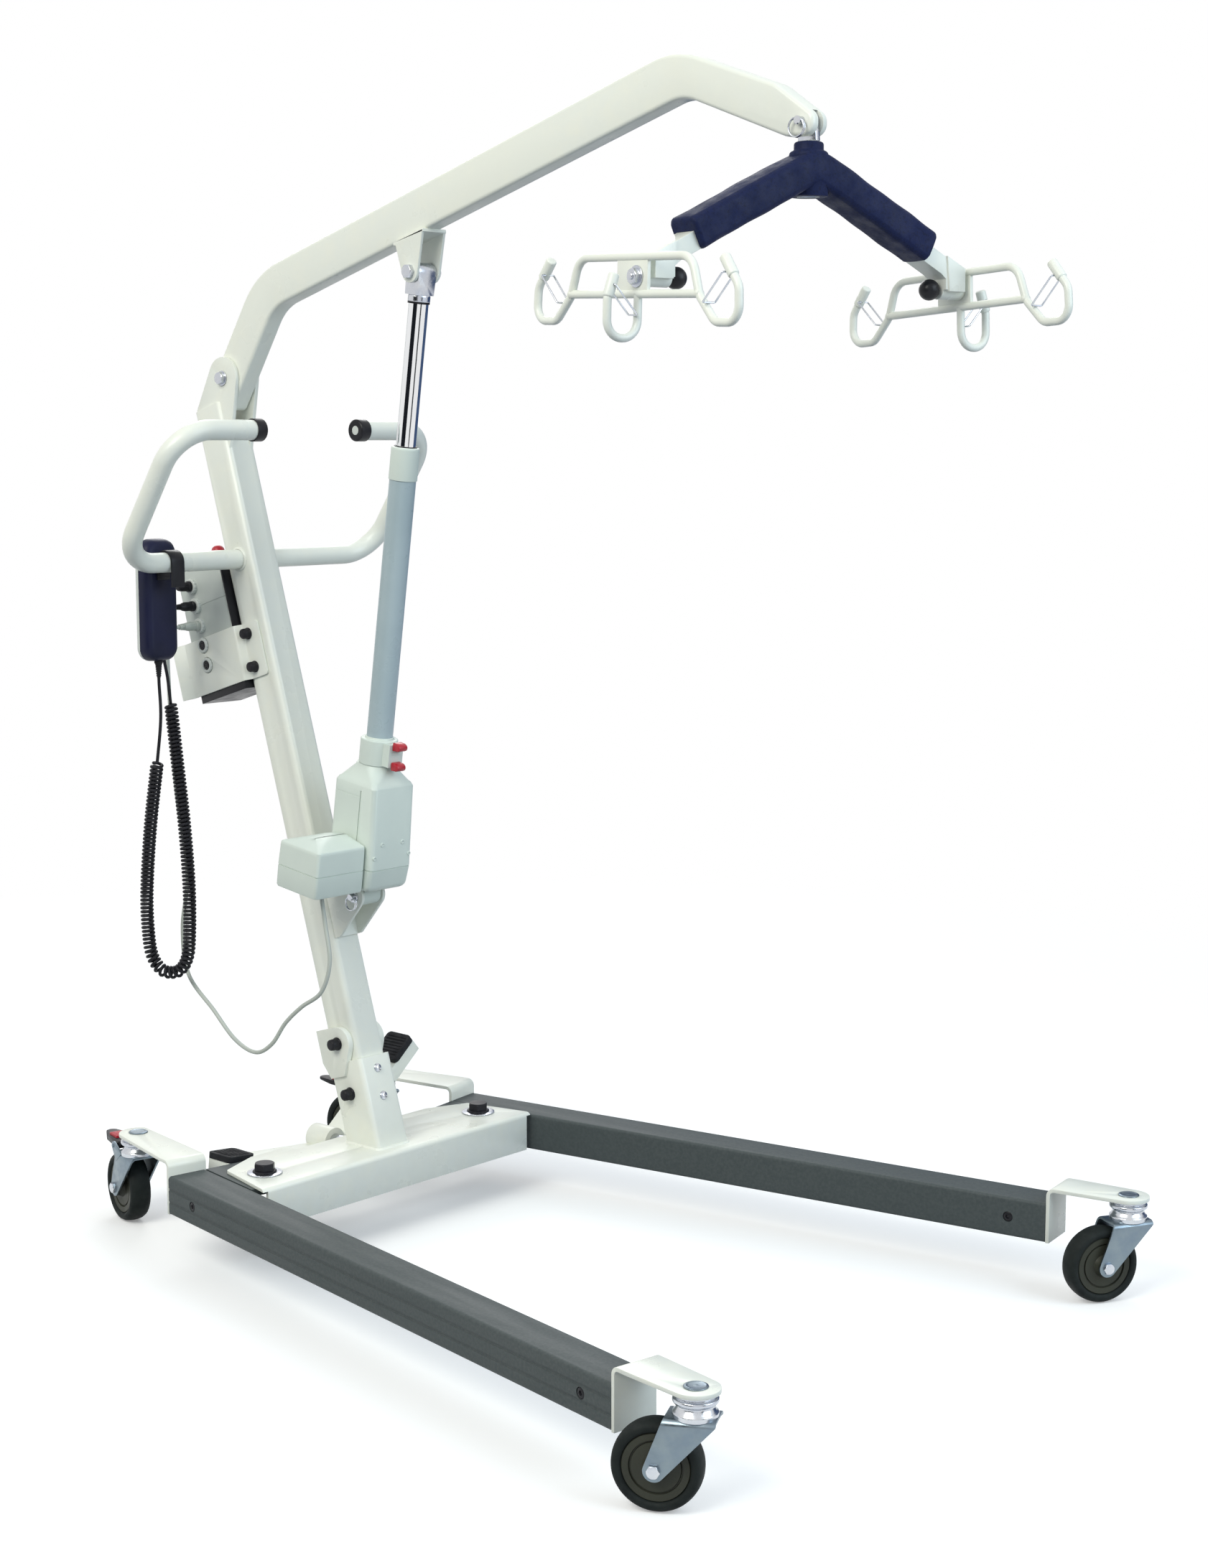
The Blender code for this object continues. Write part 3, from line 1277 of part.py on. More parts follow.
def make_release(at, body_axis):
    """A small lever of two flaps on the housing's front, hinged above them."""
    middle = (COLLAR_LOW + COLLAR_HIGH) / 2
    start = COLLAR_BOSS + GAP
    top = middle + RELEASE_HEIGHT / 2
    low = middle - RELEASE_HEIGHT / 2
    strip = block((start, start + 0.0035), (-0.004, 0.004), (low, top))
    flaps = []
    for base_height in (low, top - 0.012):
        wedge = [
            (start + 0.001, base_height),
            (start + 0.009, base_height + 0.002),
            (start + 0.009, base_height + 0.006),
            (start + 0.001, base_height + 0.012),
        ]
        flaps.append(prism(wedge, -RELEASE_WIDTH / 2, RELEASE_WIDTH / 2, "Y"))
    pin = at @ Matrix.Translation((start + 0.002, 0.0, top))
    release_axis = axis("release_axis", pin, body_axis)
    mesh = joined("release_lever", strip, add=flaps)
    node("release_lever", "red", mesh, at, release_axis)


def make_actuator_rod(at, body_axis):
    length = actuator_length()
    rod_axis = axis("rod_axis", at, body_axis)
    profile = [
        (0.0, ROD_FOOT),
        (ROD_RADIUS, ROD_FOOT),
        (ROD_RADIUS, ROD_NECK - 0.010),
        (ROD_RADIUS + 0.0015, ROD_NECK - 0.010),
        (ROD_RADIUS + 0.0015, ROD_NECK),
        (0.0, ROD_NECK),
    ]
    eye = circle(UPPER_EAR_RADIUS - 0.002, 12, (0.0, length))
    tongue_outline = hull(eye + [(-0.011, ROD_NECK - WELD), (0.011, ROD_NECK - WELD)])
    tongue = prism(tongue_outline, -TONGUE_HALF, TONGUE_HALF, "Y")
    mesh = joined("actuator_rod", turned(profile, 12), add=[tongue])
    node("actuator_rod", "steel", mesh, at, rod_axis)


# Control box, handset and emergency stop, in the mast's frame


def make_control(base):
    back = -MAST_FACE - GAP
    plate_back = back - BOX_BACK_PLATE
    rear = plate_back - BOX_DEPTH
    foot_top = BOX_LOW + BOX_FOOT
    upright = block((plate_back, back), (-BOX_HALF, BOX_HALF), (BOX_LOW, BOX_HIGH))
    foot = block((rear, back), (-BOX_HALF, BOX_HALF), (BOX_LOW, foot_top))
    mesh = joined("control_base", upright, add=[foot])
    node("control_base", "black", mesh, MAST_FRAME, base)

    box_top = BOX_HIGH
    body = soft_block((rear, plate_back - GAP), (-BOX_HALF, BOX_HALF), (foot_top + GAP, box_top), BOX_EDGE)
    rings = []
    for k in range(SOCKET_COUNT):
        place = (-SOCKET_BACK, SOCKET_TOP - k * SOCKET_PITCH)
        rings.append(rod(SOCKET_RADIUS, -BOX_HALF - SOCKET_RING, -BOX_HALF + WELD, place, sides=8))
    top_socket = (-SOCKET_BACK, SOCKET_TOP)
    blank = rod(PLUG_RADIUS, -BOX_HALF - SOCKET_RING - 0.022, -BOX_HALF - SOCKET_RING + WELD, top_socket, sides=6)
    stop = rod(STOP_RADIUS * 0.6 + GAP, BOX_HIGH - 0.012, BOX_HIGH + 0.1, (-STOP_BACK, 0.0), "Z")
    mesh = joined("control_box", body, add=rings + [blank], cut=[stop])
    node("control_box", "light_grey", mesh, MAST_FRAME, base)
    make_stop_button(base)
    make_holder(base)


def make_stop_button(base):
    at = MAST_FRAME @ Matrix.Translation((-STOP_BACK, 0.0, BOX_HIGH))
    stop_axis = axis("stop_axis", at, base)
    stem = STOP_RADIUS * 0.6
    profile = [
        (0.0, -0.006),
        (stem, -0.006),
        (stem, 0.006),
        (STOP_RADIUS, 0.007),
        (STOP_RADIUS, 0.012),
        (STOP_RADIUS * 0.8, STOP_HEIGHT - 0.003),
        (STOP_RADIUS * 0.4, STOP_HEIGHT),
        (0.0, STOP_HEIGHT),
    ]
    node("estop_button", "red", joined("estop_button", turned(profile, 10)), at, stop_axis)


def make_holder(base):
    """A folded bracket from the mast's side to the control box, open where its sockets stand through."""
    half = HOLDER_PLATE / 2
    on_mast = -MAST_HALF - GAP - half
    on_box = -BOX_HALF - GAP - half
    path = [
        (0.014, on_mast),
        (-0.0205, on_mast),
        (-0.0270, on_box),
        (-HOLDER_REACH, on_box),
        (-HOLDER_REACH - 0.016, on_box - 0.012),
    ]
    strip = prism(ribbon(path, 0.004, HOLDER_PLATE), HOLDER_LOW, HOLDER_HIGH)
    extra = []
    for height in HOLDER_BOLTS:
        span = (on_mast - half - HOLDER_BOLT_HEAD, on_mast - half + WELD)
        extra.append(rod(HOLDER_BOLT_RADIUS, *span, (HOLDER_BOLT_X, height), sides=10))
    holes = []
    for k in (3, 4):
        place = (-SOCKET_BACK, SOCKET_TOP - k * SOCKET_PITCH)
        holes.append(rod(SOCKET_RADIUS + RUNNING_GAP, on_box - 0.01, on_box + 0.01, place))
    mesh = joined("control_bracket", strip, add=extra, cut=holes)
    node("control_bracket", "white", mesh, MAST_FRAME, base)


def plug_axis(index):
    """Where a socket's axis is, up the mast and back from it."""
    return -SOCKET_BACK, SOCKET_TOP - index * SOCKET_PITCH


def make_plug(name, finish, index, cord_radius, base):
    """A moulded plug that narrows to the cord's sleeve."""
    x, z = plug_axis(index)
    start = BOX_HALF + SOCKET_RING + GAP
    profile = [
        (0.0, start),
        (PLUG_RADIUS, start),
        (PLUG_RADIUS, start + PLUG_LENGTH * 0.6),
        (cord_radius + 0.0018, start + PLUG_LENGTH * 0.75),
        (cord_radius + 0.0012, start + PLUG_LENGTH),
        (0.0, start + PLUG_LENGTH),
    ]
    lie = Matrix.Rotation(math.pi / 2, 4, "X")
    node(name, finish, joined(name, placed(turned(profile, 10), lie)), MAST_FRAME @ Matrix.Translation((x, 0.0, z)), base)


def handset_back():
    """Where the handset's back is, just behind the handle bar."""
    return mast_line(HANDLE_HEIGHT) - HANDLE_RADIUS - HOOK_STRIP - GAP


def make_handset(base):
    back = handset_back()
    front = back - HANDSET_DEPTH
    half = HANDSET_WIDTH / 2
    body = soft_block((front, back), (HANDSET_Y - half, HANDSET_Y + half), (HANDSET_LOW, HANDSET_HIGH), 0.008)
    bar = mast_line(HANDLE_HEIGHT)
    steps = 6
    radius = (HANDLE_RADIUS + GAP + HOOK_STRIP / 2) / math.cos(math.pi / steps / 2)
    arc = [
        (bar + radius * math.cos(a), HANDLE_HEIGHT + radius * math.sin(a))
        for a in np.linspace(math.pi, 0.0, steps + 1)
    ]
    path = [(bar - radius, HANDLE_HEIGHT - 0.02)] + arc + [(bar + radius, HANDLE_HEIGHT - HOOK_DROP)]
    left = offset_line(path, HOOK_STRIP / 2)
    right = offset_line(path, -HOOK_STRIP / 2)
    hook = prism(left + right[::-1], HANDSET_Y - HOOK_WIDTH / 2, HANDSET_Y + HOOK_WIDTH / 2, "Y")
    seat = block((back - WELD, back + 0.002), (HANDSET_Y - HOOK_WIDTH / 2, HANDSET_Y + HOOK_WIDTH / 2), (HANDLE_HEIGHT - 0.025, HANDLE_HEIGHT - 0.005))
    pocket = block(
        (front - 0.01, front + 0.004),
        (HANDSET_Y - KEY_WIDTH / 2 - RUNNING_GAP, HANDSET_Y + KEY_WIDTH / 2 + RUNNING_GAP),
        (KEY_Z - KEY_HEIGHT / 2 - RUNNING_GAP, KEY_Z + KEY_HEIGHT / 2 + RUNNING_GAP),
    )
    mesh = joined("handset", body, add=[hook, seat], cut=[pocket])
    node("handset", "navy", mesh, parent=base)

    key_at = frame(front + 0.0006, HANDSET_Y, KEY_Z)
    key_axis = axis("key_axis", key_at, base)
    rise = KEY_HEIGHT / 2
    outline = [
        (0.0025, 0.0),
        (0.0, rise - 0.001),
        (-KEY_PROUD, rise - 0.002),
        (-KEY_PROUD * 0.5, 0.0),
        (-KEY_PROUD, -rise + 0.002),
        (0.0, -rise + 0.001),
    ]
    key = prism(outline, -KEY_WIDTH / 2, KEY_WIDTH / 2, "Y")
    node("handset_key", "light_grey", joined("handset_key", key), key_at, key_axis)


# Spreader bar, in a frame on its upright axis with Y along its arms


def spreader_frame():
    return frame(HUB_X, 0.0, 0.0, turn=HUB_TURN)


def arm_line(crossing, offset, out):
    """The height, at a distance out from the hub, of a line along the arm, offset square to it."""
    return crossing + offset / math.cos(ARM_DROP) - out * math.tan(ARM_DROP)


def both_arms(half_outline):
    """The outline of both arms from one side's points, given from the top middle to the bottom middle."""
    other = [(-y, z) for y, z in half_outline[-2:0:-1]]
    return half_outline + other


def foam_outline():
    half = FOAM_HEIGHT / 2
    reach = ARM_FOAM_END * math.cos(ARM_DROP)
    lean = half * math.sin(ARM_DROP)
    return both_arms(
        [
            (0.0, arm_line(ARM_CROSSING, half, 0.0)),
            (reach + lean, arm_line(ARM_CROSSING, half, reach + lean)),
            (reach - lean, arm_line(ARM_CROSSING, -half, reach - lean)),
            (0.0, arm_line(ARM_CROSSING, -half, 0.0)),
        ]
    )


def stub_outline():
    """The steel inside the foam, out to the bracket that drops to the cradle's bolt."""
    half = STUB_HEIGHT / 2
    inner = barrel_start()
    return both_arms(
        [
            (0.0, arm_line(STUB_CROSSING, half, 0.0)),
            (ARM_BRACKET_END, arm_line(STUB_CROSSING, half, ARM_BRACKET_END)),
            (ARM_BRACKET_END, CRADLE_AXIS_Z),
            (inner, CRADLE_AXIS_Z),
            (inner, CRADLE_AXIS_Z + KNOB_RADIUS),
            (inner - 0.008, arm_line(STUB_CROSSING, -half, inner - 0.008)),
            (0.0, arm_line(STUB_CROSSING, -half, 0.0)),
        ]
    )


def barrel_start():
    return CRADLE_OUT - CRADLE_PLATE / 2 - GAP - BARREL_LENGTH


def make_swivel(boom_axis):
    """A lug in the nose's slot, with the shank and flange that the spreader turns on."""
    hang_axis = axis("hang_axis", frame(HUB_X, 0.0, HANG_PIN_Z), boom_axis)
    low = HUB_LOW - HANG_PIN_Z + WELD
    step = HUB_TOP - HANG_PIN_Z + GAP
    profile = [
        (0.0, low),
        (HANG_FLANGE, low),
        (HANG_FLANGE, low + 0.005),
        (HANG_SHANK, low + 0.005),
        (HANG_SHANK, step + WELD),
        (0.0, step + WELD),
    ]
    outline = hull(circle(HANG_EYE, 12) + [(-HANG_LUG_HALF, step), (HANG_LUG_HALF, step)])
    lug = prism(outline, -HANG_EYE_HALF, HANG_EYE_HALF, "Y")
    hole = rod(HANG_PIN_RADIUS + GAP, -1.0, 1.0, sides=12)
    mesh = joined("spreader_swivel", turned(profile, 10), add=[lug], cut=[hole])
    node("spreader_swivel", "steel", mesh, frame(HUB_X, 0.0, HANG_PIN_Z), hang_axis)
    return hang_axis


def make_spreader(hang_axis):
    at = spreader_frame()
    spin_axis = axis("spreader_axis", at, hang_axis)
    make_spreader_frame(at, spin_axis)
    make_spreader_pad(at, spin_axis)
    return spin_axis


def make_spreader_frame(at, spin_axis):
    arms = prism(stub_outline(), -STUB_WIDTH / 2, STUB_WIDTH / 2, "X")
    bore = HANG_SHANK + GAP
    flange = HANG_FLANGE + RUNNING_GAP
    extra = [rod(HUB_CORE, HUB_LOW, HUB_TOP, along="Z", sides=14)]
    top = [arm_line(STUB_CROSSING, STUB_HEIGHT / 2 + 0.001, y) for y in (ARM_BRACKET_START, ARM_BRACKET_END)]
    for s in SIDES.values():
        cheek = [
            (s * ARM_BRACKET_START, top[0]),
            (s * (ARM_BRACKET_END + WELD), top[1]),
            (s * (ARM_BRACKET_END + WELD), CRADLE_AXIS_Z - 0.002),
            (s * (ARM_BRACKET_START + 0.004), CRADLE_AXIS_Z - 0.002),
        ]
        extra.append(prism(cheek, -ARM_BRACKET_WIDTH / 2, ARM_BRACKET_WIDTH / 2, "X"))
        span = sorted([s * barrel_start(), s * (barrel_start() + BARREL_LENGTH)])
        extra.append(rod(BARREL_RADIUS, *span, (0.0, CRADLE_AXIS_Z)))
    cuts = [
        rod(bore, HUB_LOW - 0.1, HUB_TOP + 0.1, along="Z"),
        rod(flange, HUB_LOW - 0.1, HUB_LOW + 0.0058, along="Z"),
        rod(CRADLE_BOLT_RADIUS + GAP, -1.0, 1.0, (0.0, CRADLE_AXIS_Z)),
    ]
    mesh = joined("spreader_frame", arms, add=extra, cut=cuts)
    node("spreader_frame", "white", mesh, at, spin_axis)


def make_spreader_pad(at, spin_axis):
    """One foam sleeve over the hub and both arms, with the frame's room cut out of it."""
    arms = prism(foam_outline(), -FOAM_WIDTH / 2, FOAM_WIDTH / 2, "X")
    collar = [
        (0.0, HUB_LOW),
        (HUB_RADIUS, HUB_LOW),
        (HUB_RADIUS, HUB_STEP - 0.003),
        (HUB_COLLAR, HUB_STEP + 0.002),
        (HUB_COLLAR, HUB_TOP - 0.003),
        (HUB_COLLAR - 0.003, HUB_TOP),
        (0.0, HUB_TOP),
    ]
    half = STUB_HEIGHT / 2 + GAP / math.cos(ARM_DROP)
    reach = ARM_FOAM_END + FOAM_HEIGHT
    room = both_arms(
        [
            (0.0, arm_line(STUB_CROSSING, half, 0.0)),
            (reach, arm_line(STUB_CROSSING, half, reach)),
            (reach, arm_line(STUB_CROSSING, -half, reach)),
            (0.0, arm_line(STUB_CROSSING, -half, 0.0)),
        ]
    )
    width = STUB_WIDTH / 2 + GAP
    cuts = [prism(room, -width, width, "X"), rod(HUB_CORE + GAP, HUB_LOW - 0.1, HUB_TOP + 0.1, along="Z", sides=14)]
    shell = joined("foam_arms", arms, bevel=FOAM_EDGE)
    mesh = joined("spreader_pad", read_shape(shell), add=[turned(collar, 16)], cut=cuts)
    node("spreader_pad", "navy", mesh, at, spin_axis)


def cradle_frame(side):
    """On the cradle's bolt: X along the rails and Y the way the spreader's Y points."""
    tilt = CRADLE_TILTS[side]
    out = Matrix.Translation((0.0, side * CRADLE_OUT, CRADLE_AXIS_Z))
    return spreader_frame() @ out @ Matrix.Rotation(tilt, 4, "Y")


def side_hook(way):
    """Half of the frame's rod: from the top rail's middle down and round to the tip."""
    points = [(CRADLE_SHIFT + way * x, 0.0, z) for x, z, _ in SIDE_HOOK]
    return rounded(points, [radius for _, _, radius in SIDE_HOOK], turn=math.radians(47))


def middle_hook(side):
    points = [(0.0, side * y, z) for y, z, _ in MIDDLE_HOOK]
    return rounded(points, [radius for _, _, radius in MIDDLE_HOOK], turn=math.radians(47))


def sleeve_on(path):
    """A sleeve over a hook's last stretch."""
    end = Vector(path[-1])
    way = (end - Vector(path[-2])).normalized()
    return tube([end - way * SLEEVE_LENGTH, end + way * 0.002], SLEEVE, 6)


def make_cradle_mesh(side):
    right = side_hook(1)
    left = side_hook(-1)
    middle = middle_hook(side)
    rail = tube(left[::-1][:-1] + right[1:], ROD, 6)
    ends = [(CRADLE_SHIFT + way * RAIL_END, 0.0, RAIL_LOW) for way in (-1, 1)]
    plate_span = (CRADLE_SHIFT - CRADLE_PLATE_HALF, CRADLE_SHIFT + CRADLE_PLATE_HALF)
    plate = block(plate_span, (-CRADLE_PLATE / 2, CRADLE_PLATE / 2), (RAIL_LOW, RAIL_TOP))
    extra = [tube(ends, ROD, 6), plate, tube(middle, ROD, 6)]
    extra += [sleeve_on(path) for path in (right, left, middle)]
    cuts = [rod(CRADLE_BOLT_RADIUS + GAP, -0.02, 0.02, sides=10)]
    bore = LATCH_WIRE + GAP
    x, z = SIDE_LATCH[0]
    for way in (-1, 1):
        cuts.append(rod(bore, -0.02, 0.02, (CRADLE_SHIFT + way * x, z), sides=6))
    y, z = MIDDLE_LATCH[0]
    cuts.append(rod(bore, -0.02, 0.02, (side * y, z), along="X", sides=6))
    return joined("cradle", rail, add=extra, cut=cuts)


def make_cradle_bolt_mesh(side):
    """A ball knob inside, a shank through the barrel and the plate, and a nut outside."""
    plate = CRADLE_PLATE / 2 + GAP
    ball = plate + BARREL_LENGTH + GAP
    profile = [
        (0.0, -ball - 2 * KNOB_RADIUS + 0.002),
        (KNOB_RADIUS * 0.6, -ball - KNOB_RADIUS * 1.7),
        (KNOB_RADIUS * 0.95, -ball - KNOB_RADIUS * 1.2),
        (KNOB_RADIUS * 0.95, -ball - KNOB_RADIUS * 0.7),
        (KNOB_RADIUS * 0.5, -ball),
        (CRADLE_BOLT_RADIUS, -ball),
        (CRADLE_BOLT_RADIUS, plate),
        (NUT_RADIUS, plate),
        (NUT_RADIUS, plate + 0.007),
        (CRADLE_BOLT_RADIUS, plate + 0.010),
        (0.0, plate + 0.010),
    ]
    return joined("cradle_bolt", placed(turned(profile, 10), Matrix.Rotation(-side * math.pi / 2, 4, "X")))


def gate(reach):
    """A wire gate as one loop: a bar through the hook's sleeve, two legs and a bar at the end."""
    half = SLEEVE + GAP + LATCH_BEND
    along = Vector(reach)
    across = Vector((0.0, 1.0, 0.0)) if abs(along.y) < 1e-9 else Vector((1.0, 0.0, 0.0))
    corners = [-across * half, across * half, along + across * half, along - across * half]
    return tube(rounded(corners, LATCH_BEND, closed=True, turn=math.radians(100)), LATCH_WIRE, 4, closed=True)


def make_latch(name, at, pivot, end, cradle_axis):
    pin = at @ Matrix.Translation(pivot)
    latch_axis = axis("axis_" + name, pin, cradle_axis)
    mesh = joined("latch", gate(Vector(end) - Vector(pivot)))
    node(name, "steel", mesh, pin, latch_axis)


def make_cradles(spin_axis):
    for name, side in SIDES.items():
        at = cradle_frame(side)
        cradle_axis = axis("cradle_axis_" + name, at, spin_axis)
        node("cradle_" + name, "white", make_cradle_mesh(side), at, cradle_axis)
        node("cradle_bolt_" + name, "black", make_cradle_bolt_mesh(side), at, spin_axis)
        (x, z), (end_x, end_z) = SIDE_LATCH
        for place, way in (("fore", 1), ("aft", -1)):
            pivot = (CRADLE_SHIFT + way * x, 0.0, z)
            end = (CRADLE_SHIFT + way * end_x, 0.0, end_z)
            make_latch("latch_" + place + "_" + name, at, pivot, end, cradle_axis)
        (y, z), (end_y, end_z) = MIDDLE_LATCH
        make_latch("latch_middle_" + name, at, (0.0, side * y, z), (0.0, side * end_y, end_z), cradle_axis)


# Cords


def plug_end(index):
    """The middle of a plug's sleeve end, in the world."""
    x, z = plug_axis(index)
    out = BOX_HALF + SOCKET_RING + GAP + PLUG_LENGTH + GAP
    return MAST_FRAME @ Vector((x, -out, z))


def cord_curve(name, finish, points, radius, resolution, parent):
    """A round cord through the points, as a curve with filled ends."""
    curve = bpy.data.curves.new(name, "CURVE")
    curve.dimensions = "3D"
    curve.bevel_depth = radius
    curve.bevel_resolution = resolution
    curve.use_fill_caps = True
    line = curve.splines.new("POLY")
    line.points.add(len(points) - 1)
    for place, point in zip(line.points, points):
        place.co = (*point, 1.0)
    curve.materials.append(finished(name, finish))
    item = new_object(name, curve)
    carry(item, parent)
    return item


ACTUATOR_CABLE_ROUTE = [
    (-0.3185, -0.0980, 0.8300),
    (-0.3170, -0.1010, 0.8040),
    (-0.3140, -0.1000, 0.7080),
    (-0.3060, -0.0990, 0.6010),
    (-0.2870, -0.0980, 0.4900),
    (-0.3010, -0.0980, 0.4050),
    (-0.2900, -0.0980, 0.3380),
    (-0.2330, -0.0990, 0.2930),
    (-0.1860, -0.1000, 0.2580),
    (-0.1410, -0.1000, 0.2460),
    (-0.1050, -0.1000, 0.2640),
    (-0.0760, -0.0990, 0.2990),
    (-0.0450, -0.0960, 0.3260),
    (-0.0080, -0.0920, 0.3520),
    (0.0060, -0.0880, 0.3950),
    (-0.0050, -0.0850, 0.4450),
]

CORD_ROUTE = [
    (-0.2780, -0.1480, 0.7700),
    (-0.2760, -0.1480, 0.7200),
    (-0.2830, -0.1500, 0.6600),
    (-0.3020, -0.1510, 0.5600),
    (-0.3140, -0.1510, 0.4600),
    (-0.3130, -0.1490, 0.3900),
    (-0.2980, -0.1420, 0.3500),
    (-0.2760, -0.1310, 0.3480),
    (-0.2590, -0.1230, 0.3880),
    (-0.2550, -0.1210, 0.4700),
    (-0.2620, -0.1210, 0.5600),
    (-0.2760, -0.1210, 0.6600),
    (-0.2860, -0.1200, 0.7200),
    (-0.2960, -0.1180, 0.7700),
    (-0.3080, -0.1160, 0.8200),
]

CURL_START = 0.145
CURL_END = 0.175


def square_start(point, way, length):
    """The two points of a straight start, one cord diameter long, square to what it meets."""
    return [Vector(point), Vector(point) + Vector(way) * length]


def make_actuator_cable(base):
    first = plug_end(2)
    at = actuator_frame()
    last = at @ Vector((0.0, -MOTOR_INNER - MOTOR_LENGTH / 2, MOTOR_LOW - GAP))
    down = (at.to_3x3() @ Vector((0.0, 0.0, -1.0))).normalized()
    straight = 2 * CABLE_RADIUS
    start = square_start(first, (0.0, -1.0, 0.0), straight)
    end = square_start(last, down, straight)
    route = start + [Vector(point) for point in ACTUATOR_CABLE_ROUTE] + end[::-1]
    points = smooth_route(route, 2.95 * 2 * CABLE_RADIUS)
    points = [start[0], start[1]] + [p for p in points[1:-1] if clear_of(p, start, straight) and clear_of(p, end, straight)]
    cord_curve("actuator_cable", "cable_grey", points + end[::-1], CABLE_RADIUS, 2, base)


def clear_of(point, ends, distance):
    return (point - ends[1]).length > distance


def make_handset_cord(base):
    """One cord: a plain lead, the curls down and up again, and a plain lead."""
    first = Vector((handset_back() - HANDSET_DEPTH / 2, HANDSET_Y, HANDSET_LOW - GAP))
    last = plug_end(1)
    straight = 2 * CORD_RADIUS
    start = square_start(first, (0.0, 0.0, -1.0), straight)
    end = square_start(last, (0.0, -1.0, 0.0), straight)
    route = start + [Vector(point) for point in CORD_ROUTE] + end[::-1]
    fine = smooth_route(route, 0.002)
    along = np.concatenate([[0.0], np.cumsum([(q - p).length for p, q in zip(fine, fine[1:])])])
    rows = np.array([list(point) for point in fine])
    total = along[-1]
    plain_start = [s for s in np.arange(straight + 0.006, CURL_START, 0.013)]
    plain_end = [total - s for s in np.arange(straight + 0.006, CURL_END, 0.013)][::-1]
    curl_stations = np.linspace(CURL_START, total - CURL_END, CURLS * CURL_POINTS + 1)
    points = [start[0], start[1]] + [at_station(s, along, rows) for s in plain_start]
    points += curl_points(curl_stations, along, rows)
    points += [at_station(s, along, rows) for s in plain_end] + end[::-1]
    print("least gap of the handset cord to itself: %.2f mm" % (1000 * least_gap(points, CORD_RADIUS)))
    print("length of the handset cord: %.3f m" % sum((q - p).length for p, q in zip(points, points[1:])))
    cord_curve("handset_cord", "black", points, CORD_RADIUS, 1, base)


def at_station(s, along, rows):
    return Vector([float(np.interp(s, along, rows[:, k])) for k in range(3)])


def curl_points(stations, along, rows):
    """The curls wound round the route, growing from it and shrinking back to it over one curl."""
    side = Vector((1.0, 0.0, 0.0))
    points = []
    ramp = CURL_POINTS
    for k, s in enumerate(stations):
        here = at_station(s, along, rows)
        way = (at_station(s + 0.002, along, rows) - at_station(s - 0.002, along, rows)).normalized()
        side = (side - way * side.dot(way)).normalized()
        other = way.cross(side)
        grown = min(1.0, k / ramp, (len(stations) - 1 - k) / ramp)
        angle = math.tau * k / CURL_POINTS
        points.append(here + (side * math.cos(angle) + other * math.sin(angle)) * CURL_RADIUS * grown)
    return points


def least_gap(points, radius):
    """The smallest clear distance between stretches of the cord that aren't neighbours."""
    rows = np.array([list(point) for point in points])
    least = 1.0
    for k in range(len(rows)):
        far = np.linalg.norm(rows[k + CURL_POINTS // 2 + 1 :] - rows[k], axis=1)
        if far.size:
            least = min(least, float(far.min()))
    return least - 2 * radius


def build():
    clear_scene()
    base = axis("lift", Matrix())
    make_legs(base)
    make_crossbeam(base)
    make_pedal(base)
    make_socket(base)
    make_clamp_bolt(base)
    make_mast(base)
    make_hinge_bolt(base)
    make_handle(base)
    make_actuator_bracket(base)
    make_actuator(base)
    make_control(base)
    make_plug("handset_plug", "black", 1, CORD_RADIUS, base)
    make_plug("actuator_plug", "cable_grey", 2, CABLE_RADIUS, base)
    make_handset(base)
    boom_axis = axis("boom_axis", frame(HINGE[0], 0.0, HINGE[1]), base)
    make_boom(boom_axis)
    make_hang_pin(boom_axis)
    hang_axis = make_swivel(boom_axis)
    spin_axis = make_spreader(hang_axis)
    make_cradles(spin_axis)
    make_actuator_cable(base)
    make_handset_cord(base)


build()
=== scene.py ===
"""The patient lift dressed for rendering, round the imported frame.

Metres, X forward, Y to the lift's left, Z up, the origin on the floor between the leg pivots.
"""

from functools import partial
from math import atan, atan2, ceil, cos, dist, pi, radians, sin, sqrt, tan, tau

import bpy
import numpy as np
from mathutils import Matrix, Vector


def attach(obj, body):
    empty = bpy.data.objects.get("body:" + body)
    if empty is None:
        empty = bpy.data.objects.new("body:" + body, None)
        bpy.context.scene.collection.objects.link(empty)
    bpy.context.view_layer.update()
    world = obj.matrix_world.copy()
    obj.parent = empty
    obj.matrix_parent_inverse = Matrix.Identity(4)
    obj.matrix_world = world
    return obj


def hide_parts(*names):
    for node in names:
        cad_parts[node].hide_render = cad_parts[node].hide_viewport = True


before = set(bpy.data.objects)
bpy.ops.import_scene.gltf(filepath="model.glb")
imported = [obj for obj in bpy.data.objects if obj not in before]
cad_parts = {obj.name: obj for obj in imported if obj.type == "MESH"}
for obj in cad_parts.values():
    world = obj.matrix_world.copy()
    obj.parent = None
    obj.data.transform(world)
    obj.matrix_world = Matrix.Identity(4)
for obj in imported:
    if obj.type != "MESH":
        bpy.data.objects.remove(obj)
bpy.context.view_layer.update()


def new_object(name, data):
    item = bpy.data.objects.new(name, data)
    bpy.context.scene.collection.objects.link(item)
    return item


def aimed(data, place, way):
    """A camera or lamp at a place, looking in a direction."""
    item = new_object(data.name, data)
    item.location = place
    item.rotation_mode = "QUATERNION"
    item.rotation_quaternion = way.to_track_quat("-Z", "Y")
    return item


# Camera, from the photograph's vanishing points

CAMERA_AT = (2.5218, -2.3411, 1.1109)
CAMERA_YAW = radians(41.72)
CAMERA_PITCH = radians(7.92)

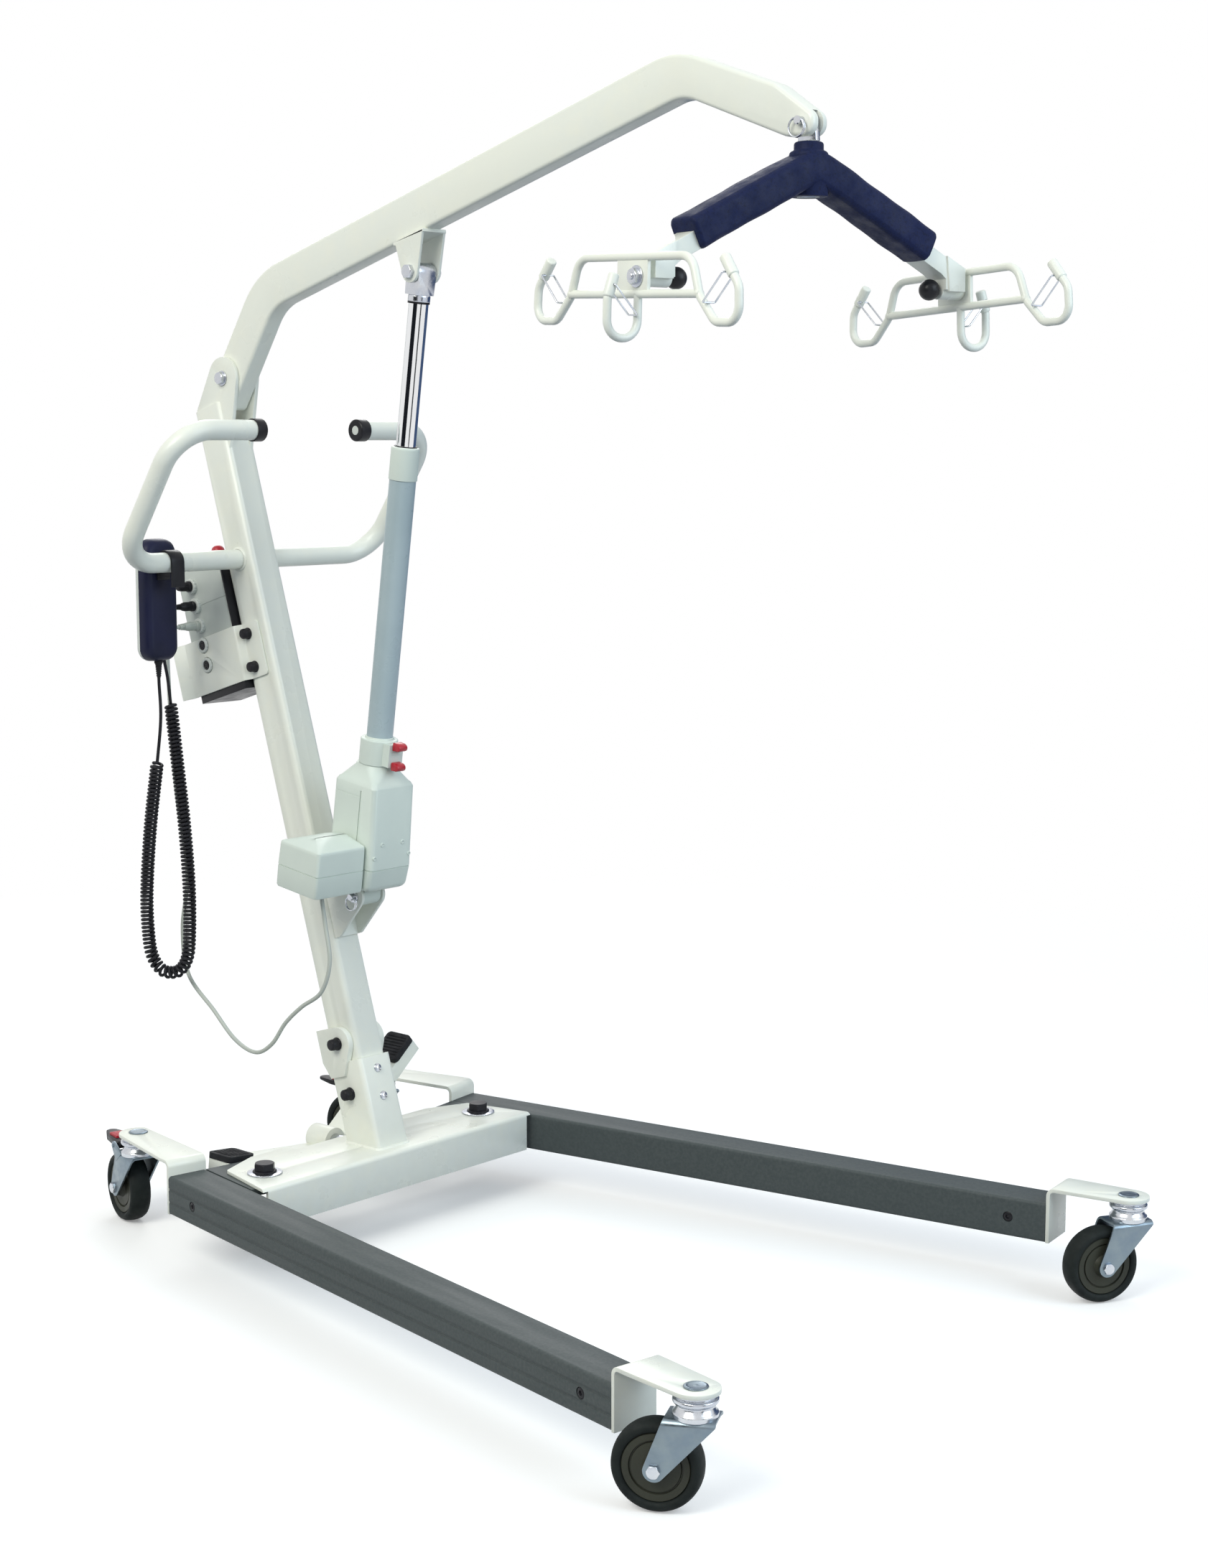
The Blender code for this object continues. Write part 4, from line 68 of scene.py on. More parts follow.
camera_data = bpy.data.cameras.new("camera")
camera_data.lens = 56.94
camera_data.sensor_width = 36.0
look = (-sin(CAMERA_YAW) * cos(CAMERA_PITCH), cos(CAMERA_YAW) * cos(CAMERA_PITCH), -sin(CAMERA_PITCH))
bpy.context.scene.camera = aimed(camera_data, CAMERA_AT, Vector(look))

SIDES = {"right": -1, "left": 1}

# Sizes shared with the part

GAP = 0.0003
LEG_PIVOT_Y = 0.2065
LEG_OPEN = radians(9.5)
LEG_LOW = 0.0628
LEG_TOP = 0.1165
LEG_INNER = 0.0447
LEG_OUTER = 0.1036
LEG_REAR = 0.08
LEG_FRONT = 0.878
BEAM_PLATE = 0.0043
BEAM_TOP = LEG_TOP + GAP + BEAM_PLATE
WHEEL_RADIUS = 0.05
WHEEL_WIDTH = 0.032
TRAIL = 0.04
FORK_PLATE = 0.003
FORK_INNER = 0.0195
FORK_OUTER = FORK_INNER + FORK_PLATE
CROWN = 2 * WHEEL_RADIUS + 0.0045 + FORK_PLATE
CROWN_RADIUS = 0.025
CASTER_PLATE = 0.005
CASTER_TOP = 0.1376
FRONT_SWIVEL = (0.9805, 0.0732)
REAR_SWIVEL = (-0.2354, 0.0652)
HEADINGS = {
    ("front", "right"): radians(207.5),
    ("front", "left"): radians(240.0),
    ("rear", "right"): radians(164.7),
    ("rear", "left"): radians(195.3),
}
BRAKE_PIVOT = (0.038, 0.1125)
BRAKE_LENGTH = 0.068
BRAKE_HALF = 0.0165
MAST_TILT = atan(0.303)
MAST_FOOT = 0.0025
MAST_HALF = 0.025
MAST_FACE = 0.029
MAST_WALL = 0.004
SHOE_WALL = 0.0045
CLAMP_HEIGHT = 0.148
HINGE = (-0.278, 1.197)
LOWER_PIVOT = (-0.015, 0.476)
UPPER_PIVOT = (0.11, 1.33)
EAR_INNER = 0.0175
EAR_OUTER = 0.022
HANDLE_RADIUS = 0.014
HANDLE_HEIGHT = 0.94
HANDLE_TOP = 1.123
HANDLE_TOP_X = -0.118
HANDLE_HALF = 0.233
GRIP_END = 0.0906
HUB_X = 0.75
HANG_PIN_Z = 1.4718
HUB_TOP = 1.4493
HUB_LOW = 1.387
ARM_DROP = radians(26.0)
CRADLE_OUT = 0.242
CRADLE_AXIS_Z = 1.2885
CRADLE_SHIFT = -0.009
BOX_LOW = 0.673
BOX_HIGH = 0.872
BOX_HALF = 0.036
SOCKET_BACK = 0.1
SOCKET_TOP = 0.842
SOCKET_PITCH = 0.0295
SOCKET_DEPTH = 0.006
STOP_X = -0.0703
HANDSET_Y = -0.148
HANDSET_LOW = 0.8
HANDSET_HIGH = 0.972
CORD_RADIUS = 0.0023
CABLE_RADIUS = 0.003
BORE_5, BORE_8, BORE_10, BORE_12 = 0.0028, 0.0043, 0.0053, 0.0063


def spot(x=0.0, y=0.0, z=0.0, turn=0.0, lean=0.0):
    return Matrix.Translation((x, y, z)) @ Matrix.Rotation(turn, 4, "Z") @ Matrix.Rotation(lean, 4, "Y")


def facing(side):
    """Lays a shape's own Z along Y, to the left for 1 and to the right for -1."""
    return Matrix.Rotation(-side * pi / 2, 4, "X")


MAST = spot(MAST_FOOT, 0.0, BEAM_TOP, lean=-MAST_TILT)
ALONG_X = Matrix.Rotation(pi / 2, 4, "Y")
ACTUATOR_LEAN = atan2(UPPER_PIVOT[0] - LOWER_PIVOT[0], UPPER_PIVOT[1] - LOWER_PIVOT[1])
ACTUATOR = spot(LOWER_PIVOT[0], 0.0, LOWER_PIVOT[1], lean=ACTUATOR_LEAN)
ACTUATOR_LENGTH = dist(LOWER_PIVOT, UPPER_PIVOT)
SPREADER = spot(HUB_X, turn=radians(-12.93))
CRADLE_TILTS = {"right": radians(2.4), "left": radians(-2.6)}


def leg_at(side):
    return spot(0.0, side * LEG_PIVOT_Y, 0.0, turn=side * LEG_OPEN)


def caster_at(place, name):
    side = SIDES[name]
    u, off = FRONT_SWIVEL if place == "front" else REAR_SWIVEL
    point = leg_at(side) @ Vector((u, side * off, 0.0))
    return spot(point.x, point.y, turn=HEADINGS[place, name])


def mast_line(z):
    return MAST_FOOT - (z - BEAM_TOP) * tan(MAST_TILT)


def in_mast(x, z):
    local = MAST.inverted() @ Vector((x, 0.0, z))
    return local.x, local.z


BAR_X = mast_line(HANDLE_HEIGHT)
HANDSET_BACK = BAR_X - HANDLE_RADIUS - 0.003 - GAP
MAST_GRIP = in_mast(BAR_X, HANDLE_HEIGHT)

# Materials


def add_node(tree, kind, inputs=None, **settings):
    """A new node, with its inputs set to values or linked to other nodes' sockets."""
    node = tree.nodes.new(kind)
    for key, value in settings.items():
        setattr(node, key, value)
    for key, value in (inputs or {}).items():
        if isinstance(value, bpy.types.NodeSocket):
            tree.links.new(value, node.inputs[key])
        else:
            node.inputs[key].default_value = value
    return node


class Paint:
    """One node material on a Principled surface, built step by step."""

    def __init__(self, name, colour, roughness, **values):
        self.material = bpy.data.materials.new(name)
        self.material.use_nodes = True
        self.tree = self.material.node_tree
        self.add = partial(add_node, self.tree)
        self.surface = self.tree.nodes["Principled BSDF"]
        self.place = self.add("ShaderNodeTexCoord").outputs["Object"]
        self.colour = (*colour, 1.0)
        self.normal = None
        self.set(base_color=self.colour, roughness=roughness, **values)

    def set(self, **values):
        """Surface inputs by name, such as sheen_weight."""
        for key, value in values.items():
            title = key.replace("_", " ").title().replace("Ior", "IOR")
            self.surface.inputs[title].default_value = value

    def wire(self, value, title):
        self.tree.links.new(value, self.surface.inputs[title])

    def noise(self, scale, detail=3.0, stretch=None):
        place = self.place
        if stretch:
            place = self.add("ShaderNodeMapping", {"Scale": stretch, "Vector": place}).outputs["Vector"]
        inputs = {"Scale": scale, "Detail": detail, "Vector": place}
        return self.add("ShaderNodeTexNoise", inputs).outputs["Fac"]

    def ramp(self, value, low, high, at=(0.35, 0.65)):
        limits = {"Value": value, "From Min": at[0], "From Max": at[1], "To Min": low, "To Max": high}
        return self.add("ShaderNodeMapRange", limits).outputs["Result"]

    def mix(self, other, share):
        inputs = {0: share, 6: self.colour, 7: (*other, 1.0)}
        self.colour = self.add("ShaderNodeMix", inputs, data_type="RGBA").outputs[2]
        self.wire(self.colour, "Base Color")

    def mottle(self, other, scale, detail=3.0, at=(0.35, 0.65)):
        """The base colour drifts towards another one in patches."""
        self.mix(other, self.ramp(self.noise(scale, detail), 0.0, 1.0, at))

    def polish(self, low, high, scale, stretch=None):
        """Roughness that varies in patches."""
        self.wire(self.ramp(self.noise(scale, 4.0, stretch), low, high), "Roughness")

    def bump(self, value, strength, distance):
        inputs = {"Strength": strength, "Distance": distance, "Height": value}
        if self.normal is not None:
            inputs["Normal"] = self.normal
        self.normal = self.add("ShaderNodeBump", inputs).outputs["Normal"]
        self.wire(self.normal, "Normal")

    def grain(self, scale, strength, distance=0.0002, detail=2.0, stretch=None):
        self.bump(self.noise(scale, detail, stretch), strength, distance)

    def wear(self, other, reach=0.55, scale=60.0):
        """Paler or darker edges, broken up by noise."""
        pointed = self.add("ShaderNodeNewGeometry").outputs["Pointiness"]
        edge = self.ramp(pointed, 0.0, reach, (0.52, 0.62))
        spots = self.ramp(self.noise(scale, 4.0), 0.0, 1.0, (0.42, 0.62))
        self.mix(other, self.add("ShaderNodeMath", {0: edge, 1: spots}, operation="MULTIPLY").outputs[0])


def cream(name, worn=True):
    paint = Paint(name, (0.835, 0.85, 0.765), 0.34)
    paint.mottle((0.82, 0.845, 0.78), 3.0)
    paint.mottle((0.85, 0.86, 0.765), 38.0, 5.0, at=(0.45, 0.75))
    if worn:
        paint.wear((0.76, 0.765, 0.69))
    paint.polish(0.27, 0.4, 22.0)
    paint.grain(900.0, 0.16 if worn else 0.05)
    paint.grain(160.0, 0.1 if worn else 0.03, 0.0003)
    return paint.material


def leg_coat(name):
    paint = Paint(name, (0.072, 0.086, 0.087), 0.5, specular_ior_level=0.22)
    paint.mottle((0.079, 0.092, 0.092), 4.0, 2.0)
    paint.mottle((0.062, 0.075, 0.077), 260.0)
    paint.polish(0.46, 0.56, 60.0, (0.1, 1.0, 1.0))
    paint.grain(700.0, 0.14)
    return paint.material


def zinc(name, tint=(0.6, 0.615, 0.64), rough=(0.16, 0.3)):
    paint = Paint(name, tint, 0.22, metallic=1.0)
    paint.mottle((tint[0] * 0.82, tint[1] * 0.85, tint[2] * 0.92), 55.0, 5.0)
    paint.polish(*rough, 120.0)
    paint.grain(600.0, 0.08, 0.0001)
    return paint.material


def chrome(name):
    paint = Paint(name, (0.8, 0.81, 0.82), 0.05, metallic=1.0)
    paint.polish(0.035, 0.1, 200.0, (1.0, 1.0, 0.05))
    paint.grain(900.0, 0.03, 0.0001, stretch=(1.0, 1.0, 0.02))
    return paint.material


def plastic(name, colour, other, rough=(0.32, 0.45), grain=0.12, scale=700.0, shine=0.5):
    paint = Paint(name, colour, 0.4, specular_ior_level=shine)
    paint.mottle(other, 16.0, 4.0)
    paint.polish(*rough, 40.0)
    paint.grain(scale, grain, detail=3.0)
    return paint.material


def rubber(name, colour, other, rough=(0.55, 0.75)):
    paint = Paint(name, colour, 0.65, specular_ior_level=0.18)
    paint.mottle(other, 45.0, 5.0)
    paint.wear(tuple(value * 1.6 + 0.006 for value in colour), 0.6, 90.0)
    paint.polish(*rough, 70.0)
    paint.grain(500.0, 0.3, 0.0003, 4.0)
    return paint.material


def foam_cover(name):
    """Skin of a foam sleeve: tight grain with a fine woven print and a soft sheen."""
    paint = Paint(name, (0.0062, 0.0115, 0.048), 0.66, specular_ior_level=0.16)
    paint.set(sheen_weight=0.02, sheen_roughness=0.4)
    paint.mottle((0.0085, 0.0145, 0.06), 24.0, 4.0)
    paint.mottle((0.004, 0.007, 0.028), 320.0, 4.0, at=(0.5, 0.75))
    paint.polish(0.52, 0.72, 60.0)
    weave = paint.add("ShaderNodeTexVoronoi", {"Scale": 850.0, "Vector": paint.place})
    paint.bump(weave.outputs["Distance"], 0.35, 0.0004)
    paint.grain(90.0, 0.25, 0.0008, 3.0)
    return paint.material


# Each finish is a material and the name of a slot

WHITE = cream("white_coat"), "white_coat"
SMOOTH_WHITE = cream("white_coat_smooth", worn=False), "white_coat"
DARK = leg_coat("leg_coat"), "leg_coat"
ZINC = zinc("zinc"), "zinc_steel"
# Zinc darkened as painted shade, for the fork plates and top discs that sit in shadow under the legs and
# caster plates
ZINC_PAINTED_SHADE = zinc("zinc_fork", (0.23, 0.28, 0.31), (0.28, 0.42)), "zinc_steel"
CHROME = chrome("chrome"), "zinc_steel"
TYRE = rubber("tyre", (0.008, 0.011, 0.011), (0.012, 0.016, 0.015)), "tyre"
HUB = plastic("wheel_hub", (0.034, 0.036, 0.026), (0.044, 0.046, 0.033), (0.38, 0.52), shine=0.25), None
BLACK = plastic(
    "black_plastic", (0.008, 0.008, 0.011), (0.013, 0.013, 0.017), (0.3, 0.45), shine=0.22,
), "black_plastic"
BLACK_RUBBER = rubber("black_rubber", (0.011, 0.012, 0.014), (0.018, 0.018, 0.021)), "black_plastic"
HOUSING = plastic(
    "actuator_plastic", (0.68, 0.75, 0.685), (0.65, 0.72, 0.66), (0.36, 0.46), 0.22, 1100.0,
), "grey_plastic"
BOXGREY = plastic(
    "box_plastic", (0.56, 0.6, 0.56), (0.52, 0.56, 0.53), (0.35, 0.48), 0.2, 900.0,
), "grey_plastic"
TUBEGREY = plastic(
    "tube_coat", (0.41, 0.5, 0.53), (0.375, 0.465, 0.495), (0.26, 0.36), 0.06, 600.0,
), "grey_tube"
RED = plastic("red_plastic", (0.48, 0.012, 0.028), (0.36, 0.008, 0.02), (0.28, 0.4)), "red_plastic"
NAVY = plastic(
    "handset_shell", (0.006, 0.008, 0.036), (0.004, 0.006, 0.024), (0.36, 0.5), 0.2, shine=0.22,
), "navy_plastic"
PALE = plastic("handset_front", (0.64, 0.67, 0.63), (0.6, 0.63, 0.6), (0.35, 0.45)), "navy_plastic"
FOAM = foam_cover("foam_cover"), "navy_fabric"
CABLE = plastic("cable_sheath", (0.5, 0.53, 0.48), (0.46, 0.49, 0.45), (0.4, 0.55), 0.1), "grey_cable"
CORD = rubber("cord_sheath", (0.009, 0.009, 0.012), (0.014, 0.014, 0.018), (0.38, 0.52)), "black_cord"

# Outlines, paths and closed shapes


def circle(radius, count, centre=(0.0, 0.0)):
    steps = [tau * k / count for k in range(count)]
    return [(centre[0] + radius * cos(a), centre[1] + radius * sin(a)) for a in steps]


def rounded(points, radii, closed=False, turn=radians(9)):
    """The corners of a line replaced by arcs of the radii."""
    points = [Vector(point) for point in points]
    count = len(points)
    if isinstance(radii, (int, float)):
        radii = [radii] * count
    result = []
    for k, corner in enumerate(points):
        if not closed and k in (0, count - 1):
            result.append(corner)
            continue
        back = (points[k - 1] - corner).normalized()
        ahead = (points[(k + 1) % count] - corner).normalized()
        between = back.angle(ahead)
        bend = pi - between
        if radii[k] <= 0 or bend < 1e-4:
            result.append(corner)
            continue
        reach = radii[k] / tan(between / 2)
        middle = corner + (back + ahead).normalized() * radii[k] / sin(between / 2)
        first = corner + back * reach - middle
        last = corner + ahead * reach - middle
        steps = max(1, ceil(bend / turn))
        for step in range(steps + 1):
            share = step / steps
            a = sin((1 - share) * bend) / sin(bend)
            b = sin(share * bend) / sin(bend)
            result.append(middle + first * a + last * b)
    return result


def rectangle(a_low, a_high, b_low, b_high, radius=0.0, turn=radians(11.25)):
    corners = [(a_low, b_low), (a_high, b_low), (a_high, b_high), (a_low, b_high)]
    return rounded(corners, radius, closed=True, turn=turn)


def turns_left(a, b, c):
    return (b[0] - a[0]) * (c[1] - a[1]) - (b[1] - a[1]) * (c[0] - a[0])


def hull(points):
    """The outline stretched round points."""
    points = sorted({(round(p[0], 7), round(p[1], 7)) for p in points})
    chains = []
    for row in (points, points[::-1]):
        chain = []
        for point in row:
            while len(chain) > 1 and turns_left(chain[-2], chain[-1], point) <= 0:
                chain.pop()
            chain.append(point)
        chains += chain[:-1]
    return chains


def offset_line(points, distance):
    points = [Vector(point) for point in points]
    ways = [(b - a).normalized() for a, b in zip(points, points[1:])]
    ways = [ways[0]] + ways + [ways[-1]]
    moved = []
    for point, before, after in zip(points, ways, ways[1:]):
        left = Vector((-before.y - after.y, before.x + after.x)).normalized()
        moved.append(point + left * distance / left.dot(Vector((-after.y, after.x))))
    return moved


def ribbon(points, radius, thickness):
    """The outline of a bent strip, its bends of one middle radius."""
    half = thickness / 2
    outline = []
    for side, row in ((half, 1), (-half, -1)):
        bends = [0.0]
        for k in range(1, len(points) - 1):
            left = turns_left(points[k - 1], points[k], points[k + 1]) > 0
            bends.append(radius - side if left else radius + side)
        outline += rounded(offset_line(points, side), bends + [0.0])[::row]
    return outline


def along_line(points):
    """A line's length, and a function that gives the point at a distance along it."""
    reach = np.concatenate([[0.0], np.cumsum([(q - p).length for p, q in zip(points, points[1:])])])
    rows = np.array([list(point) for point in points])
    return reach[-1], lambda s: Vector([float(np.interp(s, reach, rows[:, axis])) for axis in range(3)])


def smooth_route(points, spacing):
    """Points at an even spacing on a smooth curve through the route's points."""
    points = [Vector(point) for point in points]
    ends = [points[0] * 2 - points[1]] + points + [points[-1] * 2 - points[-2]]
    fine = []
    for a, b, c, d in zip(ends, ends[1:], ends[2:], ends[3:]):
        for k in range(24):
            t = k / 24
            square = (2 * a - 5 * b + 4 * c - d) * t**2
            cube = (3 * b - 3 * c + d - a) * t**3
            fine.append(0.5 * (2 * b + (c - a) * t + square + cube))
    length, place_at = along_line(fine + [points[-1]])
    return [place_at(s) for s in np.linspace(0.0, length, max(2, round(length / spacing) + 1))]


def outward(points, faces):
    """The shape with its faces turned to point out of it."""
    volume = 0.0
    for face in faces:
        first = Vector(points[face[0]])
        for b, c in zip(face[1:-1], face[2:]):
            volume += first.dot(Vector(points[b]).cross(Vector(points[c])))
    if volume < 0:
        faces = [tuple(reversed(face)) for face in faces]
    return [tuple(point) for point in points], faces


def loft(rings, closed=False):
    """Rings of equally many points joined in order."""
    count = len(rings[0])
    points = [tuple(point) for ring in rings for point in ring]
    faces = []
    for k in range(len(rings) if closed else len(rings) - 1):
        low = k * count
        high = (k + 1) % len(rings) * count
        for j in range(count):
            n = (j + 1) % count
            faces.append((low + j, low + n, high + n, high + j))
    if not closed:
        faces.append(tuple(range(count))[::-1])
        faces.append(tuple(range((len(rings) - 1) * count, len(rings) * count)))
    return outward(points, faces)


def prism(outline, low, high, along="Z"):
    """An outline drawn out along an axis between two heights, in either order."""
    places = {
        "X": lambda a, b, h: (h, a, b),
        "Y": lambda a, b, h: (a, h, b),
        "Z": lambda a, b, h: (a, b, h),
    }
    return loft([[places[along](a, b, h) for a, b in outline] for h in (low, high)])


def pair(outline, inner, outer, along="Y"):
    """The same plate on both sides of the middle."""
    return [prism(outline, s * inner, s * outer, along) for s in SIDES.values()]


def block(x, y, z):
    return prism([(x[0], y[0]), (x[1], y[0]), (x[1], y[1]), (x[0], y[1])], z[0], z[1])


def softened(profile, radius, steps=3):
    """A profile's corners rounded a little, apart from those on the axis."""
    points = [Vector(p) for p in profile]
    result = [points[0]]
    for before, corner, after in zip(points, points[1:], points[2:]):
        back, ahead = before - corner, after - corner
        reach = min(radius, back.length * 0.45, ahead.length * 0.45)
        if reach < 1e-5 or corner.x < 1e-9:
            result.append(corner)
            continue
        a, b = corner + back.normalized() * reach, corner + ahead.normalized() * reach
        for k in range(steps + 1):
            t = k / steps
            result.append(a * (1 - t) ** 2 + corner * 2 * t * (1 - t) + b * t**2)
    return [tuple(p) for p in result + [points[-1]]]


def turned(profile, sides=48, closed=False, soft=0.0):
    """A profile of radii and heights turned round Z, an open one led flat to the axis at both ends."""
    if not closed:
        first, last = ([(0.0, end[1])] if end[0] else [] for end in (profile[0], profile[-1]))
        profile = first + list(profile) + last
    if soft:
        profile = softened(profile, soft)
    points = []
    rows = []
    for radius, height in profile:
        if radius < 1e-9:
            rows.append([len(points)])
            points.append((0.0, 0.0, height))
            continue
        rows.append(list(range(len(points), len(points) + sides)))
        points += [(a, b, height) for a, b in circle(radius, sides)]
    pairs = list(zip(rows, rows[1:]))
    if closed:
        pairs.append((rows[-1], rows[0]))
    faces = []
    for low, high in pairs:
        for j in range(sides):
            n = (j + 1) % sides
            corners = [low[j % len(low)], low[n % len(low)], high[n % len(high)], high[j % len(high)]]
            faces.append(tuple(dict.fromkeys(corners)))
    return outward(points, faces)


def rod(radius, low, high, centre=(0.0, 0.0), along="Y", sides=40):
    return prism(circle(radius, sides, centre), low, high, along)


def pegs(radius, low, high, reach, count, sides=8):
    """Upright rods in a ring."""
    return [rod(radius, low, high, centre, "Z", sides) for centre in circle(reach, count)]


def tube(path, radius, sides=24, closed=False, tips=0):
    """A round bar along a path, with its ends drawn in over a few rings if asked."""
    path = [Vector(point) for point in path]
    radii = [radius] * len(path)
    drawn = 0.35
    for _ in range(2 if tips else 0):
        path, radii = path[::-1], radii[::-1]
        tip = path[-1]
        way = (tip - path[-2]).normalized()
        angles = [pi / 2 * (1 - k / tips) for k in range(tips, 0, -1)]
        path = path[:-1] + [tip + way * radius * (sin(a) - 1) * drawn for a in angles] + [tip]
        radii = radii[:-1] + [radius * (1 - drawn + drawn * cos(a)) for a in angles] + [radius * (1 - drawn)]
    count = len(path)
    side = None
    rings = []
    for k, point in enumerate(path):
        before = path[k - 1] if k or closed else point
        after = path[(k + 1) % count] if k < count - 1 or closed else point
        way = ((point - before).normalized() + (after - point).normalized()).normalized()
        side = way.orthogonal() if side is None else side
        side = (side - way * side.dot(way)).normalized()
        other = way.cross(side)
        rings.append([point + side * a + other * b for a, b in circle(radii[k], sides)])
    return loft(rings, closed)


def placed(shape, matrix):
    points, faces = shape
    return outward([matrix @ Vector(point) for point in points], faces)


def crowned(x, y, corner, crown, steps):
    """A rounded rectangle, anticlockwise, whose sides swell outwards by the crown."""
    outline = rectangle(*x, *y, corner)
    arc = len(outline) // 4
    dense = []
    for k, (a, b) in enumerate(zip(outline, outline[1:] + outline[:1])):
        count = steps if k % arc == arc - 1 else 1
        dense += [a + (b - a) * j / count for j in range(count)]
    cx, cy = sum(x) / 2, sum(y) / 2
    hx, hy = (x[1] - x[0]) / 2, (y[1] - y[0]) / 2
    swollen = []
    for p in dense:
        u, v = (p.x - cx) / hx, (p.y - cy) / hy
        grow_x = crown * (1 - v * v) * (u if abs(u) > 0.98 else 0.0)
        grow_y = crown * (1 - u * u) * (v if abs(v) > 0.98 else 0.0)
        swollen.append((p.x + grow_x, p.y + grow_y))
    return swollen


# Pieces


def mesh_object(name, shape):
    mesh = bpy.data.meshes.new(name)
    mesh.from_pydata([tuple(p) for p in shape[0]], [], shape[1])
    return new_object(name, mesh)


def settle(item):
    """Applies the modifiers and removes the helpers they used."""
    bpy.context.view_layer.update()
    graph = bpy.context.evaluated_depsgraph_get()
    mesh = bpy.data.meshes.new_from_object(item.evaluated_get(graph))
    helpers = [m.object for m in item.modifiers if m.type == "BOOLEAN"]
    item.modifiers.clear()
    item.data = mesh
    for helper in helpers:
        bpy.data.objects.remove(helper, do_unlink=True)
    return item


def combine(name, base, add=(), keep=(), cut=()):
    item = mesh_object(name, base)
    for shapes, operation in ((keep, "INTERSECT"), (add, "UNION"), (cut, "DIFFERENCE")):
        for shape in shapes:
            helper = mesh_object(name + "_tool", shape)
            modifier = item.modifiers.new(operation, "BOOLEAN")
            modifier.operation = operation
            modifier.object = helper
    return settle(item) if item.modifiers else item


def edges(item, width, segments=2):
    bevel = item.modifiers.new("edges", "BEVEL")
    bevel.width = width
    bevel.segments = segments
    bevel.limit_method = "ANGLE"
    bevel.angle_limit = radians(30)
    bevel.use_clamp_overlap = True
    bevel.harden_normals = False
    return settle(item)


def read_shape(item):
    """Turns an object back into a shape, for work that goes on after its edges are rounded."""
    shape = ([tuple(v.co) for v in item.data.vertices], [tuple(p.vertices) for p in item.data.polygons])
    bpy.data.objects.remove(item, do_unlink=True)
    return shape


def make(name, shape, finish, nodes="", lie=Matrix(), at=Matrix(), body="base",
         slot=None, smooth=35, bevel=0.0, **tools):
    """A finished piece on a body, lying in the frame at, with the nodes that it stands for."""
    item = combine(name, shape, **tools)
    if bevel:
        edges(item, bevel)
    item.matrix_world = at @ lie
    item.data.materials.clear()
    item.data.materials.append(finish[0])
    item.data.shade_smooth()
    item.data.set_sharp_from_angle(angle=radians(smooth))
    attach(item, body)
    if nodes:
        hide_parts(*nodes.split())
    return item


on_mast = partial(make, at=MAST)
on_boom = partial(make, body="boom")
on_actuator = partial(make, body="actuator", at=ACTUATOR)


def make_head(name, size, lie, chamfer=0.0012, bevel=0.0004, finish=ZINC, maker=make):
    """A hexagon head standing out along its own Z, its corners turned down at the top by a cone."""
    radius, height = size
    shape = prism(circle(radius / cos(pi / 6), 6), 0.0, height)
    cone = [(radius * 1.35, -0.001), (radius * 1.16, height - chamfer), (radius * 0.98, height)]
    maker(name, shape, finish, lie=lie, bevel=bevel, keep=[turned(cone, 32)])


# Legs and their caster plates


def make_leg(name, side):
    inner, outer, deep = side * LEG_INNER, side * LEG_OUTER, side * (LEG_OUTER - 0.0012)
    grooves = []
    for k in (1, 2):
        z = LEG_LOW + k * (LEG_TOP - LEG_LOW) / 3
        grooves += [(outer, z - 0.002), (deep, z - 0.0014), (deep, z + 0.0014), (outer, z + 0.002)]
    corners = [(inner, LEG_LOW), (outer, LEG_LOW)] + grooves + [(outer, LEG_TOP), (inner, LEG_TOP)]
    radii = [0.005] * 2 + [0.0004] * len(grooves) + [0.005] * 2
    section = rounded(corners, radii, closed=True, turn=radians(12))
    tab = block((-LEG_REAR, 0.042), (-side * 0.03, side * (LEG_INNER + 0.0005)), (LEG_TOP - 0.01, LEG_TOP))
    walls = (side * (LEG_INNER + 0.004), side * (LEG_OUTER - 0.004))
    cuts = [block((-1.0, 2.0), walls, (LEG_LOW + 0.004, LEG_TOP - 0.004)), rod(BORE_12, 0.0, 0.2, along="Z")]
    middle = (LEG_LOW + LEG_TOP) / 2
    rear, front = -LEG_REAR + 0.0636, LEG_FRONT - 0.053
    places = []
    for u, face, way in ((rear, LEG_OUTER, side), (front, LEG_OUTER, side), (front, LEG_INNER, -side)):
        cuts.append(rod(0.007, side * face - way * 0.0045, side * face + way * 0.004, (u, middle)))
        places.append(spot(u, side * face - way * 0.0046, middle) @ facing(way))
    on_leg = partial(make, body="leg_" + name, at=leg_at(side))
    tube_shape = prism(section, -LEG_REAR, LEG_FRONT, "X")
    on_leg("leg_%s_tube" % name, tube_shape, DARK, "leg_" + name, add=[tab], cut=cuts)
    plug = [(0.0068, 0.0), (0.0068, 0.0034), (0.0058, 0.0042), (0.003, 0.0044), (0.0022, 0.0026)]
    for k, lie in enumerate(places):
        on_leg("leg_%s_plug_%d" % (name, k), turned(plug), BLACK, lie=lie)


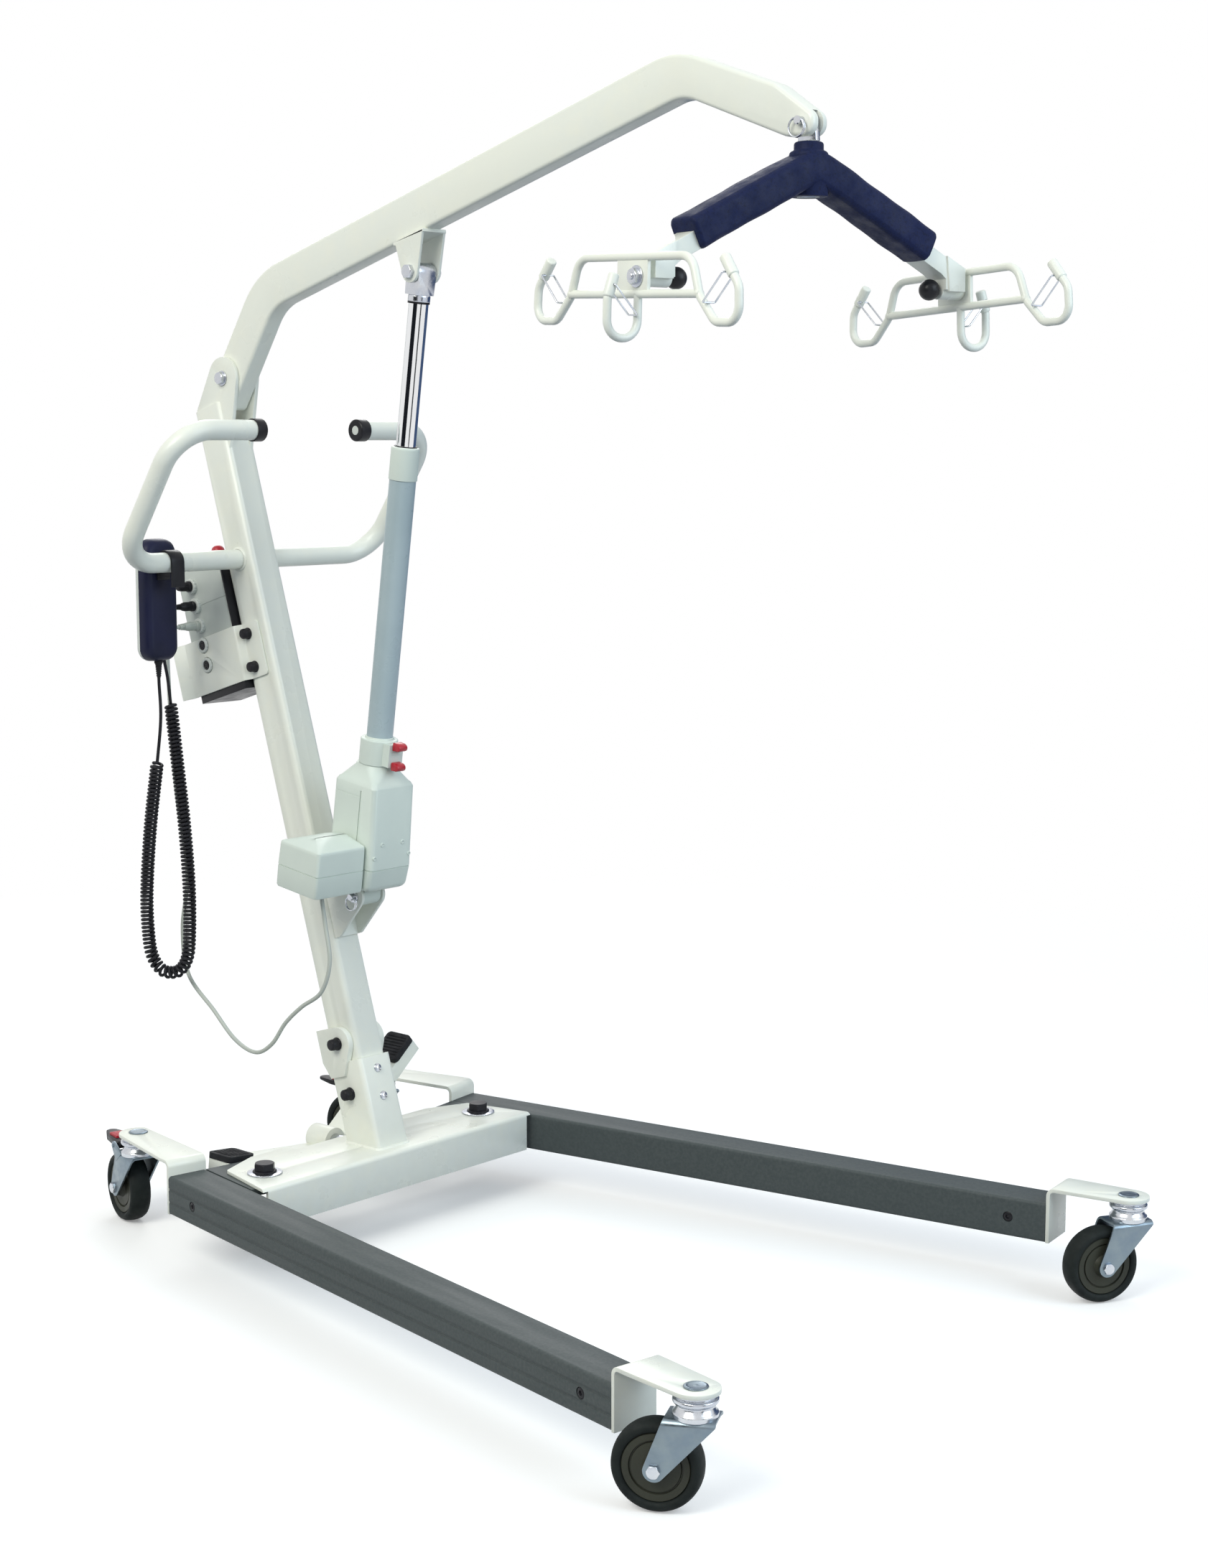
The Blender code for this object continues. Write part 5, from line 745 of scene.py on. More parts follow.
def make_caster_plate(place, name, side):
    way, (x, y), face = (1, FRONT_SWIVEL, LEG_FRONT) if place == "front" else (-1, REAR_SWIVEL, -LEG_REAR)
    stand = face + way * (GAP + CASTER_PLATE / 2)
    middle = CASTER_TOP - CASTER_PLATE / 2
    strip = ribbon([(stand, LEG_LOW), (stand, middle), (x + way * 0.027, middle)], 0.008, CASTER_PLATE)
    inner, outer = side * LEG_INNER, side * LEG_OUTER
    root = [(u, v) for u in (face, stand + way * 0.02) for v in (inner, outer)]
    plan = prism(hull(circle(0.027, 64, (x, side * y)) + root), LEG_LOW - 0.004, CASTER_TOP + 0.004)
    full = place + "_" + name
    make("plate_" + full, prism(strip, inner, outer, "Y"), WHITE, "caster_plate_" + full, at=leg_at(side),
         body="leg_" + name, bevel=0.001, keep=[plan], cut=[rod(BORE_12, 0.1, 0.2, (x, side * y), "Z")])


# Casters


def fork_head():
    """Profile of the two bearing races over the fork's crown, and of the pin through the plate."""
    race = CASTER_TOP - CASTER_PLATE - GAP
    lower = [(0.98, -0.0018), (0.98, 0.001), (0.99, 0.004), (0.9, 0.0062)]
    upper = [
        (0.8, -0.0145), (0.8, -0.0125), (0.93, -0.011), (1.0, -0.0085), (0.98, -0.0052),
        (0.86, -0.004), (0.86, -0.0032), (0.95, -0.002), (0.95, 0.0),
    ]
    rows = [(share, CROWN + rise) for share, rise in lower] + [(share, race + rise) for share, rise in upper]
    return [(share * CROWN_RADIUS, z) for share, z in rows] + [(0.006, race), (0.006, CASTER_TOP + GAP)]


def make_fork(place, name):
    full = place + "_" + name
    middle = FORK_INNER + FORK_PLATE / 2
    top = CROWN - FORK_PLATE / 2
    strip = ribbon([(-middle, 0.03), (-middle, top), (middle, top), (middle, 0.03)], 0.006, FORK_PLATE)
    side_view = hull(circle(0.012, 40, (TRAIL, WHEEL_RADIUS)) + [
        (-CROWN_RADIUS, CROWN + 0.002), (-CROWN_RADIUS, CROWN - FORK_PLATE - 0.002),
        (0.031, CROWN - FORK_PLATE), (0.03, CROWN + 0.002),
    ])
    extra = []
    if place == "rear":
        ear = hull(circle(0.006, 24, BRAKE_PIVOT) + [(0.01, CROWN - 0.001), (0.03, CROWN - 0.016)])
        extra = pair(ear, FORK_INNER + 0.0005, FORK_OUTER + 0.0005)
        extra.append(rod(0.0025, -FORK_OUTER - 0.002, FORK_OUTER + 0.002, BRAKE_PIVOT))
    on_fork = partial(make, body="fork_" + full, at=caster_at(place, name))
    # The fork plate takes the zinc darkened as painted shade
    on_fork("fork_%s_plate" % full, prism(strip, -0.04, 0.07, "X"), ZINC_PAINTED_SHADE, "caster_fork_" + full,
            bevel=0.0006, keep=[prism(side_view, -0.1, 0.1, "Y")], add=extra)
    on_fork("fork_%s_race" % full, turned(fork_head(), 64, soft=0.001), ZINC, smooth=50)
    disc = [
        (r, CASTER_TOP + rise) for r, rise in
        ((0.0136, GAP), (0.0134, 0.0012), (0.011, 0.0022), (0.0088, 0.0016), (0.003, 0.0014), (0.0, 0.0016))
    ]
    # The top disc takes the zinc darkened as painted shade too
    on_fork("fork_%s_disc" % full, turned(disc, 56, soft=0.0006), ZINC_PAINTED_SHADE, smooth=50)
    hub = spot(TRAIL, 0.0, WHEEL_RADIUS)
    on_fork("fork_%s_axle" % full, rod(0.0039, -FORK_OUTER - 0.001, FORK_OUTER + 0.001), ZINC, lie=hub)
    for s, where in ((1, "in"), (-1, "out")):
        lie = hub @ spot(y=s * FORK_OUTER) @ facing(s)
        make_head("fork_%s_nut_%s" % (full, where), (0.0068, 0.0046), lie, bevel=0.0003, maker=on_fork)


def make_wheel(place, name):
    full = place + "_" + name
    lie = spot(TRAIL, 0.0, WHEEL_RADIUS) @ facing(1)
    on_wheel = partial(make, body="wheel_" + full, at=caster_at(place, name), lie=lie)
    half = WHEEL_WIDTH / 2
    rim = WHEEL_RADIUS - 0.012
    side = [
        (rim - 0.0002, half - 0.0045),
        (rim + 0.0006, half - 0.0022),
        (WHEEL_RADIUS - 0.0075, half - 0.0006),
        (WHEEL_RADIUS - 0.0035, half - 0.002),
        (WHEEL_RADIUS - 0.0012, half - 0.006),
    ]
    tread = [(WHEEL_RADIUS - 0.0003, -0.005), (WHEEL_RADIUS, 0.0), (WHEEL_RADIUS - 0.0003, 0.005)]
    tyre = [(r, -h) for r, h in side] + tread + side[::-1] + [(rim - 0.003, 0.0)]
    on_wheel("tyre_" + full, turned(tyre, 96, closed=True), TYRE, "caster_wheel_" + full, smooth=60)
    hub = FORK_INNER - GAP
    face = [
        (0.0043, hub - 0.0004), (0.0118, hub - 0.0006), (0.0126, hub - 0.004),
        (0.015, half - 0.0042), (0.027, half - 0.0046), (0.0276, half - 0.0066), (0.029, half - 0.0066),
        (0.0296, half - 0.004), (rim - 0.0014, half - 0.0036), (rim - 0.0004, half - 0.0048),
    ]
    on_wheel("hub_" + full, turned([(r, -h) for r, h in face] + face[::-1], 80, closed=True), HUB, smooth=30)


def make_brake(name):
    full = "rear_" + name
    x, z = BRAKE_PIVOT
    tip = x + BRAKE_LENGTH
    arm = circle(0.0055, 24, BRAKE_PIVOT)
    arm += [(x + 0.012, z + 0.004), (tip, z + 0.005), (tip, z + 0.001), (x + 0.02, z - 0.0045)]
    plan = circle(0.009, 40, (tip - 0.009, 0.0))
    plan += [(x + u, s * BRAKE_HALF) for u in (-0.01, 0.04) for s in (-1, 1)]
    on_brake = partial(make, body="brake_" + full, at=caster_at("rear", name))
    lever = prism(hull(arm), -BRAKE_HALF, BRAKE_HALF, "Y")
    on_brake("brake_%s_lever" % full, lever, BLACK, "brake_lever_" + full, bevel=0.0012,
             keep=[prism(hull(plan), 0.0, 0.2)], cut=[rod(BORE_5, -0.1, 0.1, BRAKE_PIVOT)])
    pad = block((x + 0.016, x + 0.04), (-0.012, 0.012), (z + 0.002, z + 0.0085))
    starts = [x + 0.0185 + k * 0.005 for k in range(4)]
    ribs = [block((u, u + 0.002), (-0.013, 0.013), (z + 0.0078, z + 0.01)) for u in starts]
    on_brake("brake_%s_pad" % full, pad, RED, bevel=0.0008, cut=ribs)


for side_name, side in SIDES.items():
    make_leg(side_name, side)
    for place in ("front", "rear"):
        make_caster_plate(place, side_name, side)
        make_fork(place, side_name)
        make_wheel(place, side_name)
    make_brake(side_name)


# Base plate, leg bolts and pedal

PEDAL = spot(-0.108, 0.0, 0.105) @ Matrix.Rotation(radians(17.4), 4, "X")


def beam_end(x):
    return 0.2445 + x * tan(radians(13.5))


def make_crossbeam():
    middle = BEAM_TOP - BEAM_PLATE / 2
    rear, step, flange = -0.055, -0.073, 0.058
    front = flange - BEAM_PLATE / 2
    wide = beam_end(flange) + 0.01
    half = [(rear, 0.103), (step, 0.104), (step, 0.169)] + [(x, beam_end(x)) for x in (-0.0485, 0.068)]
    radii = [0.004, 0.008, 0.008, 0.006, 0.0]
    plan = half + [(x, -y) for x, y in half[::-1]]
    plan = rounded(plan, radii + radii[::-1], closed=True, turn=radians(15))
    reach = LEG_PIVOT_Y + LEG_INNER - 0.0012
    cuts = []
    for s in SIDES.values():
        cuts.append(block((0.0, 0.1), (s * reach, s * 0.5), (0.0, BEAM_TOP - BEAM_PLATE)))
        cuts.append(rod(BORE_12, 0.0, 0.2, (0.0, s * LEG_PIVOT_Y), "Z"))
    back = block((rear, rear + BEAM_PLATE), (-0.1, 0.1), (0.0655, BEAM_TOP - 0.0005))
    fold = ribbon([(step, middle), (front, middle), (front, 0.0655)], 0.007 - BEAM_PLATE / 2, BEAM_PLATE)
    make("base_plate", prism(fold, -wide, wide, "Y"), WHITE, "crossbeam", bevel=0.0008,
         keep=[prism(plan, 0.0, 0.2)], add=[back], cut=cuts)
    stud = partial(rod, high=-0.0545, centre=(0.0, 0.105), along="X")
    make("pedal_stud", stud(0.006, -0.1303), ZINC, add=[stud(0.0108, -0.0867)], bevel=0.0004)
    make_head("pedal_stud_nut", (0.0102, 0.007), spot(-0.1293, 0.0, 0.105, lean=-pi / 2))


def make_leg_bolt(name, side):
    washer = BEAM_TOP + GAP
    low = LEG_TOP - 0.01 - GAP
    cap = washer + 0.0022
    there = partial(make, at=spot(y=side * LEG_PIVOT_Y))
    shank = [
        (0.0105, low - 0.008), (0.0105, low), (0.006, low), (0.006, washer),
        (0.024, washer), (0.024, washer + 0.0016), (0.019, cap),
    ]
    there("leg_bolt_%s_washer" % name, turned(shank, 64, soft=0.0005), ZINC, "leg_bolt_" + name)
    skirt = [(0.0165, cap), (0.0165, cap + 0.0012), (0.0145, cap + 0.0022)]
    there("leg_bolt_%s_skirt" % name, turned(skirt, 64, soft=0.0005), BLACK)
    lie = spot(z=cap, turn=radians(12))
    make_head("leg_bolt_%s_cap" % name, (0.0128, 0.0122), lie, 0.0022, 0.001, BLACK, there)


def cross_bars(side, wide, starts, length, low, top):
    return [block((-wide, wide), (side * y, side * (y + length)), (low, top)) for y in starts]


def make_pedal():
    half = 0.021
    high = -0.009 - GAP
    on_pedal = partial(make, body="pedal", at=PEDAL)
    arms = []
    for name, s in SIDES.items():
        lift = Matrix.Rotation(s * radians(23.0), 4, "X")
        arms.append(placed(block((-half, half), (0.0, s * 0.198), (high - 0.021, high)), lift))
        pad = prism(rectangle(-0.024, 0.024, s * 0.152, s * 0.199, 0.007), -0.009, -0.0004)
        cuts = cross_bars(s, 0.019, [0.1585 + k * 0.0052 for k in range(7)], 0.0025, -0.0012, 0.01)
        on_pedal("pedal_tread_" + name, pad, BLACK_RUBBER, "pedal_pad_" + name, lift, bevel=0.001, cut=cuts)
        ribs = cross_bars(s, 0.0205, [0.1612 + k * 0.0052 for k in range(6)], 0.0023, -0.002, 0.0)
        on_pedal("pedal_ribs_" + name, ribs[0], BLACK_RUBBER, lie=lift, bevel=0.0004, add=ribs[1:])
    on_pedal("pedal_bar", rod(0.019, -half, half, along="X", sides=64), WHITE, "pedal_rocker", bevel=0.0012,
             add=arms, cut=[rod(BORE_12, -1.0, 1.0, along="X")])


# Mast, socket and handle


def bolt_cap(name, lie, reach=0.014, radius=0.0095):
    """A black cap over a hexagon head on the mast, standing out along its own Z."""
    cap = [(1.0, 0.0), (1.0, 0.0016), (0.86, 0.0022), (0.84, reach - 0.003), (0.62, reach)]
    on_mast(name, turned([(share * radius, z) for share, z in cap], soft=0.0009), BLACK, lie=lie)
    cone = [(radius * 0.95, 0.002), (radius * 0.95, reach - 0.0045), (radius * 0.8, reach - 0.0012)]
    flats = prism(circle(radius * 0.94, 6), 0.0022, reach + 0.01)
    on_mast(name + "_hex", flats, BLACK, lie=lie, bevel=0.0005, keep=[turned(cone, 40)])


def below(z):
    """All that lies under a level, seen from the mast."""
    return placed(block((-1.0, 1.0), (-1.0, 1.0), (-1.0, z)), MAST.inverted())


def make_socket():
    inner, face = MAST_HALF + GAP, MAST_FACE + GAP
    outer, front = inner + SHOE_WALL, face + SHOE_WALL
    cheek = inner + 0.009
    outline = [(-MAST_FACE, -outer), (front, -outer), (front, outer), (-MAST_FACE, outer)]
    shell = rounded(outline, [0.0, 0.007, 0.007, 0.0], closed=True)
    boss, foot = 0.0235, 0.101
    ear = circle(boss, 56, (0.0, CLAMP_HEIGHT)) + [(0.0, foot), (-MAST_FACE, foot)]
    ear += [(-0.04, CLAMP_HEIGHT - boss), (-0.04, CLAMP_HEIGHT + boss)]
    hollow = prism(rectangle(-1.0, face, -inner, inner), -1.0, 1.0)
    on_mast("mast_shoe", prism(shell, -0.03, 0.121), WHITE, "mast_socket mast_clamp_bolt", bevel=0.0012,
            add=pair(hull(ear), inner, cheek),
            cut=[hollow, rod(BORE_10, -1.0, 1.0, (0.0, CLAMP_HEIGHT)), below(BEAM_TOP + GAP)])
    for name, s in SIDES.items():
        bolt_cap("clamp_cap_" + name, spot(y=s * (cheek + GAP), z=CLAMP_HEIGHT) @ facing(s))
        bolt_cap("shoe_cap_" + name, spot(y=s * outer, z=0.075) @ facing(s), 0.014 if s < 0 else 0.0215)
    angles = [pi / 2 * k / 7 for k in range(7)]
    dome = [(0.0066, -0.0005)] + [(0.0066 * cos(a), 0.004 * sin(a)) for a in angles] + [(0.0, 0.004)]
    for k, z in enumerate((0.063, 0.103)):
        on_mast("shoe_screw_%d" % k, turned(dome, 32), ZINC, lie=spot(front, 0.0, z) @ ALONG_X, smooth=60,
                cut=[prism(circle(0.0022, 6), 0.0022, 0.01)])


def make_weld():
    """The weld bead round the socket's foot on the base plate."""
    side = MAST_HALF + GAP + SHOE_WALL
    scale = 1 / cos(MAST_TILT)
    front = MAST_FOOT + (MAST_FACE + GAP + SHOE_WALL) * scale
    back = MAST_FOOT - MAST_FACE * scale
    corners = [(back, -side), (front, -side), (front, side), (back, side)]
    line = rounded(corners, [0.001, 0.007, 0.007, 0.001], closed=True)
    points = []
    for a, b in zip(line, line[1:] + line[:1]):
        count = max(1, round((b - a).length / 0.0011))
        points += [a + (b - a) * k / count for k in range(count)]
    rings = []
    for k, point in enumerate(points):
        way = (points[(k + 1) % len(points)] - points[k - 1]).normalized()
        out = Vector((way.y, -way.x))
        size = 0.003 + 0.00035 * sin(k * 2.1) + 0.0002 * sin(k * 0.37)
        ring = []
        for a, b in circle(size * 0.9, 8):
            flat = point + out * (a - 0.0005)
            ring.append((flat.x, flat.y, BEAM_TOP + max(-0.0002, b)))
        rings.append(ring)
    make("socket_weld", loft(rings, closed=True), WHITE, smooth=80)


def make_mast():
    hinge = in_mast(*HINGE)
    top, low, web_top = hinge[1] - 0.03, hinge[1] - 0.105, hinge[1] - 0.056
    depth, half = MAST_FACE - MAST_WALL, MAST_HALF - MAST_WALL
    slit = 0.0156
    corners = [(-depth, low), (depth, low), (-depth, top + 0.003), (depth, top - 0.004)]
    outline = hull(circle(0.03, 64, hinge) + corners)
    web = block((depth - 0.004, depth), (-slit - 0.0005, slit + 0.0005), (low, web_top))
    bores = [
        prism(rectangle(-depth, depth, -half, half, 0.004), -1.0, top + 1.0),
        rod(HANDLE_RADIUS + GAP, -1.0, 1.0, MAST_GRIP, sides=48),
        rod(BORE_10, -1.0, 1.0, (0.0, CLAMP_HEIGHT)),
        below(BEAM_TOP + 2 * GAP),
    ]
    body = prism(rectangle(-MAST_FACE, MAST_FACE, -MAST_HALF, MAST_HALF, 0.008), 0.0, top)
    hollow = read_shape(combine("mast_shell", body, cut=bores))
    on_mast("mast_tube", hollow, WHITE, "mast", bevel=0.0006, add=pair(outline, slit, 0.0215) + [web],
            cut=[rod(BORE_12, -1.0, 1.0, hinge), block((0.0, 0.1), (-slit, slit), (web_top, top + 0.1))])


def make_handle():
    path = []
    for s in SIDES.values():
        corners = [
            (HANDLE_TOP_X, s * GRIP_END, HANDLE_TOP),
            (HANDLE_TOP_X, s * HANDLE_HALF, HANDLE_TOP),
            (BAR_X, s * HANDLE_HALF, HANDLE_HEIGHT),
        ]
        path += corners if s < 0 else corners[::-1]
    bends = rounded(path, 0.056, turn=radians(5))
    make("push_handle", tube(bends, HANDLE_RADIUS, 40), SMOOTH_WHITE, "handle_bar", smooth=50)
    inner = HANDLE_RADIUS + GAP
    outer = inner + 0.0014
    cap = [
        (0.0, GAP), (inner, GAP), (inner, -0.014), (outer, -0.014), (outer, 0.0022), (outer - 0.0022, 0.004),
        (0.0072, 0.004), (0.0066, 0.0032),
    ]
    disc = [(0.0064, 0.003), (0.0064, 0.0035), (0.0, 0.0037)]
    weld = [(0.0145, -0.0005), (0.0145, 0.0022), (0.0163, 0.0014), (0.0178, 0.0), (0.0178, -0.0005)]
    for name, s in SIDES.items():
        grip = partial(make, lie=spot(HANDLE_TOP_X, s * GRIP_END, HANDLE_TOP) @ facing(-s))
        grip("handle_end_" + name, turned(cap, 56, soft=0.0007), BLACK, "handle_cap_" + name)
        grip("handle_disc_" + name, turned(disc, 40), PALE, slot="black_plastic")
        lie = spot(MAST_GRIP[0], s * MAST_HALF, MAST_GRIP[1]) @ facing(s)
        on_mast("handle_weld_" + name, turned(weld, closed=True), WHITE, lie=lie, smooth=80)


make_crossbeam()
for side_name, side in SIDES.items():
    make_leg_bolt(side_name, side)
make_pedal()
make_socket()
make_weld()
make_mast()
make_handle()


# Boom

BOOM_RUN = [(-0.2941, 1.1633), (-0.1931, 1.3172), (0.5677, 1.544)]
BOOM_HALF_DEPTH = 0.0285
BOOM_HALF = 0.015


def boom_outline():
    upper = offset_line(BOOM_RUN, BOOM_HALF_DEPTH)[:2]
    lower = offset_line(BOOM_RUN, -BOOM_HALF_DEPTH)[:2]
    corners = [
        (lower[0], 0.01), (lower[1], 0.1 - BOOM_HALF_DEPTH), ((0.5722, 1.5153), 0.088 - BOOM_HALF_DEPTH),
        ((0.728, 1.4553), 0.04), ((0.7668, 1.4553), 0.014), ((0.7668, 1.4786), 0.014),
        ((0.712, 1.5166), 0.05), ((0.5581, 1.5713), 0.088 + BOOM_HALF_DEPTH),
        (upper[1], 0.1 + BOOM_HALF_DEPTH), (upper[0], 0.01),
    ]
    return rounded([c for c, _ in corners], [r for _, r in corners], closed=True, turn=radians(5))


def boom_underside(x):
    a, b = offset_line(BOOM_RUN[1:], -BOOM_HALF_DEPTH)
    return a.y + (x - a.x) * (b.y - a.y) / (b.x - a.x)


def spring_rings(name, radius, wire, place, apart, lean, maker):
    """A split ring of two turns, hanging through a pin."""
    ring = [(radius + a, b) for a, b in circle(wire, 10)]
    for k, (shift, turn) in enumerate(((0.0, 0.0), (apart, lean))):
        lie = spot(place[0], place[1] + shift, place[2], turn=turn) @ facing(1)
        maker("%s_%d" % (name, k), turned(ring, 56, closed=True), ZINC, lie=lie, smooth=80)


def make_boom():
    shell = mesh_object("boom_shell", prism(boom_outline(), -BOOM_HALF, BOOM_HALF, "Y"))
    slot = block((HUB_X - 0.0235, 0.78), (-0.0048, 0.0048), (1.3, HANG_PIN_Z + 0.0128))
    on_boom("boom_tube", read_shape(edges(shell, 0.005, 4)), WHITE, "boom", smooth=30,
            cut=[slot, rod(BORE_12, -1.0, 1.0, HINGE), rod(BORE_8, -1.0, 1.0, (HUB_X, HANG_PIN_Z))])
    x, z = UPPER_PIVOT
    (ax, az), (bx, bz) = ((u, boom_underside(u)) for u in (x - 0.031, x + 0.0248))
    seat = [(ax, az + GAP), (bx, bz + GAP), (bx + 0.001, bz - 0.0045), (ax + 0.001, az - 0.0045)]
    ears = hull(circle(0.0145, 56, (x, z)) + [(ax + 0.004, az - 0.002), (bx, bz - 0.002)])
    on_boom("boom_clevis", prism(seat, -EAR_OUTER, EAR_OUTER, "Y"), WHITE, bevel=0.001,
            add=pair(ears, EAR_INNER, EAR_OUTER))
    for name, s in SIDES.items():
        lie = spot(x, s * EAR_OUTER, z) @ facing(s)
        make_head("clevis_nut_" + name, (0.0084, 0.0068), lie, maker=on_boom)


def make_hinge_bolt():
    outer, washer = 0.0218, 0.0014
    hinge = spot(HINGE[0], 0.0, HINGE[1])
    make("hinge_shank", rod(0.006, -outer - 0.002, outer + 0.002), ZINC, "boom_hinge_bolt", hinge)
    for name, s in SIDES.items():
        lie = hinge @ spot(y=s * outer) @ facing(s)
        make("hinge_washer_" + name, turned([(0.0105, 0.0), (0.0105, washer)], soft=0.0004), ZINC, lie=lie)
        make_head("hinge_head_" + name, (0.008, 0.0064), lie @ spot(z=washer, turn=0.3))


def make_hang_pin():
    half = BOOM_HALF + GAP
    pin = [
        (0.003, -half - 0.004), (0.004, -half - 0.003), (0.004, half),
        (0.005, half), (0.005, half + 0.008), (0.004, half + 0.009),
    ]
    at = spot(HUB_X, 0.0, HANG_PIN_Z)
    on_boom("hang_pin_bar", turned(pin, 32), ZINC, "hang_pin", at @ facing(-1))
    place = (-0.0025, -half - 0.0062, -0.0075)
    spring_rings("hang_ring", 0.0108, 0.001, place, 0.0016, 0.1, partial(on_boom, at=at))


# Actuator


def make_actuator_bracket():
    x, z = in_mast(*LOWER_PIVOT)
    face = MAST_FACE + GAP
    low, high = z - 0.05, z + 0.03
    foot = circle(0.007, 32, (face + 0.0075, low + 0.007))
    ear = hull(circle(0.017, 56, (x, z)) + foot + [(face + 0.0005, high), (face + 0.005, high)])
    on_mast("foot_bracket", block((face, face + 0.005), (-EAR_OUTER, EAR_OUTER), (low, high)), WHITE,
            "actuator_bracket", bevel=0.0012, add=pair(ear, EAR_INNER, EAR_OUTER))
    pin = [
        (0.0042, -EAR_OUTER - 0.009), (0.005, -EAR_OUTER - 0.0082), (0.005, EAR_OUTER + 0.005),
        (0.0042, EAR_OUTER + 0.006),
    ]
    on_mast("foot_pin", turned(pin, 40), ZINC, lie=spot(x, 0.0, z) @ facing(1))
    collar = [(0.0088, 0.0), (0.0088, 0.0022), (0.007, 0.003)]
    for name, s in SIDES.items():
        lie = spot(x, s * EAR_OUTER, z) @ facing(s)
        on_mast("foot_collar_" + name, turned(collar, soft=0.0004), ZINC, lie=lie)
    place = (x - 0.003, -EAR_OUTER - 0.0066, z - 0.0085)
    spring_rings("foot_ring", 0.0098, 0.0009, place, 0.002, 0.12, on_mast)


SEAM = [(0.0492, 0.0), (0.0496, 0.0013), (0.0504, 0.0013), (0.0508, 0.0)]


def make_housing():
    levels = [
        (0.0172, 0.0068), (0.018, 0.0048), (0.0198, 0.0026), (0.0228, 0.001), (0.0262, 0.0004), *SEAM,
        (0.164, 0.0), (0.1655, 0.0008), (0.1685, 0.0022), (0.1705, 0.0045), (0.187, 0.014), (0.191, 0.0146),
    ]
    bulge_heights, bulge = (0.0172, 0.05, 0.164, 0.187), (0.005, 0.009, 0.002, 0.0)
    half = 0.039
    rings = []
    for height, inset in levels:
        fit = max(0.0, inset - 0.002) if inset > 0.0105 else inset
        neck = min(1.0, max(0.0, (inset - 0.0085) / 0.006))
        corner = 0.0075 * (1 - neck) + 0.0235 * neck
        front = 0.037 - fit + float(np.interp(height, bulge_heights, bulge))
        outline = crowned((-0.042 + fit, front), (inset - half, half - inset), corner, 0.0, 12)
        rings.append([(a, b, height) for a, b in outline])
    tongue = prism(hull(circle(0.014, 48) + [(-0.014, 0.0272), (0.014, 0.0272)]), -0.016, 0.016, "Y")
    grooves = []
    for s in (1, -1):
        grooves.append(block((0.012, 0.0144), (s * 0.0376, s * 0.05), (0.06, 0.158)))
        grooves.append(block((-0.06, 0.0125), (s * 0.0387, s * 0.05), (0.148, 0.15)))
    on_actuator("actuator_shell", loft(rings), HOUSING, "actuator_housing", smooth=32, add=[tongue],
                cut=[rod(BORE_10, -1.0, 1.0)] + grooves)
    screw = turned([(0.003, -0.002), (0.003, 0.0006), (0.0022, 0.0011), (0.0014, 0.0004), (0.0, 0.0003)], 32)
    places = [(x, s * y, z) for s in (-1, 1) for x, y, z in ((0.0438, 0.019, 0.086), (0.0449, 0.0325, 0.068))]
    for k, place in enumerate(places):
        on_actuator("shell_screw_%d" % k, screw, HOUSING, lie=spot(*place) @ ALONG_X)


def make_motor():
    x, y = (-0.047, 0.036), (-0.1285, -0.0405)
    levels = [(0.018, 0.004), (0.0192, 0.0014), (0.022, 0.0003)]
    levels += [(height, inset + 0.0002) for height, inset in SEAM]
    levels += [
        (0.079, 0.001), (0.083, 0.0014), (0.0842, 0.0024), (0.085, 0.0042), (0.0893, 0.018), (0.093, 0.031),
    ]
    rings = []
    for height, inset in levels:
        sides = (x[0] + inset, x[1] - inset), (y[0] + inset, y[1] - inset * 0.12)
        rings.append([(a, b, height) for a, b in crowned(*sides, 0.0045 + inset * 0.25, 0.0, 12)])
    spigot = rod(0.018, -0.0445, -0.0393, (-0.004, 0.0505), sides=48)
    on_actuator("motor_shell", loft(rings), HOUSING, "actuator_motor", add=[spigot])


def make_actuator_tube():
    low, high = 0.1913, 0.224
    collar = [
        (0.0252, low), (0.026, low + 0.0008), (0.026, 0.226), (0.025, 0.227), (0.0205, 0.2272),
        (0.02, 0.23), (0.0183, 0.2302), (0.0183, high), (0.0, high),
    ]
    boss = block((0.0, 0.035), (-0.013, 0.013), (low + 0.002, 0.225))
    on_actuator("actuator_collar", turned(collar, 64, soft=0.0006), HOUSING, "actuator_tube", add=[boss])
    on_actuator("actuator_pipe", turned([(0.01825, 0.22), (0.01825, 0.588)], 64), TUBEGREY)
    head = [
        (0.0183, 0.586), (0.0195, 0.5862), (0.0195, 0.628), (0.019, 0.63), (0.0168, 0.631),
        (0.014, 0.631), (0.0138, 0.624), (0.0138, 0.586), (0.0183, 0.586),
    ]
    on_actuator("pipe_collar", turned(softened(head, 0.0006)[:-1], 64, closed=True), HOUSING,
                cut=[block((-0.03, -0.0188), (-0.0008, 0.0008), (0.58, 0.64))])
    seal = [(0.0136, 0.629), (0.016, 0.629), (0.016, 0.6316), (0.015, 0.6322), (0.0136, 0.632)]
    on_actuator("pipe_seal", turned(seal, closed=True), BLACK)


def make_release():
    """The release lever, seen as two lugs in front of the collar."""
    start, middle = 0.0353, 0.209
    lug = [
        (-0.0005, 0.0), (0.01, 0.0006), (0.0128, 0.002), (0.014, 0.0046),
        (0.0136, 0.0074), (0.0118, 0.0096), (0.0085, 0.0112), (-0.0005, 0.012),
    ]
    for k, base in enumerate((middle - 0.02, middle + 0.008)):
        shape = prism([(start + a, base + b) for a, b in lug], -0.008, 0.008, "Y")
        node = "" if k else "release_lever"
        on_actuator("release_lug_%d" % k, shape, RED, node, body="release", bevel=0.0016)


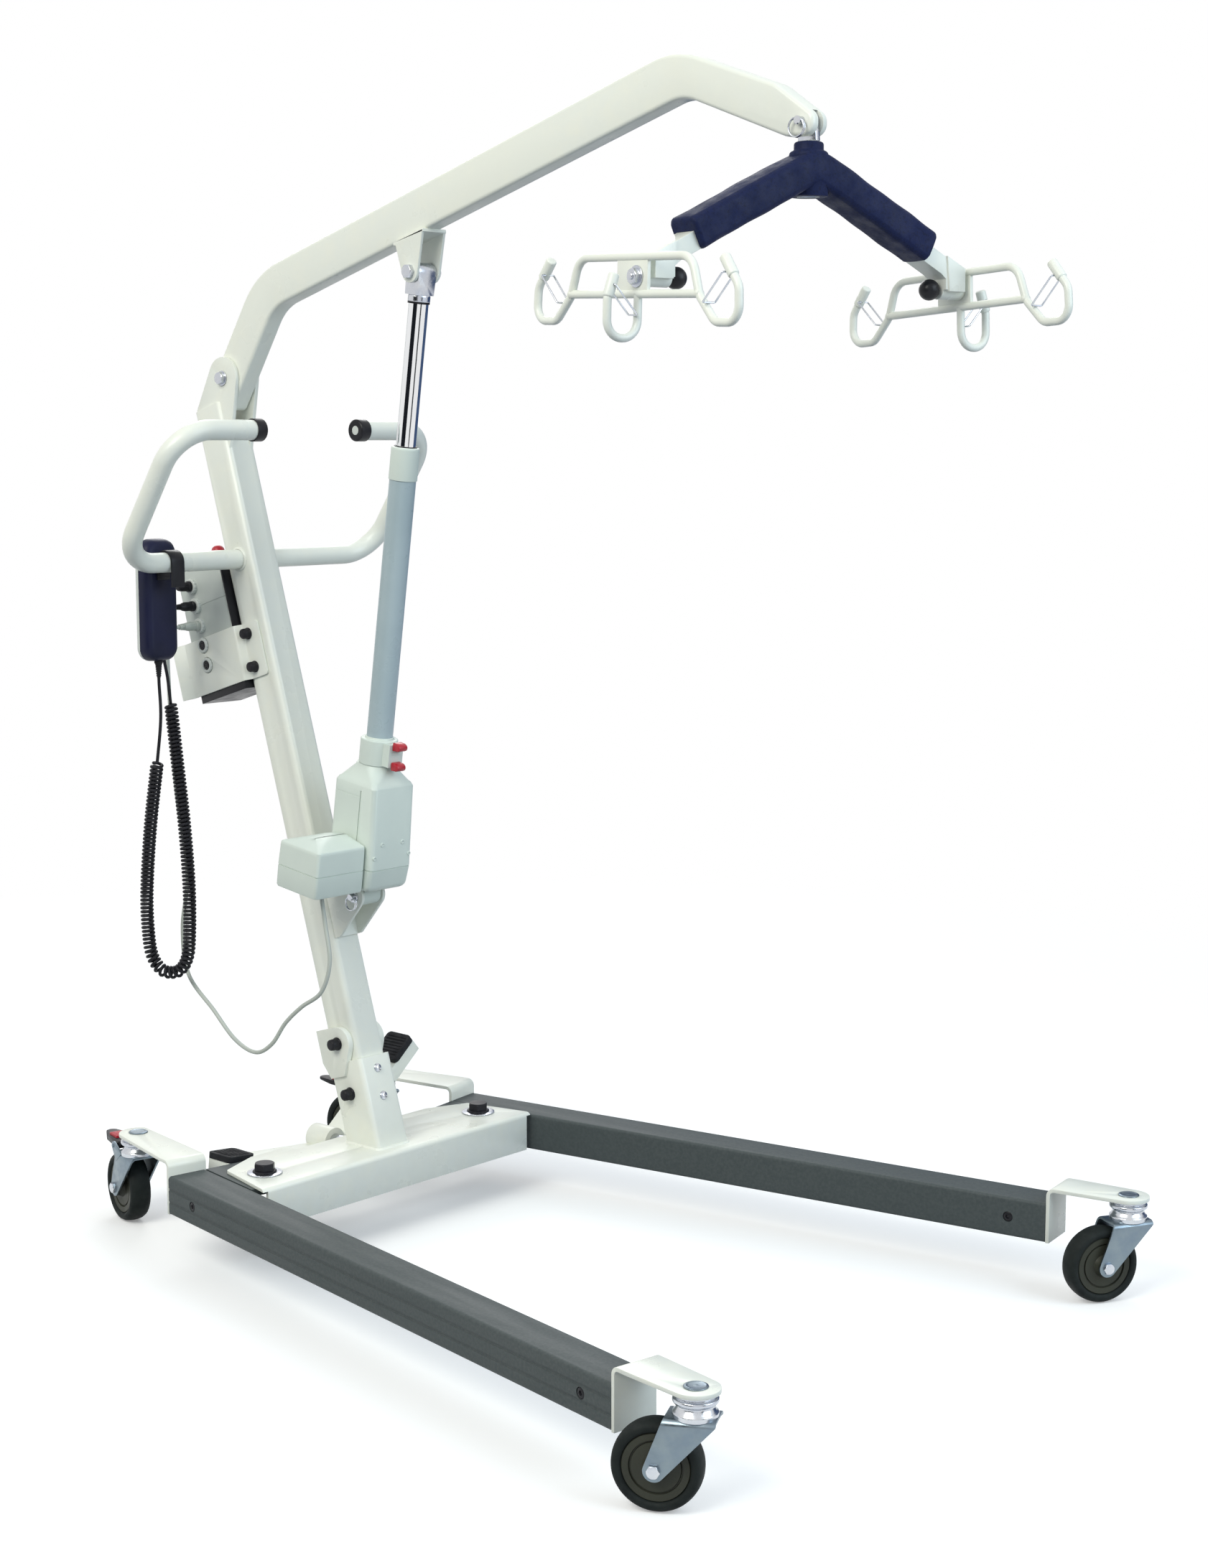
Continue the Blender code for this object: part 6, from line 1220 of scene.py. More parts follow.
def make_rod():
    neck = 0.834
    on_rod = partial(make, body="actuator_rod", at=ACTUATOR)
    on_rod("piston_rod", turned([(0.0135, 0.44), (0.0135, neck - 0.009)], 64), CHROME, "actuator_rod")
    head = [(0.0146, neck - 0.0095), (0.015, neck - 0.0085), (0.015, neck - 0.002), (0.0142, neck)]
    eye = circle(0.0125, 48, (0.0, ACTUATOR_LENGTH))
    tongue = prism(hull(eye + [(-0.011, neck - 0.0005), (0.011, neck - 0.0005)]), -0.016, 0.016, "Y")
    on_rod("piston_head", turned(head, 64, soft=0.0006), ZINC, add=[tongue], bevel=0.0006)
    guard = rectangle(0.013, 0.0149, neck - 0.012, neck - 0.0094)
    on_rod("piston_guard", turned(guard, closed=True), BLACK)


# Control box, its bracket, plugs and the stop button


def socket_at(index, y=0.0):
    return spot(-SOCKET_BACK, y, SOCKET_TOP - index * SOCKET_PITCH) @ facing(-1)


def make_control():
    back = -MAST_FACE - GAP
    plate_back, rear = back - 0.0028, back - 0.104
    foot_top = BOX_LOW + 0.016
    wide = (-BOX_HALF, BOX_HALF)
    on_mast("box_cradle", block((plate_back, back), wide, (BOX_LOW, BOX_HIGH)), BLACK, "control_base",
            bevel=0.0016, add=[block((rear, back), wide, (BOX_LOW, foot_top))])
    levels = [
        (foot_top + GAP, 0.0036), (foot_top + 0.0012, 0.00144), (foot_top + 0.004, 0.0),
        (0.81, 0.0), (0.8103, 0.0007), (0.8112, 0.0007), (0.8115, 0.0),
        (BOX_HIGH - 0.006, 0.0), (BOX_HIGH - 0.0028, 0.001), (BOX_HIGH - 0.0008, 0.003), (BOX_HIGH, 0.006),
    ]
    rings = []
    for height, inset in levels:
        outline = rectangle(rear + inset, plate_back - GAP - inset, inset - BOX_HALF, BOX_HALF - inset, 0.006)
        rings.append([(a, b, height) for a, b in outline])
    cuts = [rod(BORE_12, BOX_HIGH - 0.012, BOX_HIGH + 0.1, (STOP_X, 0.0), "Z")]
    vents = [0.7 + k * 0.008 for k in range(6)]
    cuts += [block((rear - 0.01, rear + 0.0012), (-0.022, 0.022), (z, z + 0.003)) for z in vents]
    on_mast("box_shell", loft(rings), BOXGREY, "control_box", cut=cuts)
    collar = [(0.01, 0.0), (0.01, 0.001), (0.0078, 0.0022)]
    on_mast("stop_collar", turned(collar, soft=0.0004), BLACK, lie=spot(STOP_X, 0.0, BOX_HIGH - 0.0008),
            cut=[rod(BORE_12, -0.1, 0.1, along="Z")])
    ring = turned([(0.0112, -0.0005), (0.0112, 0.0046), (0.01, SOCKET_DEPTH)], soft=0.0006)
    core = turned([(0.0064, 0.002), (0.0064, 0.0046), (0.0056, 0.005)], 40)
    blank = turned([
        (0.008, 0.0058), (0.008, 0.01), (0.0068, 0.0112), (0.0068, 0.0215), (0.0055, 0.027), (0.004, 0.028),
    ], soft=0.0007)
    for k in range(5):
        there = partial(on_mast, lie=socket_at(k, -BOX_HALF))
        cuts = pegs(0.0012, 0.001, 0.01, 0.0116, 12)
        if k > 2:
            cuts.append(rod(0.0072, 0.0025, 0.02, along="Z"))
        there("socket_%d" % k, ring, PALE, slot="grey_plastic", cut=cuts)
        if k > 2:
            there("socket_core_%d" % k, core, BLACK, cut=pegs(0.0008, 0.003, 0.01, 0.0034, 6, 10)[:5])
        if k == 0:
            there("socket_blank", blank, BLACK, cut=pegs(0.001, 0.0118, 0.0208, 0.0073, 10))


def make_stop():
    knob = [
        (0.006, -0.006), (0.006, 0.006), (0.0096, 0.0068), (0.01, 0.0085), (0.01, 0.0125),
        (0.0094, 0.0162), (0.0078, 0.0193), (0.0052, 0.0213), (0.0024, 0.022),
    ]
    on_mast("stop_knob", turned(knob, 56), RED, "estop_button", spot(STOP_X, 0.0, BOX_HIGH),
            body="emergency_stop", smooth=45)


def make_holder():
    sheet = 0.003
    mast_y, box_y = (-half - GAP - sheet / 2 for half in (MAST_HALF, BOX_HALF))
    path = [(0.014, mast_y), (-0.0205, mast_y), (-0.027, box_y), (-0.142, box_y), (-0.158, box_y - 0.012)]
    strip = prism(ribbon(path, 0.004, sheet), 0.684, 0.764)
    holes = [(-SOCKET_BACK, SOCKET_TOP - k * SOCKET_PITCH) for k in (3, 4)]
    side_view = prism(rectangle(-0.17, 0.0141, 0.6839, 0.7641, 0.006), -0.1, 0.0, "Y")
    on_mast("box_bracket", strip, WHITE, "control_bracket", bevel=0.0007, keep=[side_view],
            cut=[rod(0.0118, box_y - 0.01, box_y + 0.01, centre) for centre in holes])
    for k, z in enumerate((0.6997, 0.7485)):
        lie = spot(-0.01, mast_y - sheet / 2, z) @ facing(-1)
        bolt_cap("bracket_cap_%d" % k, lie, 0.012, 0.0085)


def make_plug(name, node_name, finish, index, cord_radius):
    face = BOX_HALF + SOCKET_DEPTH + GAP
    shape = [
        (0.0072, 0.0), (0.0075, 0.0012), (0.0075, 0.0045), (0.0066, 0.0052), (0.0066, 0.017),
        (0.0062, 0.0195), (cord_radius + 0.0022, 0.0235),
    ]
    for k in range(3):
        z, r = 0.024 + k * 0.0024, cord_radius + 0.002 - 0.0002 * k
        shape += [(r, z), (r, z + 0.0014), (r - 0.0007, z + 0.0016), (r - 0.0007, z + 0.0022)]
    shape += [(cord_radius + 0.001, 0.0338), (0.0, 0.034)]
    shape = turned([(r, face + z) for r, z in shape])
    flutes = pegs(0.001, face + 0.0068, face + 0.0158, 0.0072, 10)
    return on_mast(name, shape, finish, node_name, socket_at(index), smooth=40, cut=flutes)


# Handset


def handset_shell(levels):
    """Rounded outlines at distances behind the lift's front, drawn in a little at the waist."""
    half = 0.029
    rings = []
    for x, inset in levels:
        outline = rectangle(
            HANDSET_Y - half + inset, HANDSET_Y + half - inset, HANDSET_LOW + inset, HANDSET_HIGH - inset,
            0.019 - inset * 0.4, radians(7.5),
        )
        ring = []
        for y, z in outline:
            share = (z - HANDSET_LOW) / (HANDSET_HIGH - HANDSET_LOW)
            pinch = 0.0032 * sin(pi * min(1.0, max(0.0, share))) ** 2
            ring.append((x, y - (y - HANDSET_Y) / half * pinch, z))
        rings.append(ring)
    return loft(rings)


def make_handset():
    back = HANDSET_BACK
    front = back - 0.03
    split = front + 0.0105
    face = [(front, 0.0062), (front + 0.0008, 0.0042), (front + 0.0024, 0.002), (front + 0.005, 0.0006)]
    face += [(front + 0.008, 0.0), (split, 0.0)]
    rest = [(split + 0.0006, 0.0), (back - 0.012, 0.0004), (back - 0.007, 0.0014), (back - 0.0035, 0.0034)]
    rest += [(back - 0.0012, 0.0062), (back, 0.0095)]
    key_z = 0.905
    across, upright = (HANDSET_Y - 0.0136, HANDSET_Y + 0.0136), (key_z - 0.0286, key_z + 0.0286)
    pocket = block((front - 0.01, front + 0.004), across, upright)
    make("handset_face", handset_shell(face), PALE, "handset", cut=[pocket])
    make("handset_back", handset_shell(rest), NAVY)
    sheet = 0.003
    radius = HANDLE_RADIUS + GAP + sheet / 2
    angles = np.linspace(pi, 0.0, 33)
    arc = [(BAR_X + radius * cos(a), HANDLE_HEIGHT + radius * sin(a)) for a in angles]
    path = [(BAR_X - radius, HANDLE_HEIGHT - 0.02)] + arc + [(BAR_X + radius, HANDLE_HEIGHT - 0.034)]
    outline = offset_line(path, sheet / 2) + offset_line(path, -sheet / 2)[::-1]
    wide = (HANDSET_Y - 0.011, HANDSET_Y + 0.011)
    make("handset_hook", prism(outline, *wide, "Y"), BLACK, slot="navy_plastic", bevel=0.0007,
         add=[block((back - 0.01, back + 0.002), wide, (0.915, 0.935))])
    screw = turned([(0.0024, -0.002), (0.0024, 0.0003), (0.0018, 0.0004), (0.0012, -0.0004)], 28)
    for k, (y, z) in enumerate(((-0.012, 0.838), (0.012, 0.838), (0.0, 0.865))):
        make("handset_screw_%d" % k, screw, BLACK, lie=spot(back - 0.0004, HANDSET_Y + y, z) @ ALONG_X)
    on_key = partial(make, body="handset_key", at=spot(front + 0.0006, HANDSET_Y, key_z))
    rise = 0.028
    upper = [(0.0, rise - 0.001), (-0.0022, rise - 0.0015), (-0.003, rise - 0.004), (-0.0022, 0.012)]
    outline = [(0.0025, 0.0)] + upper + [(-0.0015, 0.0)] + [(x, -z) for x, z in upper[::-1]]
    on_key("rocker_key", prism(outline, -0.013, 0.013, "Y"), BOXGREY, "handset_key", bevel=0.0007)
    corners = ((-0.0045, 0.014), (0.0045, 0.014), (0.0, 0.0205))
    up, down = (prism([(y, s * z) for y, z in corners], -0.0034, -0.0022, "X") for s in (1, -1))
    on_key("key_arrows", up, NAVY, add=[down])
    boot = [(0.006, 0.0005), (0.006, -0.003), (0.0052, -0.0042)]
    for k in range(6):
        r, z = 0.0048 - 0.00028 * k, -0.0046 - 0.0031 * k
        boot += [(r, z), (r, z - 0.0019), (r - 0.0008, z - 0.0022), (r - 0.0008, z - 0.0028)]
    boot.append((CORD_RADIUS + 0.0004, -0.024))
    lie = spot(back - 0.015, HANDSET_Y, HANDSET_LOW)
    make("handset_boot", turned(boot, 40), BLACK_RUBBER, lie=lie, smooth=40)


make_boom()
make_hinge_bolt()
make_hang_pin()
make_actuator_bracket()
make_housing()
make_motor()
make_actuator_tube()
make_release()
make_rod()
make_control()
make_stop()
make_holder()
black_plug = make_plug("plug_handset", "handset_plug", BLACK, 1, CORD_RADIUS)
grey_plug = make_plug("plug_actuator", "actuator_plug", CABLE, 2, CABLE_RADIUS)
make_handset()

# Spreader: swivel, steel frame and foam sleeve

ARM_CROSSING = 1.4203
STUB_CROSSING = 1.4143
STUB_HEIGHT = 0.0214
FOAM_WIDTH = 0.046
FOAM_HEIGHT = 0.037
FOAM_REACH = 0.1965
BARREL_START = 0.2032
BARREL_LENGTH = 0.036
ROD = 0.0048
RAIL_LOW = -0.019
RAIL_TOP = 0.0215
RAIL_END = 0.1195
SLEEVE = 0.0063
SIDE_HOOK = [
    (0.0, 0.0215, 0.0), (0.1055, 0.0215, 0.024), (0.1205, -0.021, 0.02), (0.149, -0.049, 0.018),
    (0.19, -0.049, 0.018), (0.188, -0.011, 0.02), (0.163, 0.0185, 0.0),
]
MIDDLE_HOOK = [
    (0.0, -0.019, 0.0), (0.0, -0.0675, 0.02), (0.0415, -0.0675, 0.02), (0.0415, -0.025, 0.016),
    (0.0335, 0.0, 0.0),
]
SIDE_LATCH = ((0.17, 0.003), (0.1368, -0.0285))
MIDDLE_LATCH = ((0.037, -0.01), (0.0064, -0.042))
LATCH_BORE = 0.0014
KNOB = 0.0127

on_spreader = partial(make, body="spreader", at=SPREADER)


def stub_line(offset, out):
    """Height of a line that runs parallel to the arms' steel, at a distance out from the hub."""
    return STUB_CROSSING + offset / cos(ARM_DROP) - out * tan(ARM_DROP)


def both_arms(half):
    return half + [(-y, z) for y, z in half[-2:0:-1]]


def make_swivel():
    low = HUB_LOW - HANG_PIN_Z + 0.0005
    step = HUB_TOP - HANG_PIN_Z + GAP
    half = 0.0042
    shank = [
        (0.0092, low), (0.01, low + 0.0008), (0.01, low + 0.005), (0.006, low + 0.005),
        (0.006, step + 0.0005),
    ]
    eye = hull(circle(0.0118, 56) + [(-0.0133, step), (0.0133, step)])
    lug = read_shape(edges(mesh_object("lug", prism(eye, -half, half, "Y")), 0.0008))
    lie = spot(HUB_X, 0.0, HANG_PIN_Z)
    make("swivel_eye", turned(shank, 40), ZINC, "spreader_swivel", lie, body="hanger",
         add=[lug], cut=[rod(BORE_8, -1.0, 1.0)])


def make_spreader_frame():
    half = STUB_HEIGHT / 2
    end, wide, inner = 0.232, 0.016, BARREL_START - 0.008
    outline = both_arms([
        (0.0, stub_line(half, 0.0)), (end, stub_line(half, end)), (end, CRADLE_AXIS_Z),
        (BARREL_START, CRADLE_AXIS_Z), (BARREL_START, CRADLE_AXIS_Z + KNOB),
        (inner, stub_line(-half, inner)), (0.0, stub_line(-half, 0.0)),
    ])
    root, foot = 0.203, CRADLE_AXIS_Z - 0.002
    cheek = [
        (root, stub_line(half + 0.001, root)), (end + 0.0005, stub_line(half + 0.001, end)),
        (end + 0.0005, foot), (root + 0.004, foot),
    ]
    extra = [rod(0.0135, HUB_LOW, HUB_TOP, along="Z", sides=48)]
    for s in SIDES.values():
        extra.append(prism([(s * y, z) for y, z in cheek], -0.0185, 0.0185, "X"))
        far = s * (BARREL_START + BARREL_LENGTH)
        extra.append(rod(0.011, s * BARREL_START, far, (0.0, CRADLE_AXIS_Z), sides=56))
    body = read_shape(edges(combine("arms", prism(outline, -wide, wide, "X"), add=extra), 0.0011, 3))
    low, high = HUB_LOW - 0.1, HUB_TOP + 0.1
    on_spreader("spreader_arms", body, WHITE, "spreader_frame", smooth=40, cut=[
        rod(BORE_12, low, high, along="Z"), rod(0.012, low, HUB_LOW + 0.0058, along="Z"),
        rod(BORE_8, -1.0, 1.0, (0.0, CRADLE_AXIS_Z)),
    ])


def make_foam():
    """One rounded sleeve swept down both arms, fuller between its edges, with a round collar at the hub."""
    reach, slope = FOAM_REACH * cos(ARM_DROP), tan(ARM_DROP)
    soft = 0.01
    edge = 0.0045
    turns = [pi / 2 * k / 6 for k in range(1, 7)]
    rows = [(y, 0.0) for y in np.linspace(0.0, reach - edge, 40)]
    rows += [(reach - edge + edge * sin(a), edge * (1 - cos(a))) for a in turns]
    rings = []
    for y, inset in [(-y, inset) for y, inset in rows[:0:-1]] + rows:
        along = sqrt(y * y + soft * soft)
        z = ARM_CROSSING - slope * (along - soft * 0.55)
        lean = atan(slope * y / along)
        wave = 0.0004 * sin(61.0 * y) + 0.0003 * sin(143.0 * y + 1.3)
        wide, high = FOAM_WIDTH / 2 - inset + wave, FOAM_HEIGHT / 2 - inset + wave * 0.5
        section = crowned((-wide, wide), (-high, high), 0.0065, 0.001, 8)
        rings.append([(a, y + b * sin(lean), z + b * cos(lean)) for a, b in section])
    collar = [
        (0.0205, HUB_LOW), (0.0222, HUB_LOW + 0.0006), (0.0228, HUB_LOW + 0.0022), (0.0228, 1.434),
        (0.0222, 1.4365), (0.0205, 1.4382), (0.018, 1.4392), (0.0173, 1.4405), (0.0172, 1.4462),
        (0.0166, 1.4478), (0.015, 1.4489), (0.0138, HUB_TOP),
    ]
    half = STUB_HEIGHT / 2 + GAP / cos(ARM_DROP)
    far = FOAM_REACH + FOAM_HEIGHT
    corners = (half, 0.0), (half, far), (-half, far), (-half, 0.0)
    room = prism(both_arms([(out, stub_line(offset, out)) for offset, out in corners]), -0.0163, 0.0163, "X")
    shaft = rod(0.0138, HUB_LOW - 0.1, HUB_TOP + 0.1, along="Z")
    foam = on_spreader("foam_sleeve", loft(rings), FOAM, "spreader_pad", smooth=50,
                       add=[turned(collar, 72)], cut=[room, shaft])


def make_gate(name, key, at, pivot, end):
    """A sprung wire loop from its pivot in the hook's sleeve to its rest on the rod."""
    along = Vector(end) - Vector(pivot)
    half = Vector((0.0, 0.0084, 0.0)) if abs(along.y) < 1e-9 else Vector((0.0084, 0.0, 0.0))
    path = rounded([-half, half, along + half, along - half], 0.0018, closed=True, turn=radians(15))
    full = "%s_%s" % (key, name)
    make("gate_" + full, tube(path, 0.0011, 12, closed=True), ZINC, "latch_" + full, spot(*pivot), at,
         "latch_" + full, smooth=80)


def make_cradle_bolt(name, at):
    """The bolt through a barrel: a ball knob outside it, and a nut on a washer inside the cradle."""
    plate_out = 0.0028
    washer_top = plate_out + 0.0014
    ball = plate_out + BARREL_LENGTH + GAP
    on_bolt = partial(make, body="spreader", at=at)
    middle = 0.0005 - ball - KNOB
    angles = [pi * k / 16 for k in range(1, 15)]
    knob = [(0.0, middle - KNOB)] + [(KNOB * sin(a), middle - KNOB * cos(a)) for a in angles]
    knob += [(0.0058, -ball - 0.0004), (0.0052, -ball)]
    on_bolt("cradle_knob_" + name, turned(knob), BLACK, "cradle_bolt_" + name, smooth=60)
    shank = rod(0.004, -ball - 0.002, plate_out + 0.004, along="Z", sides=32)
    on_bolt("cradle_shank_" + name, shank, ZINC)
    on_bolt("cradle_washer_" + name, turned([(0.0122, plate_out), (0.0122, washer_top)], soft=0.0003), ZINC)
    make_head("cradle_nut_" + name, (0.0082, 0.0062), spot(z=washer_top, turn=0.25), maker=on_bolt)
    stud = [(0.004, 0.0), (0.004, 0.0018), (0.0034, 0.0024)]
    on_bolt("cradle_stud_" + name, turned(stud, 28), ZINC, lie=spot(z=plate_out + 0.0074))


def make_cradle(name):
    side = SIDES[name]
    at = SPREADER @ spot(0.0, side * CRADLE_OUT, CRADLE_AXIS_Z, lean=CRADLE_TILTS[name])
    on_cradle = partial(make, body="cradle_" + name, at=at)

    def smooth_part(part, shape, nodes="", smooth=60, **tools):
        on_cradle(part + "_" + name, shape, SMOOTH_WHITE, nodes, smooth=smooth, **tools)

    lines, latches, bores = {}, {}, {}
    for key, way in (("fore", 1), ("aft", -1)):
        lines[key] = [(CRADLE_SHIFT + way * u, 0.0, v) for u, v, _ in SIDE_HOOK]
        latches[key] = [(CRADLE_SHIFT + way * u, 0.0, v) for u, v in SIDE_LATCH]
        pivot, _ = latches[key]
        bores[key] = rod(LATCH_BORE, -0.02, 0.02, (pivot[0], pivot[2]), sides=12)
    lines["middle"] = [(0.0, side * u, v) for u, v, _ in MIDDLE_HOOK]
    latches["middle"] = [(0.0, side * u, v) for u, v in MIDDLE_LATCH]
    bores["middle"] = rod(LATCH_BORE, -0.02, 0.02, latches["middle"][0][1:], "X", 12)
    bends = {"fore": SIDE_HOOK, "aft": SIDE_HOOK, "middle": MIDDLE_HOOK}
    hooks = {key: rounded(line, [radius for _, _, radius in bends[key]]) for key, line in lines.items()}

    bar = hooks["aft"][::-1][:-1] + hooks["fore"][1:]
    smooth_part("cradle_rod", tube(bar, ROD, 20), "cradle_" + name, cut=[bores["fore"], bores["aft"]])
    ends = [(CRADLE_SHIFT + way * (RAIL_END + 0.001), 0.0, RAIL_LOW) for way in (-1, 1)]
    smooth_part("cradle_rail", tube(ends, ROD, 20), smooth=35)
    smooth_part("cradle_hook", tube(hooks["middle"], ROD, 20), cut=[bores["middle"]])
    span = (CRADLE_SHIFT - 0.0285, CRADLE_SHIFT + 0.0285)
    plate = mesh_object("plate", block(span, (-0.0025, 0.0025), (RAIL_LOW - 0.0015, RAIL_TOP + 0.0015)))
    on_cradle("cradle_plate_" + name, read_shape(edges(plate, 0.0007)), WHITE, cut=[rod(BORE_8, -0.02, 0.02)])
    for key, path in hooks.items():
        end = Vector(path[-1])
        way = (end - Vector(path[-2])).normalized()
        sleeve = tube([end + way * u for u in (-0.025, -0.012, 0.002)], SLEEVE, 28, tips=5)
        smooth_part("sleeve_" + key, sleeve, cut=[bores[key]])
    bead = turned([(0.0, -0.0045), (0.0045, -0.0034), (0.0062, 0.0), (0.0045, 0.0034), (0.0, 0.0045)], 20)
    for k, way in enumerate((1, -1)):
        lie = spot(CRADLE_SHIFT + way * RAIL_END, 0.0, RAIL_LOW) @ ALONG_X
        on_cradle("cradle_weld_%s_%d" % (name, k), bead, WHITE, lie=lie, smooth=80)
    make_cradle_bolt(name, at @ facing(side))
    for key, (pivot, end) in latches.items():
        make_gate(name, key, at, pivot, end)


make_swivel()
make_spreader_frame()
make_foam()
for name in SIDES:
    make_cradle(name)

# Cords, on the routes of their solids

CURL_RADIUS = 0.0074
CURLS = 126
CURL_POINTS = 14
CURL_START = 0.145
CURL_END = 0.16
CABLE_ROUTE = [
    (-0.3185, -0.098, 0.83), (-0.317, -0.101, 0.804), (-0.314, -0.1, 0.708), (-0.306, -0.099, 0.601),
    (-0.287, -0.098, 0.49), (-0.301, -0.098, 0.405), (-0.29, -0.098, 0.338), (-0.233, -0.099, 0.293),
    (-0.186, -0.1, 0.258), (-0.141, -0.1, 0.246), (-0.105, -0.1, 0.264), (-0.076, -0.099, 0.299),
    (-0.045, -0.096, 0.326), (-0.008, -0.092, 0.352), (0.006, -0.088, 0.395), (-0.005, -0.085, 0.445),
]
CORD_ROUTE = [
    (-0.278, -0.148, 0.77), (-0.276, -0.148, 0.72), (-0.283, -0.15, 0.66), (-0.302, -0.151, 0.56),
    (-0.314, -0.151, 0.46), (-0.3135, -0.1495, 0.395), (-0.3085, -0.1465, 0.3665), (-0.2975, -0.141, 0.3505),
    (-0.2845, -0.135, 0.347), (-0.2715, -0.129, 0.351), (-0.261, -0.124, 0.367), (-0.256, -0.1222, 0.396),
    (-0.255, -0.121, 0.47), (-0.262, -0.121, 0.56), (-0.276, -0.121, 0.66),
    (-0.286, -0.12, 0.72), (-0.296, -0.118, 0.77), (-0.308, -0.116, 0.82),
]


def plug_end(index):
    tip = BOX_HALF + SOCKET_DEPTH + 0.034 + 2 * GAP
    return MAST @ Vector((-SOCKET_BACK, -tip, SOCKET_TOP - index * SOCKET_PITCH))


def square_start(point, way, length):
    return [Vector(point), Vector(point) + Vector(way) * length]


def make_cord(name, points, radius, finish, node_name):
    curve = bpy.data.curves.new(name, "CURVE")
    curve.dimensions = "3D"
    curve.bevel_depth = radius
    curve.bevel_resolution = 4
    curve.use_fill_caps = True
    line = curve.splines.new("POLY")
    line.points.add(len(points) - 1)
    for place, point in zip(line.points, points):
        place.co = (*point, 1.0)
    line.use_smooth = True
    curve.materials.append(finish[0])
    item = new_object(name, curve)
    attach(item, "base")
    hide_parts(node_name)


def make_actuator_cable():
    step = 0.006
    last = ACTUATOR @ Vector((0.0, -0.0845, 0.018 - GAP))
    down = (ACTUATOR.to_3x3() @ Vector((0.0, 0.0, -1.0))).normalized()
    start = square_start(plug_end(2), (0.0, -1.0, 0.0), 2 * CABLE_RADIUS)
    end = square_start(last, down, 2 * CABLE_RADIUS)
    points = smooth_route(start + [Vector(p) for p in CABLE_ROUTE] + end[::-1], step)
    middle = [p for p in points[1:-1] if min((p - start[1]).length, (p - end[1]).length) > step]
    points = start + middle + end[::-1]
    make_cord("motor_cable", points, CABLE_RADIUS, CABLE, "actuator_cable")


def curls(stations, place_at):
    side = Vector((1.0, 0.0, 0.0))
    points = []
    for k, s in enumerate(stations):
        way = (place_at(s + 0.002) - place_at(s - 0.002)).normalized()
        side = (side - way * side.dot(way)).normalized()
        grown = min(1.0, 1.6 * k / CURL_POINTS, 1.6 * (len(stations) - 1 - k) / CURL_POINTS)
        grown = grown * grown * (3 - 2 * grown)
        angle = tau * k / CURL_POINTS
        out = side * cos(angle) + way.cross(side) * sin(angle)
        points.append(place_at(s) + out * CURL_RADIUS * grown)
    return points


def curl_stations(first, last, place_at):
    """Places along the route, wider apart where it bends, so that the curls' inner sides keep clear."""
    near = 0.01
    steps = np.linspace(first, last, 400)
    weights = []
    for s in steps:
        a, b, c = (place_at(s + shift) for shift in (-near, 0.0, near))
        bend = ((b - a).normalized() - (c - b).normalized()).length / near
        weights.append(1.0 - min(0.45, bend * CURL_RADIUS))
    grown = np.concatenate([[0.0], np.cumsum((np.array(weights[1:]) + np.array(weights[:-1])) / 2)])
    return np.interp(np.linspace(0.0, grown[-1], CURLS * CURL_POINTS + 1), grown, steps)


def spaced(points, least):
    kept = points[:1]
    for point in points[1:]:
        if (point - kept[-1]).length >= least:
            kept.append(point)
    return kept


def make_handset_cord():
    straight = 2 * CORD_RADIUS
    start = square_start((HANDSET_BACK - 0.015, HANDSET_Y, HANDSET_LOW - GAP), (0.0, 0.0, -1.0), straight)
    end = square_start(plug_end(1), (0.0, -1.0, 0.0), straight)
    whole, place_at = along_line(smooth_route(start + [Vector(p) for p in CORD_ROUTE] + end[::-1], 0.002))
    leave, enter = (np.arange(straight + 0.004, reach - 0.003, 0.006) for reach in (CURL_START, CURL_END))
    coil = curls(curl_stations(CURL_START, whole - CURL_END, place_at), place_at)
    leads = [[place_at(s) for s in stations] for stations in (leave, whole - enter[::-1])]
    points = start + spaced(leads[0] + coil + leads[1], 0.0012) + end[::-1]
    make_cord("curly_cord", points, CORD_RADIUS, CORD, "handset_cord")


make_actuator_cable()
make_handset_cord()

# Floor, backdrop and lights


def seen_rays(tree):
    """One for rays that see a surface, directly or by a mirror or glass, and nought for the rest."""
    rays = add_node(tree, "ShaderNodeLightPath").outputs
    total = rays["Is Camera Ray"]
    for name in ("Is Glossy Ray", "Is Transmission Ray"):
        total = add_node(tree, "ShaderNodeMath", {0: total, 1: rays[name]}, operation="MAXIMUM").outputs[0]
    return total


def mixed(tree, share, first, second):
    return add_node(tree, "ShaderNodeMixShader", {0: share, 1: first, 2: second}).outputs[0]


def make_floor():
    reach = 30.0
    corners = [(x, y, 0.0) for x, y in rectangle(-reach, reach, -reach, reach)]
    floor = mesh_object("floor", (corners, [(0, 1, 2, 3)]))
    paint = Paint("floor", (0.93, 0.93, 0.93), 0.8, specular_ior_level=0.1,
                  emission_color=(1.0, 1.0, 1.0, 1.0), emission_strength=0.2)
    far = paint.add("ShaderNodeVectorMath", {0: paint.place}, operation="LENGTH").outputs["Value"]
    white = paint.add("ShaderNodeEmission", {"Strength": 1.0}).outputs[0]
    seen = mixed(paint.tree, paint.ramp(far, 0.0, 1.0, (0.8, 2.8)), paint.surface.outputs[0], white)
    dull = paint.add("ShaderNodeBsdfDiffuse", {"Color": (0.2, 0.22, 0.25, 1.0)}).outputs[0]
    split = mixed(paint.tree, seen_rays(paint.tree), dull, seen)
    paint.tree.links.new(split, paint.tree.nodes["Material Output"].inputs["Surface"])
    floor.data.materials.append(paint.material)


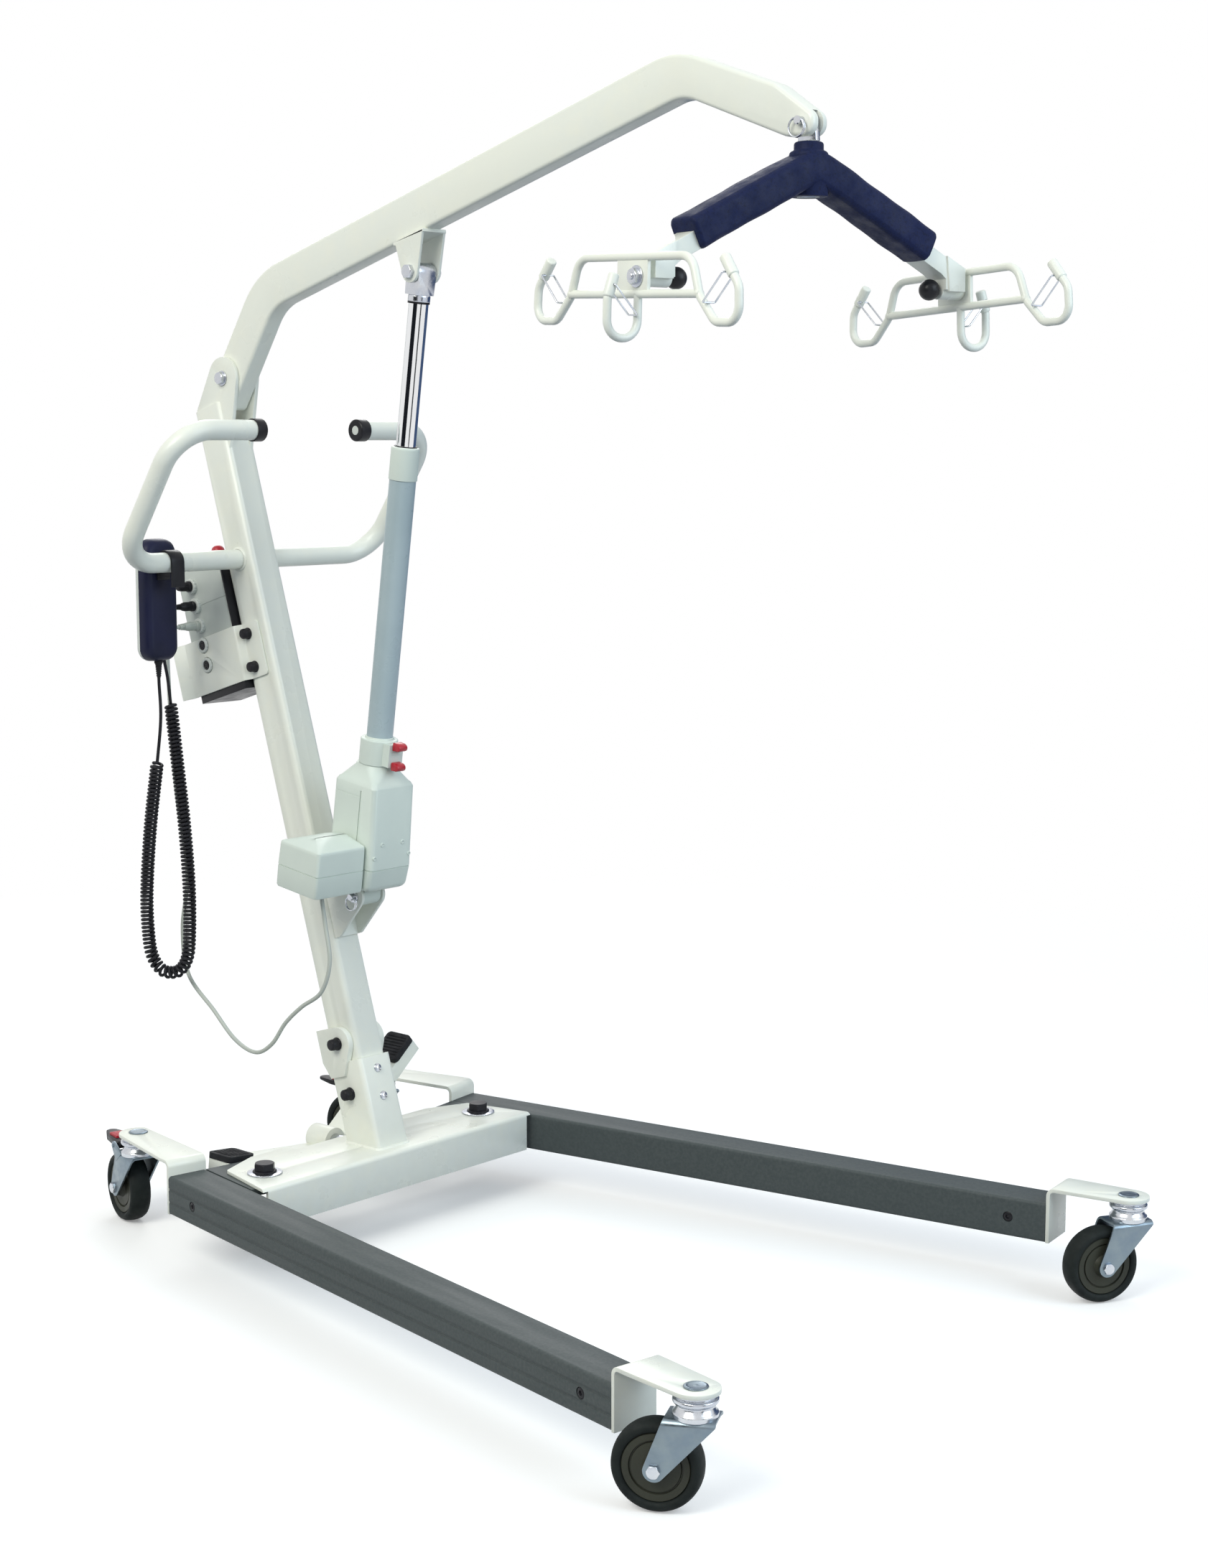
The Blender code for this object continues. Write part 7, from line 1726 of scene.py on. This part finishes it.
def make_world():
    world = bpy.data.worlds.new("studio")
    bpy.context.scene.world = world
    world.use_nodes = True
    tree = world.node_tree
    tree.nodes.clear()
    light, shown = (
        add_node(tree, "ShaderNodeBackground", {"Color": (*colour, 1.0), "Strength": strength}).outputs[0]
        for colour, strength in (((0.92, 0.965, 1.0), 0.56), ((1.0, 1.0, 1.0), 1.0))
    )
    add_node(tree, "ShaderNodeOutputWorld", {"Surface": mixed(tree, seen_rays(tree), light, shown)})


def make_card(name, first, last, shade):
    """A dark card round the lift that only mirror reflections see. It gives bright metal its bands."""
    away, high, count = 4.3, 2.4, 12
    angles = [radians(first + (last - first) * k / count) for k in range(count + 1)]
    points = [(away * cos(a), away * sin(a), z) for a in angles for z in (0.01, high)]
    card = mesh_object(name, (points, [(2 * k, 2 * k + 2, 2 * k + 3, 2 * k + 1) for k in range(count)]))
    material = bpy.data.materials.new(name)
    material.use_nodes = True
    tree = material.node_tree
    tree.nodes.clear()
    clear = add_node(tree, "ShaderNodeBsdfTransparent").outputs[0]
    dark = add_node(tree, "ShaderNodeEmission", {"Color": (*shade, 1.0)}).outputs[0]
    glossy = add_node(tree, "ShaderNodeLightPath").outputs["Is Glossy Ray"]
    add_node(tree, "ShaderNodeOutputMaterial", {"Surface": mixed(tree, glossy, clear, dark)})
    card.data.materials.append(material)


def lamp(name, place, target, size, power, colour=(1.0, 1.0, 1.0)):
    data = bpy.data.lights.new(name, "AREA")
    data.shape = "RECTANGLE"
    data.size, data.size_y = size
    data.energy = power
    data.color = colour
    aimed(data, place, Vector(target) - Vector(place))


make_floor()
make_world()
make_card("card_right", -104, -57, (0.012, 0.014, 0.018))
make_card("card_front", -20, -6, (0.05, 0.055, 0.06))
make_card("card_far", 50, 128, (0.06, 0.1, 0.2))
lamp("key", (0.6, -3.6, 3.4), (0.2, 0.0, 0.7), (2.6, 2.2), 114.0, (1.0, 0.995, 0.91))
lamp("fill", (3.8, 0.6, 2.2), (0.2, 0.0, 0.8), (2.4, 2.4), 66.0, (0.73, 0.88, 1.0))
lamp("rim", (-2.6, 2.4, 3.0), (0.0, 0.0, 0.9), (2.0, 2.0), 38.0)
bpy.context.scene.view_settings.view_transform = "Standard"

bpy.context.view_layer.update()
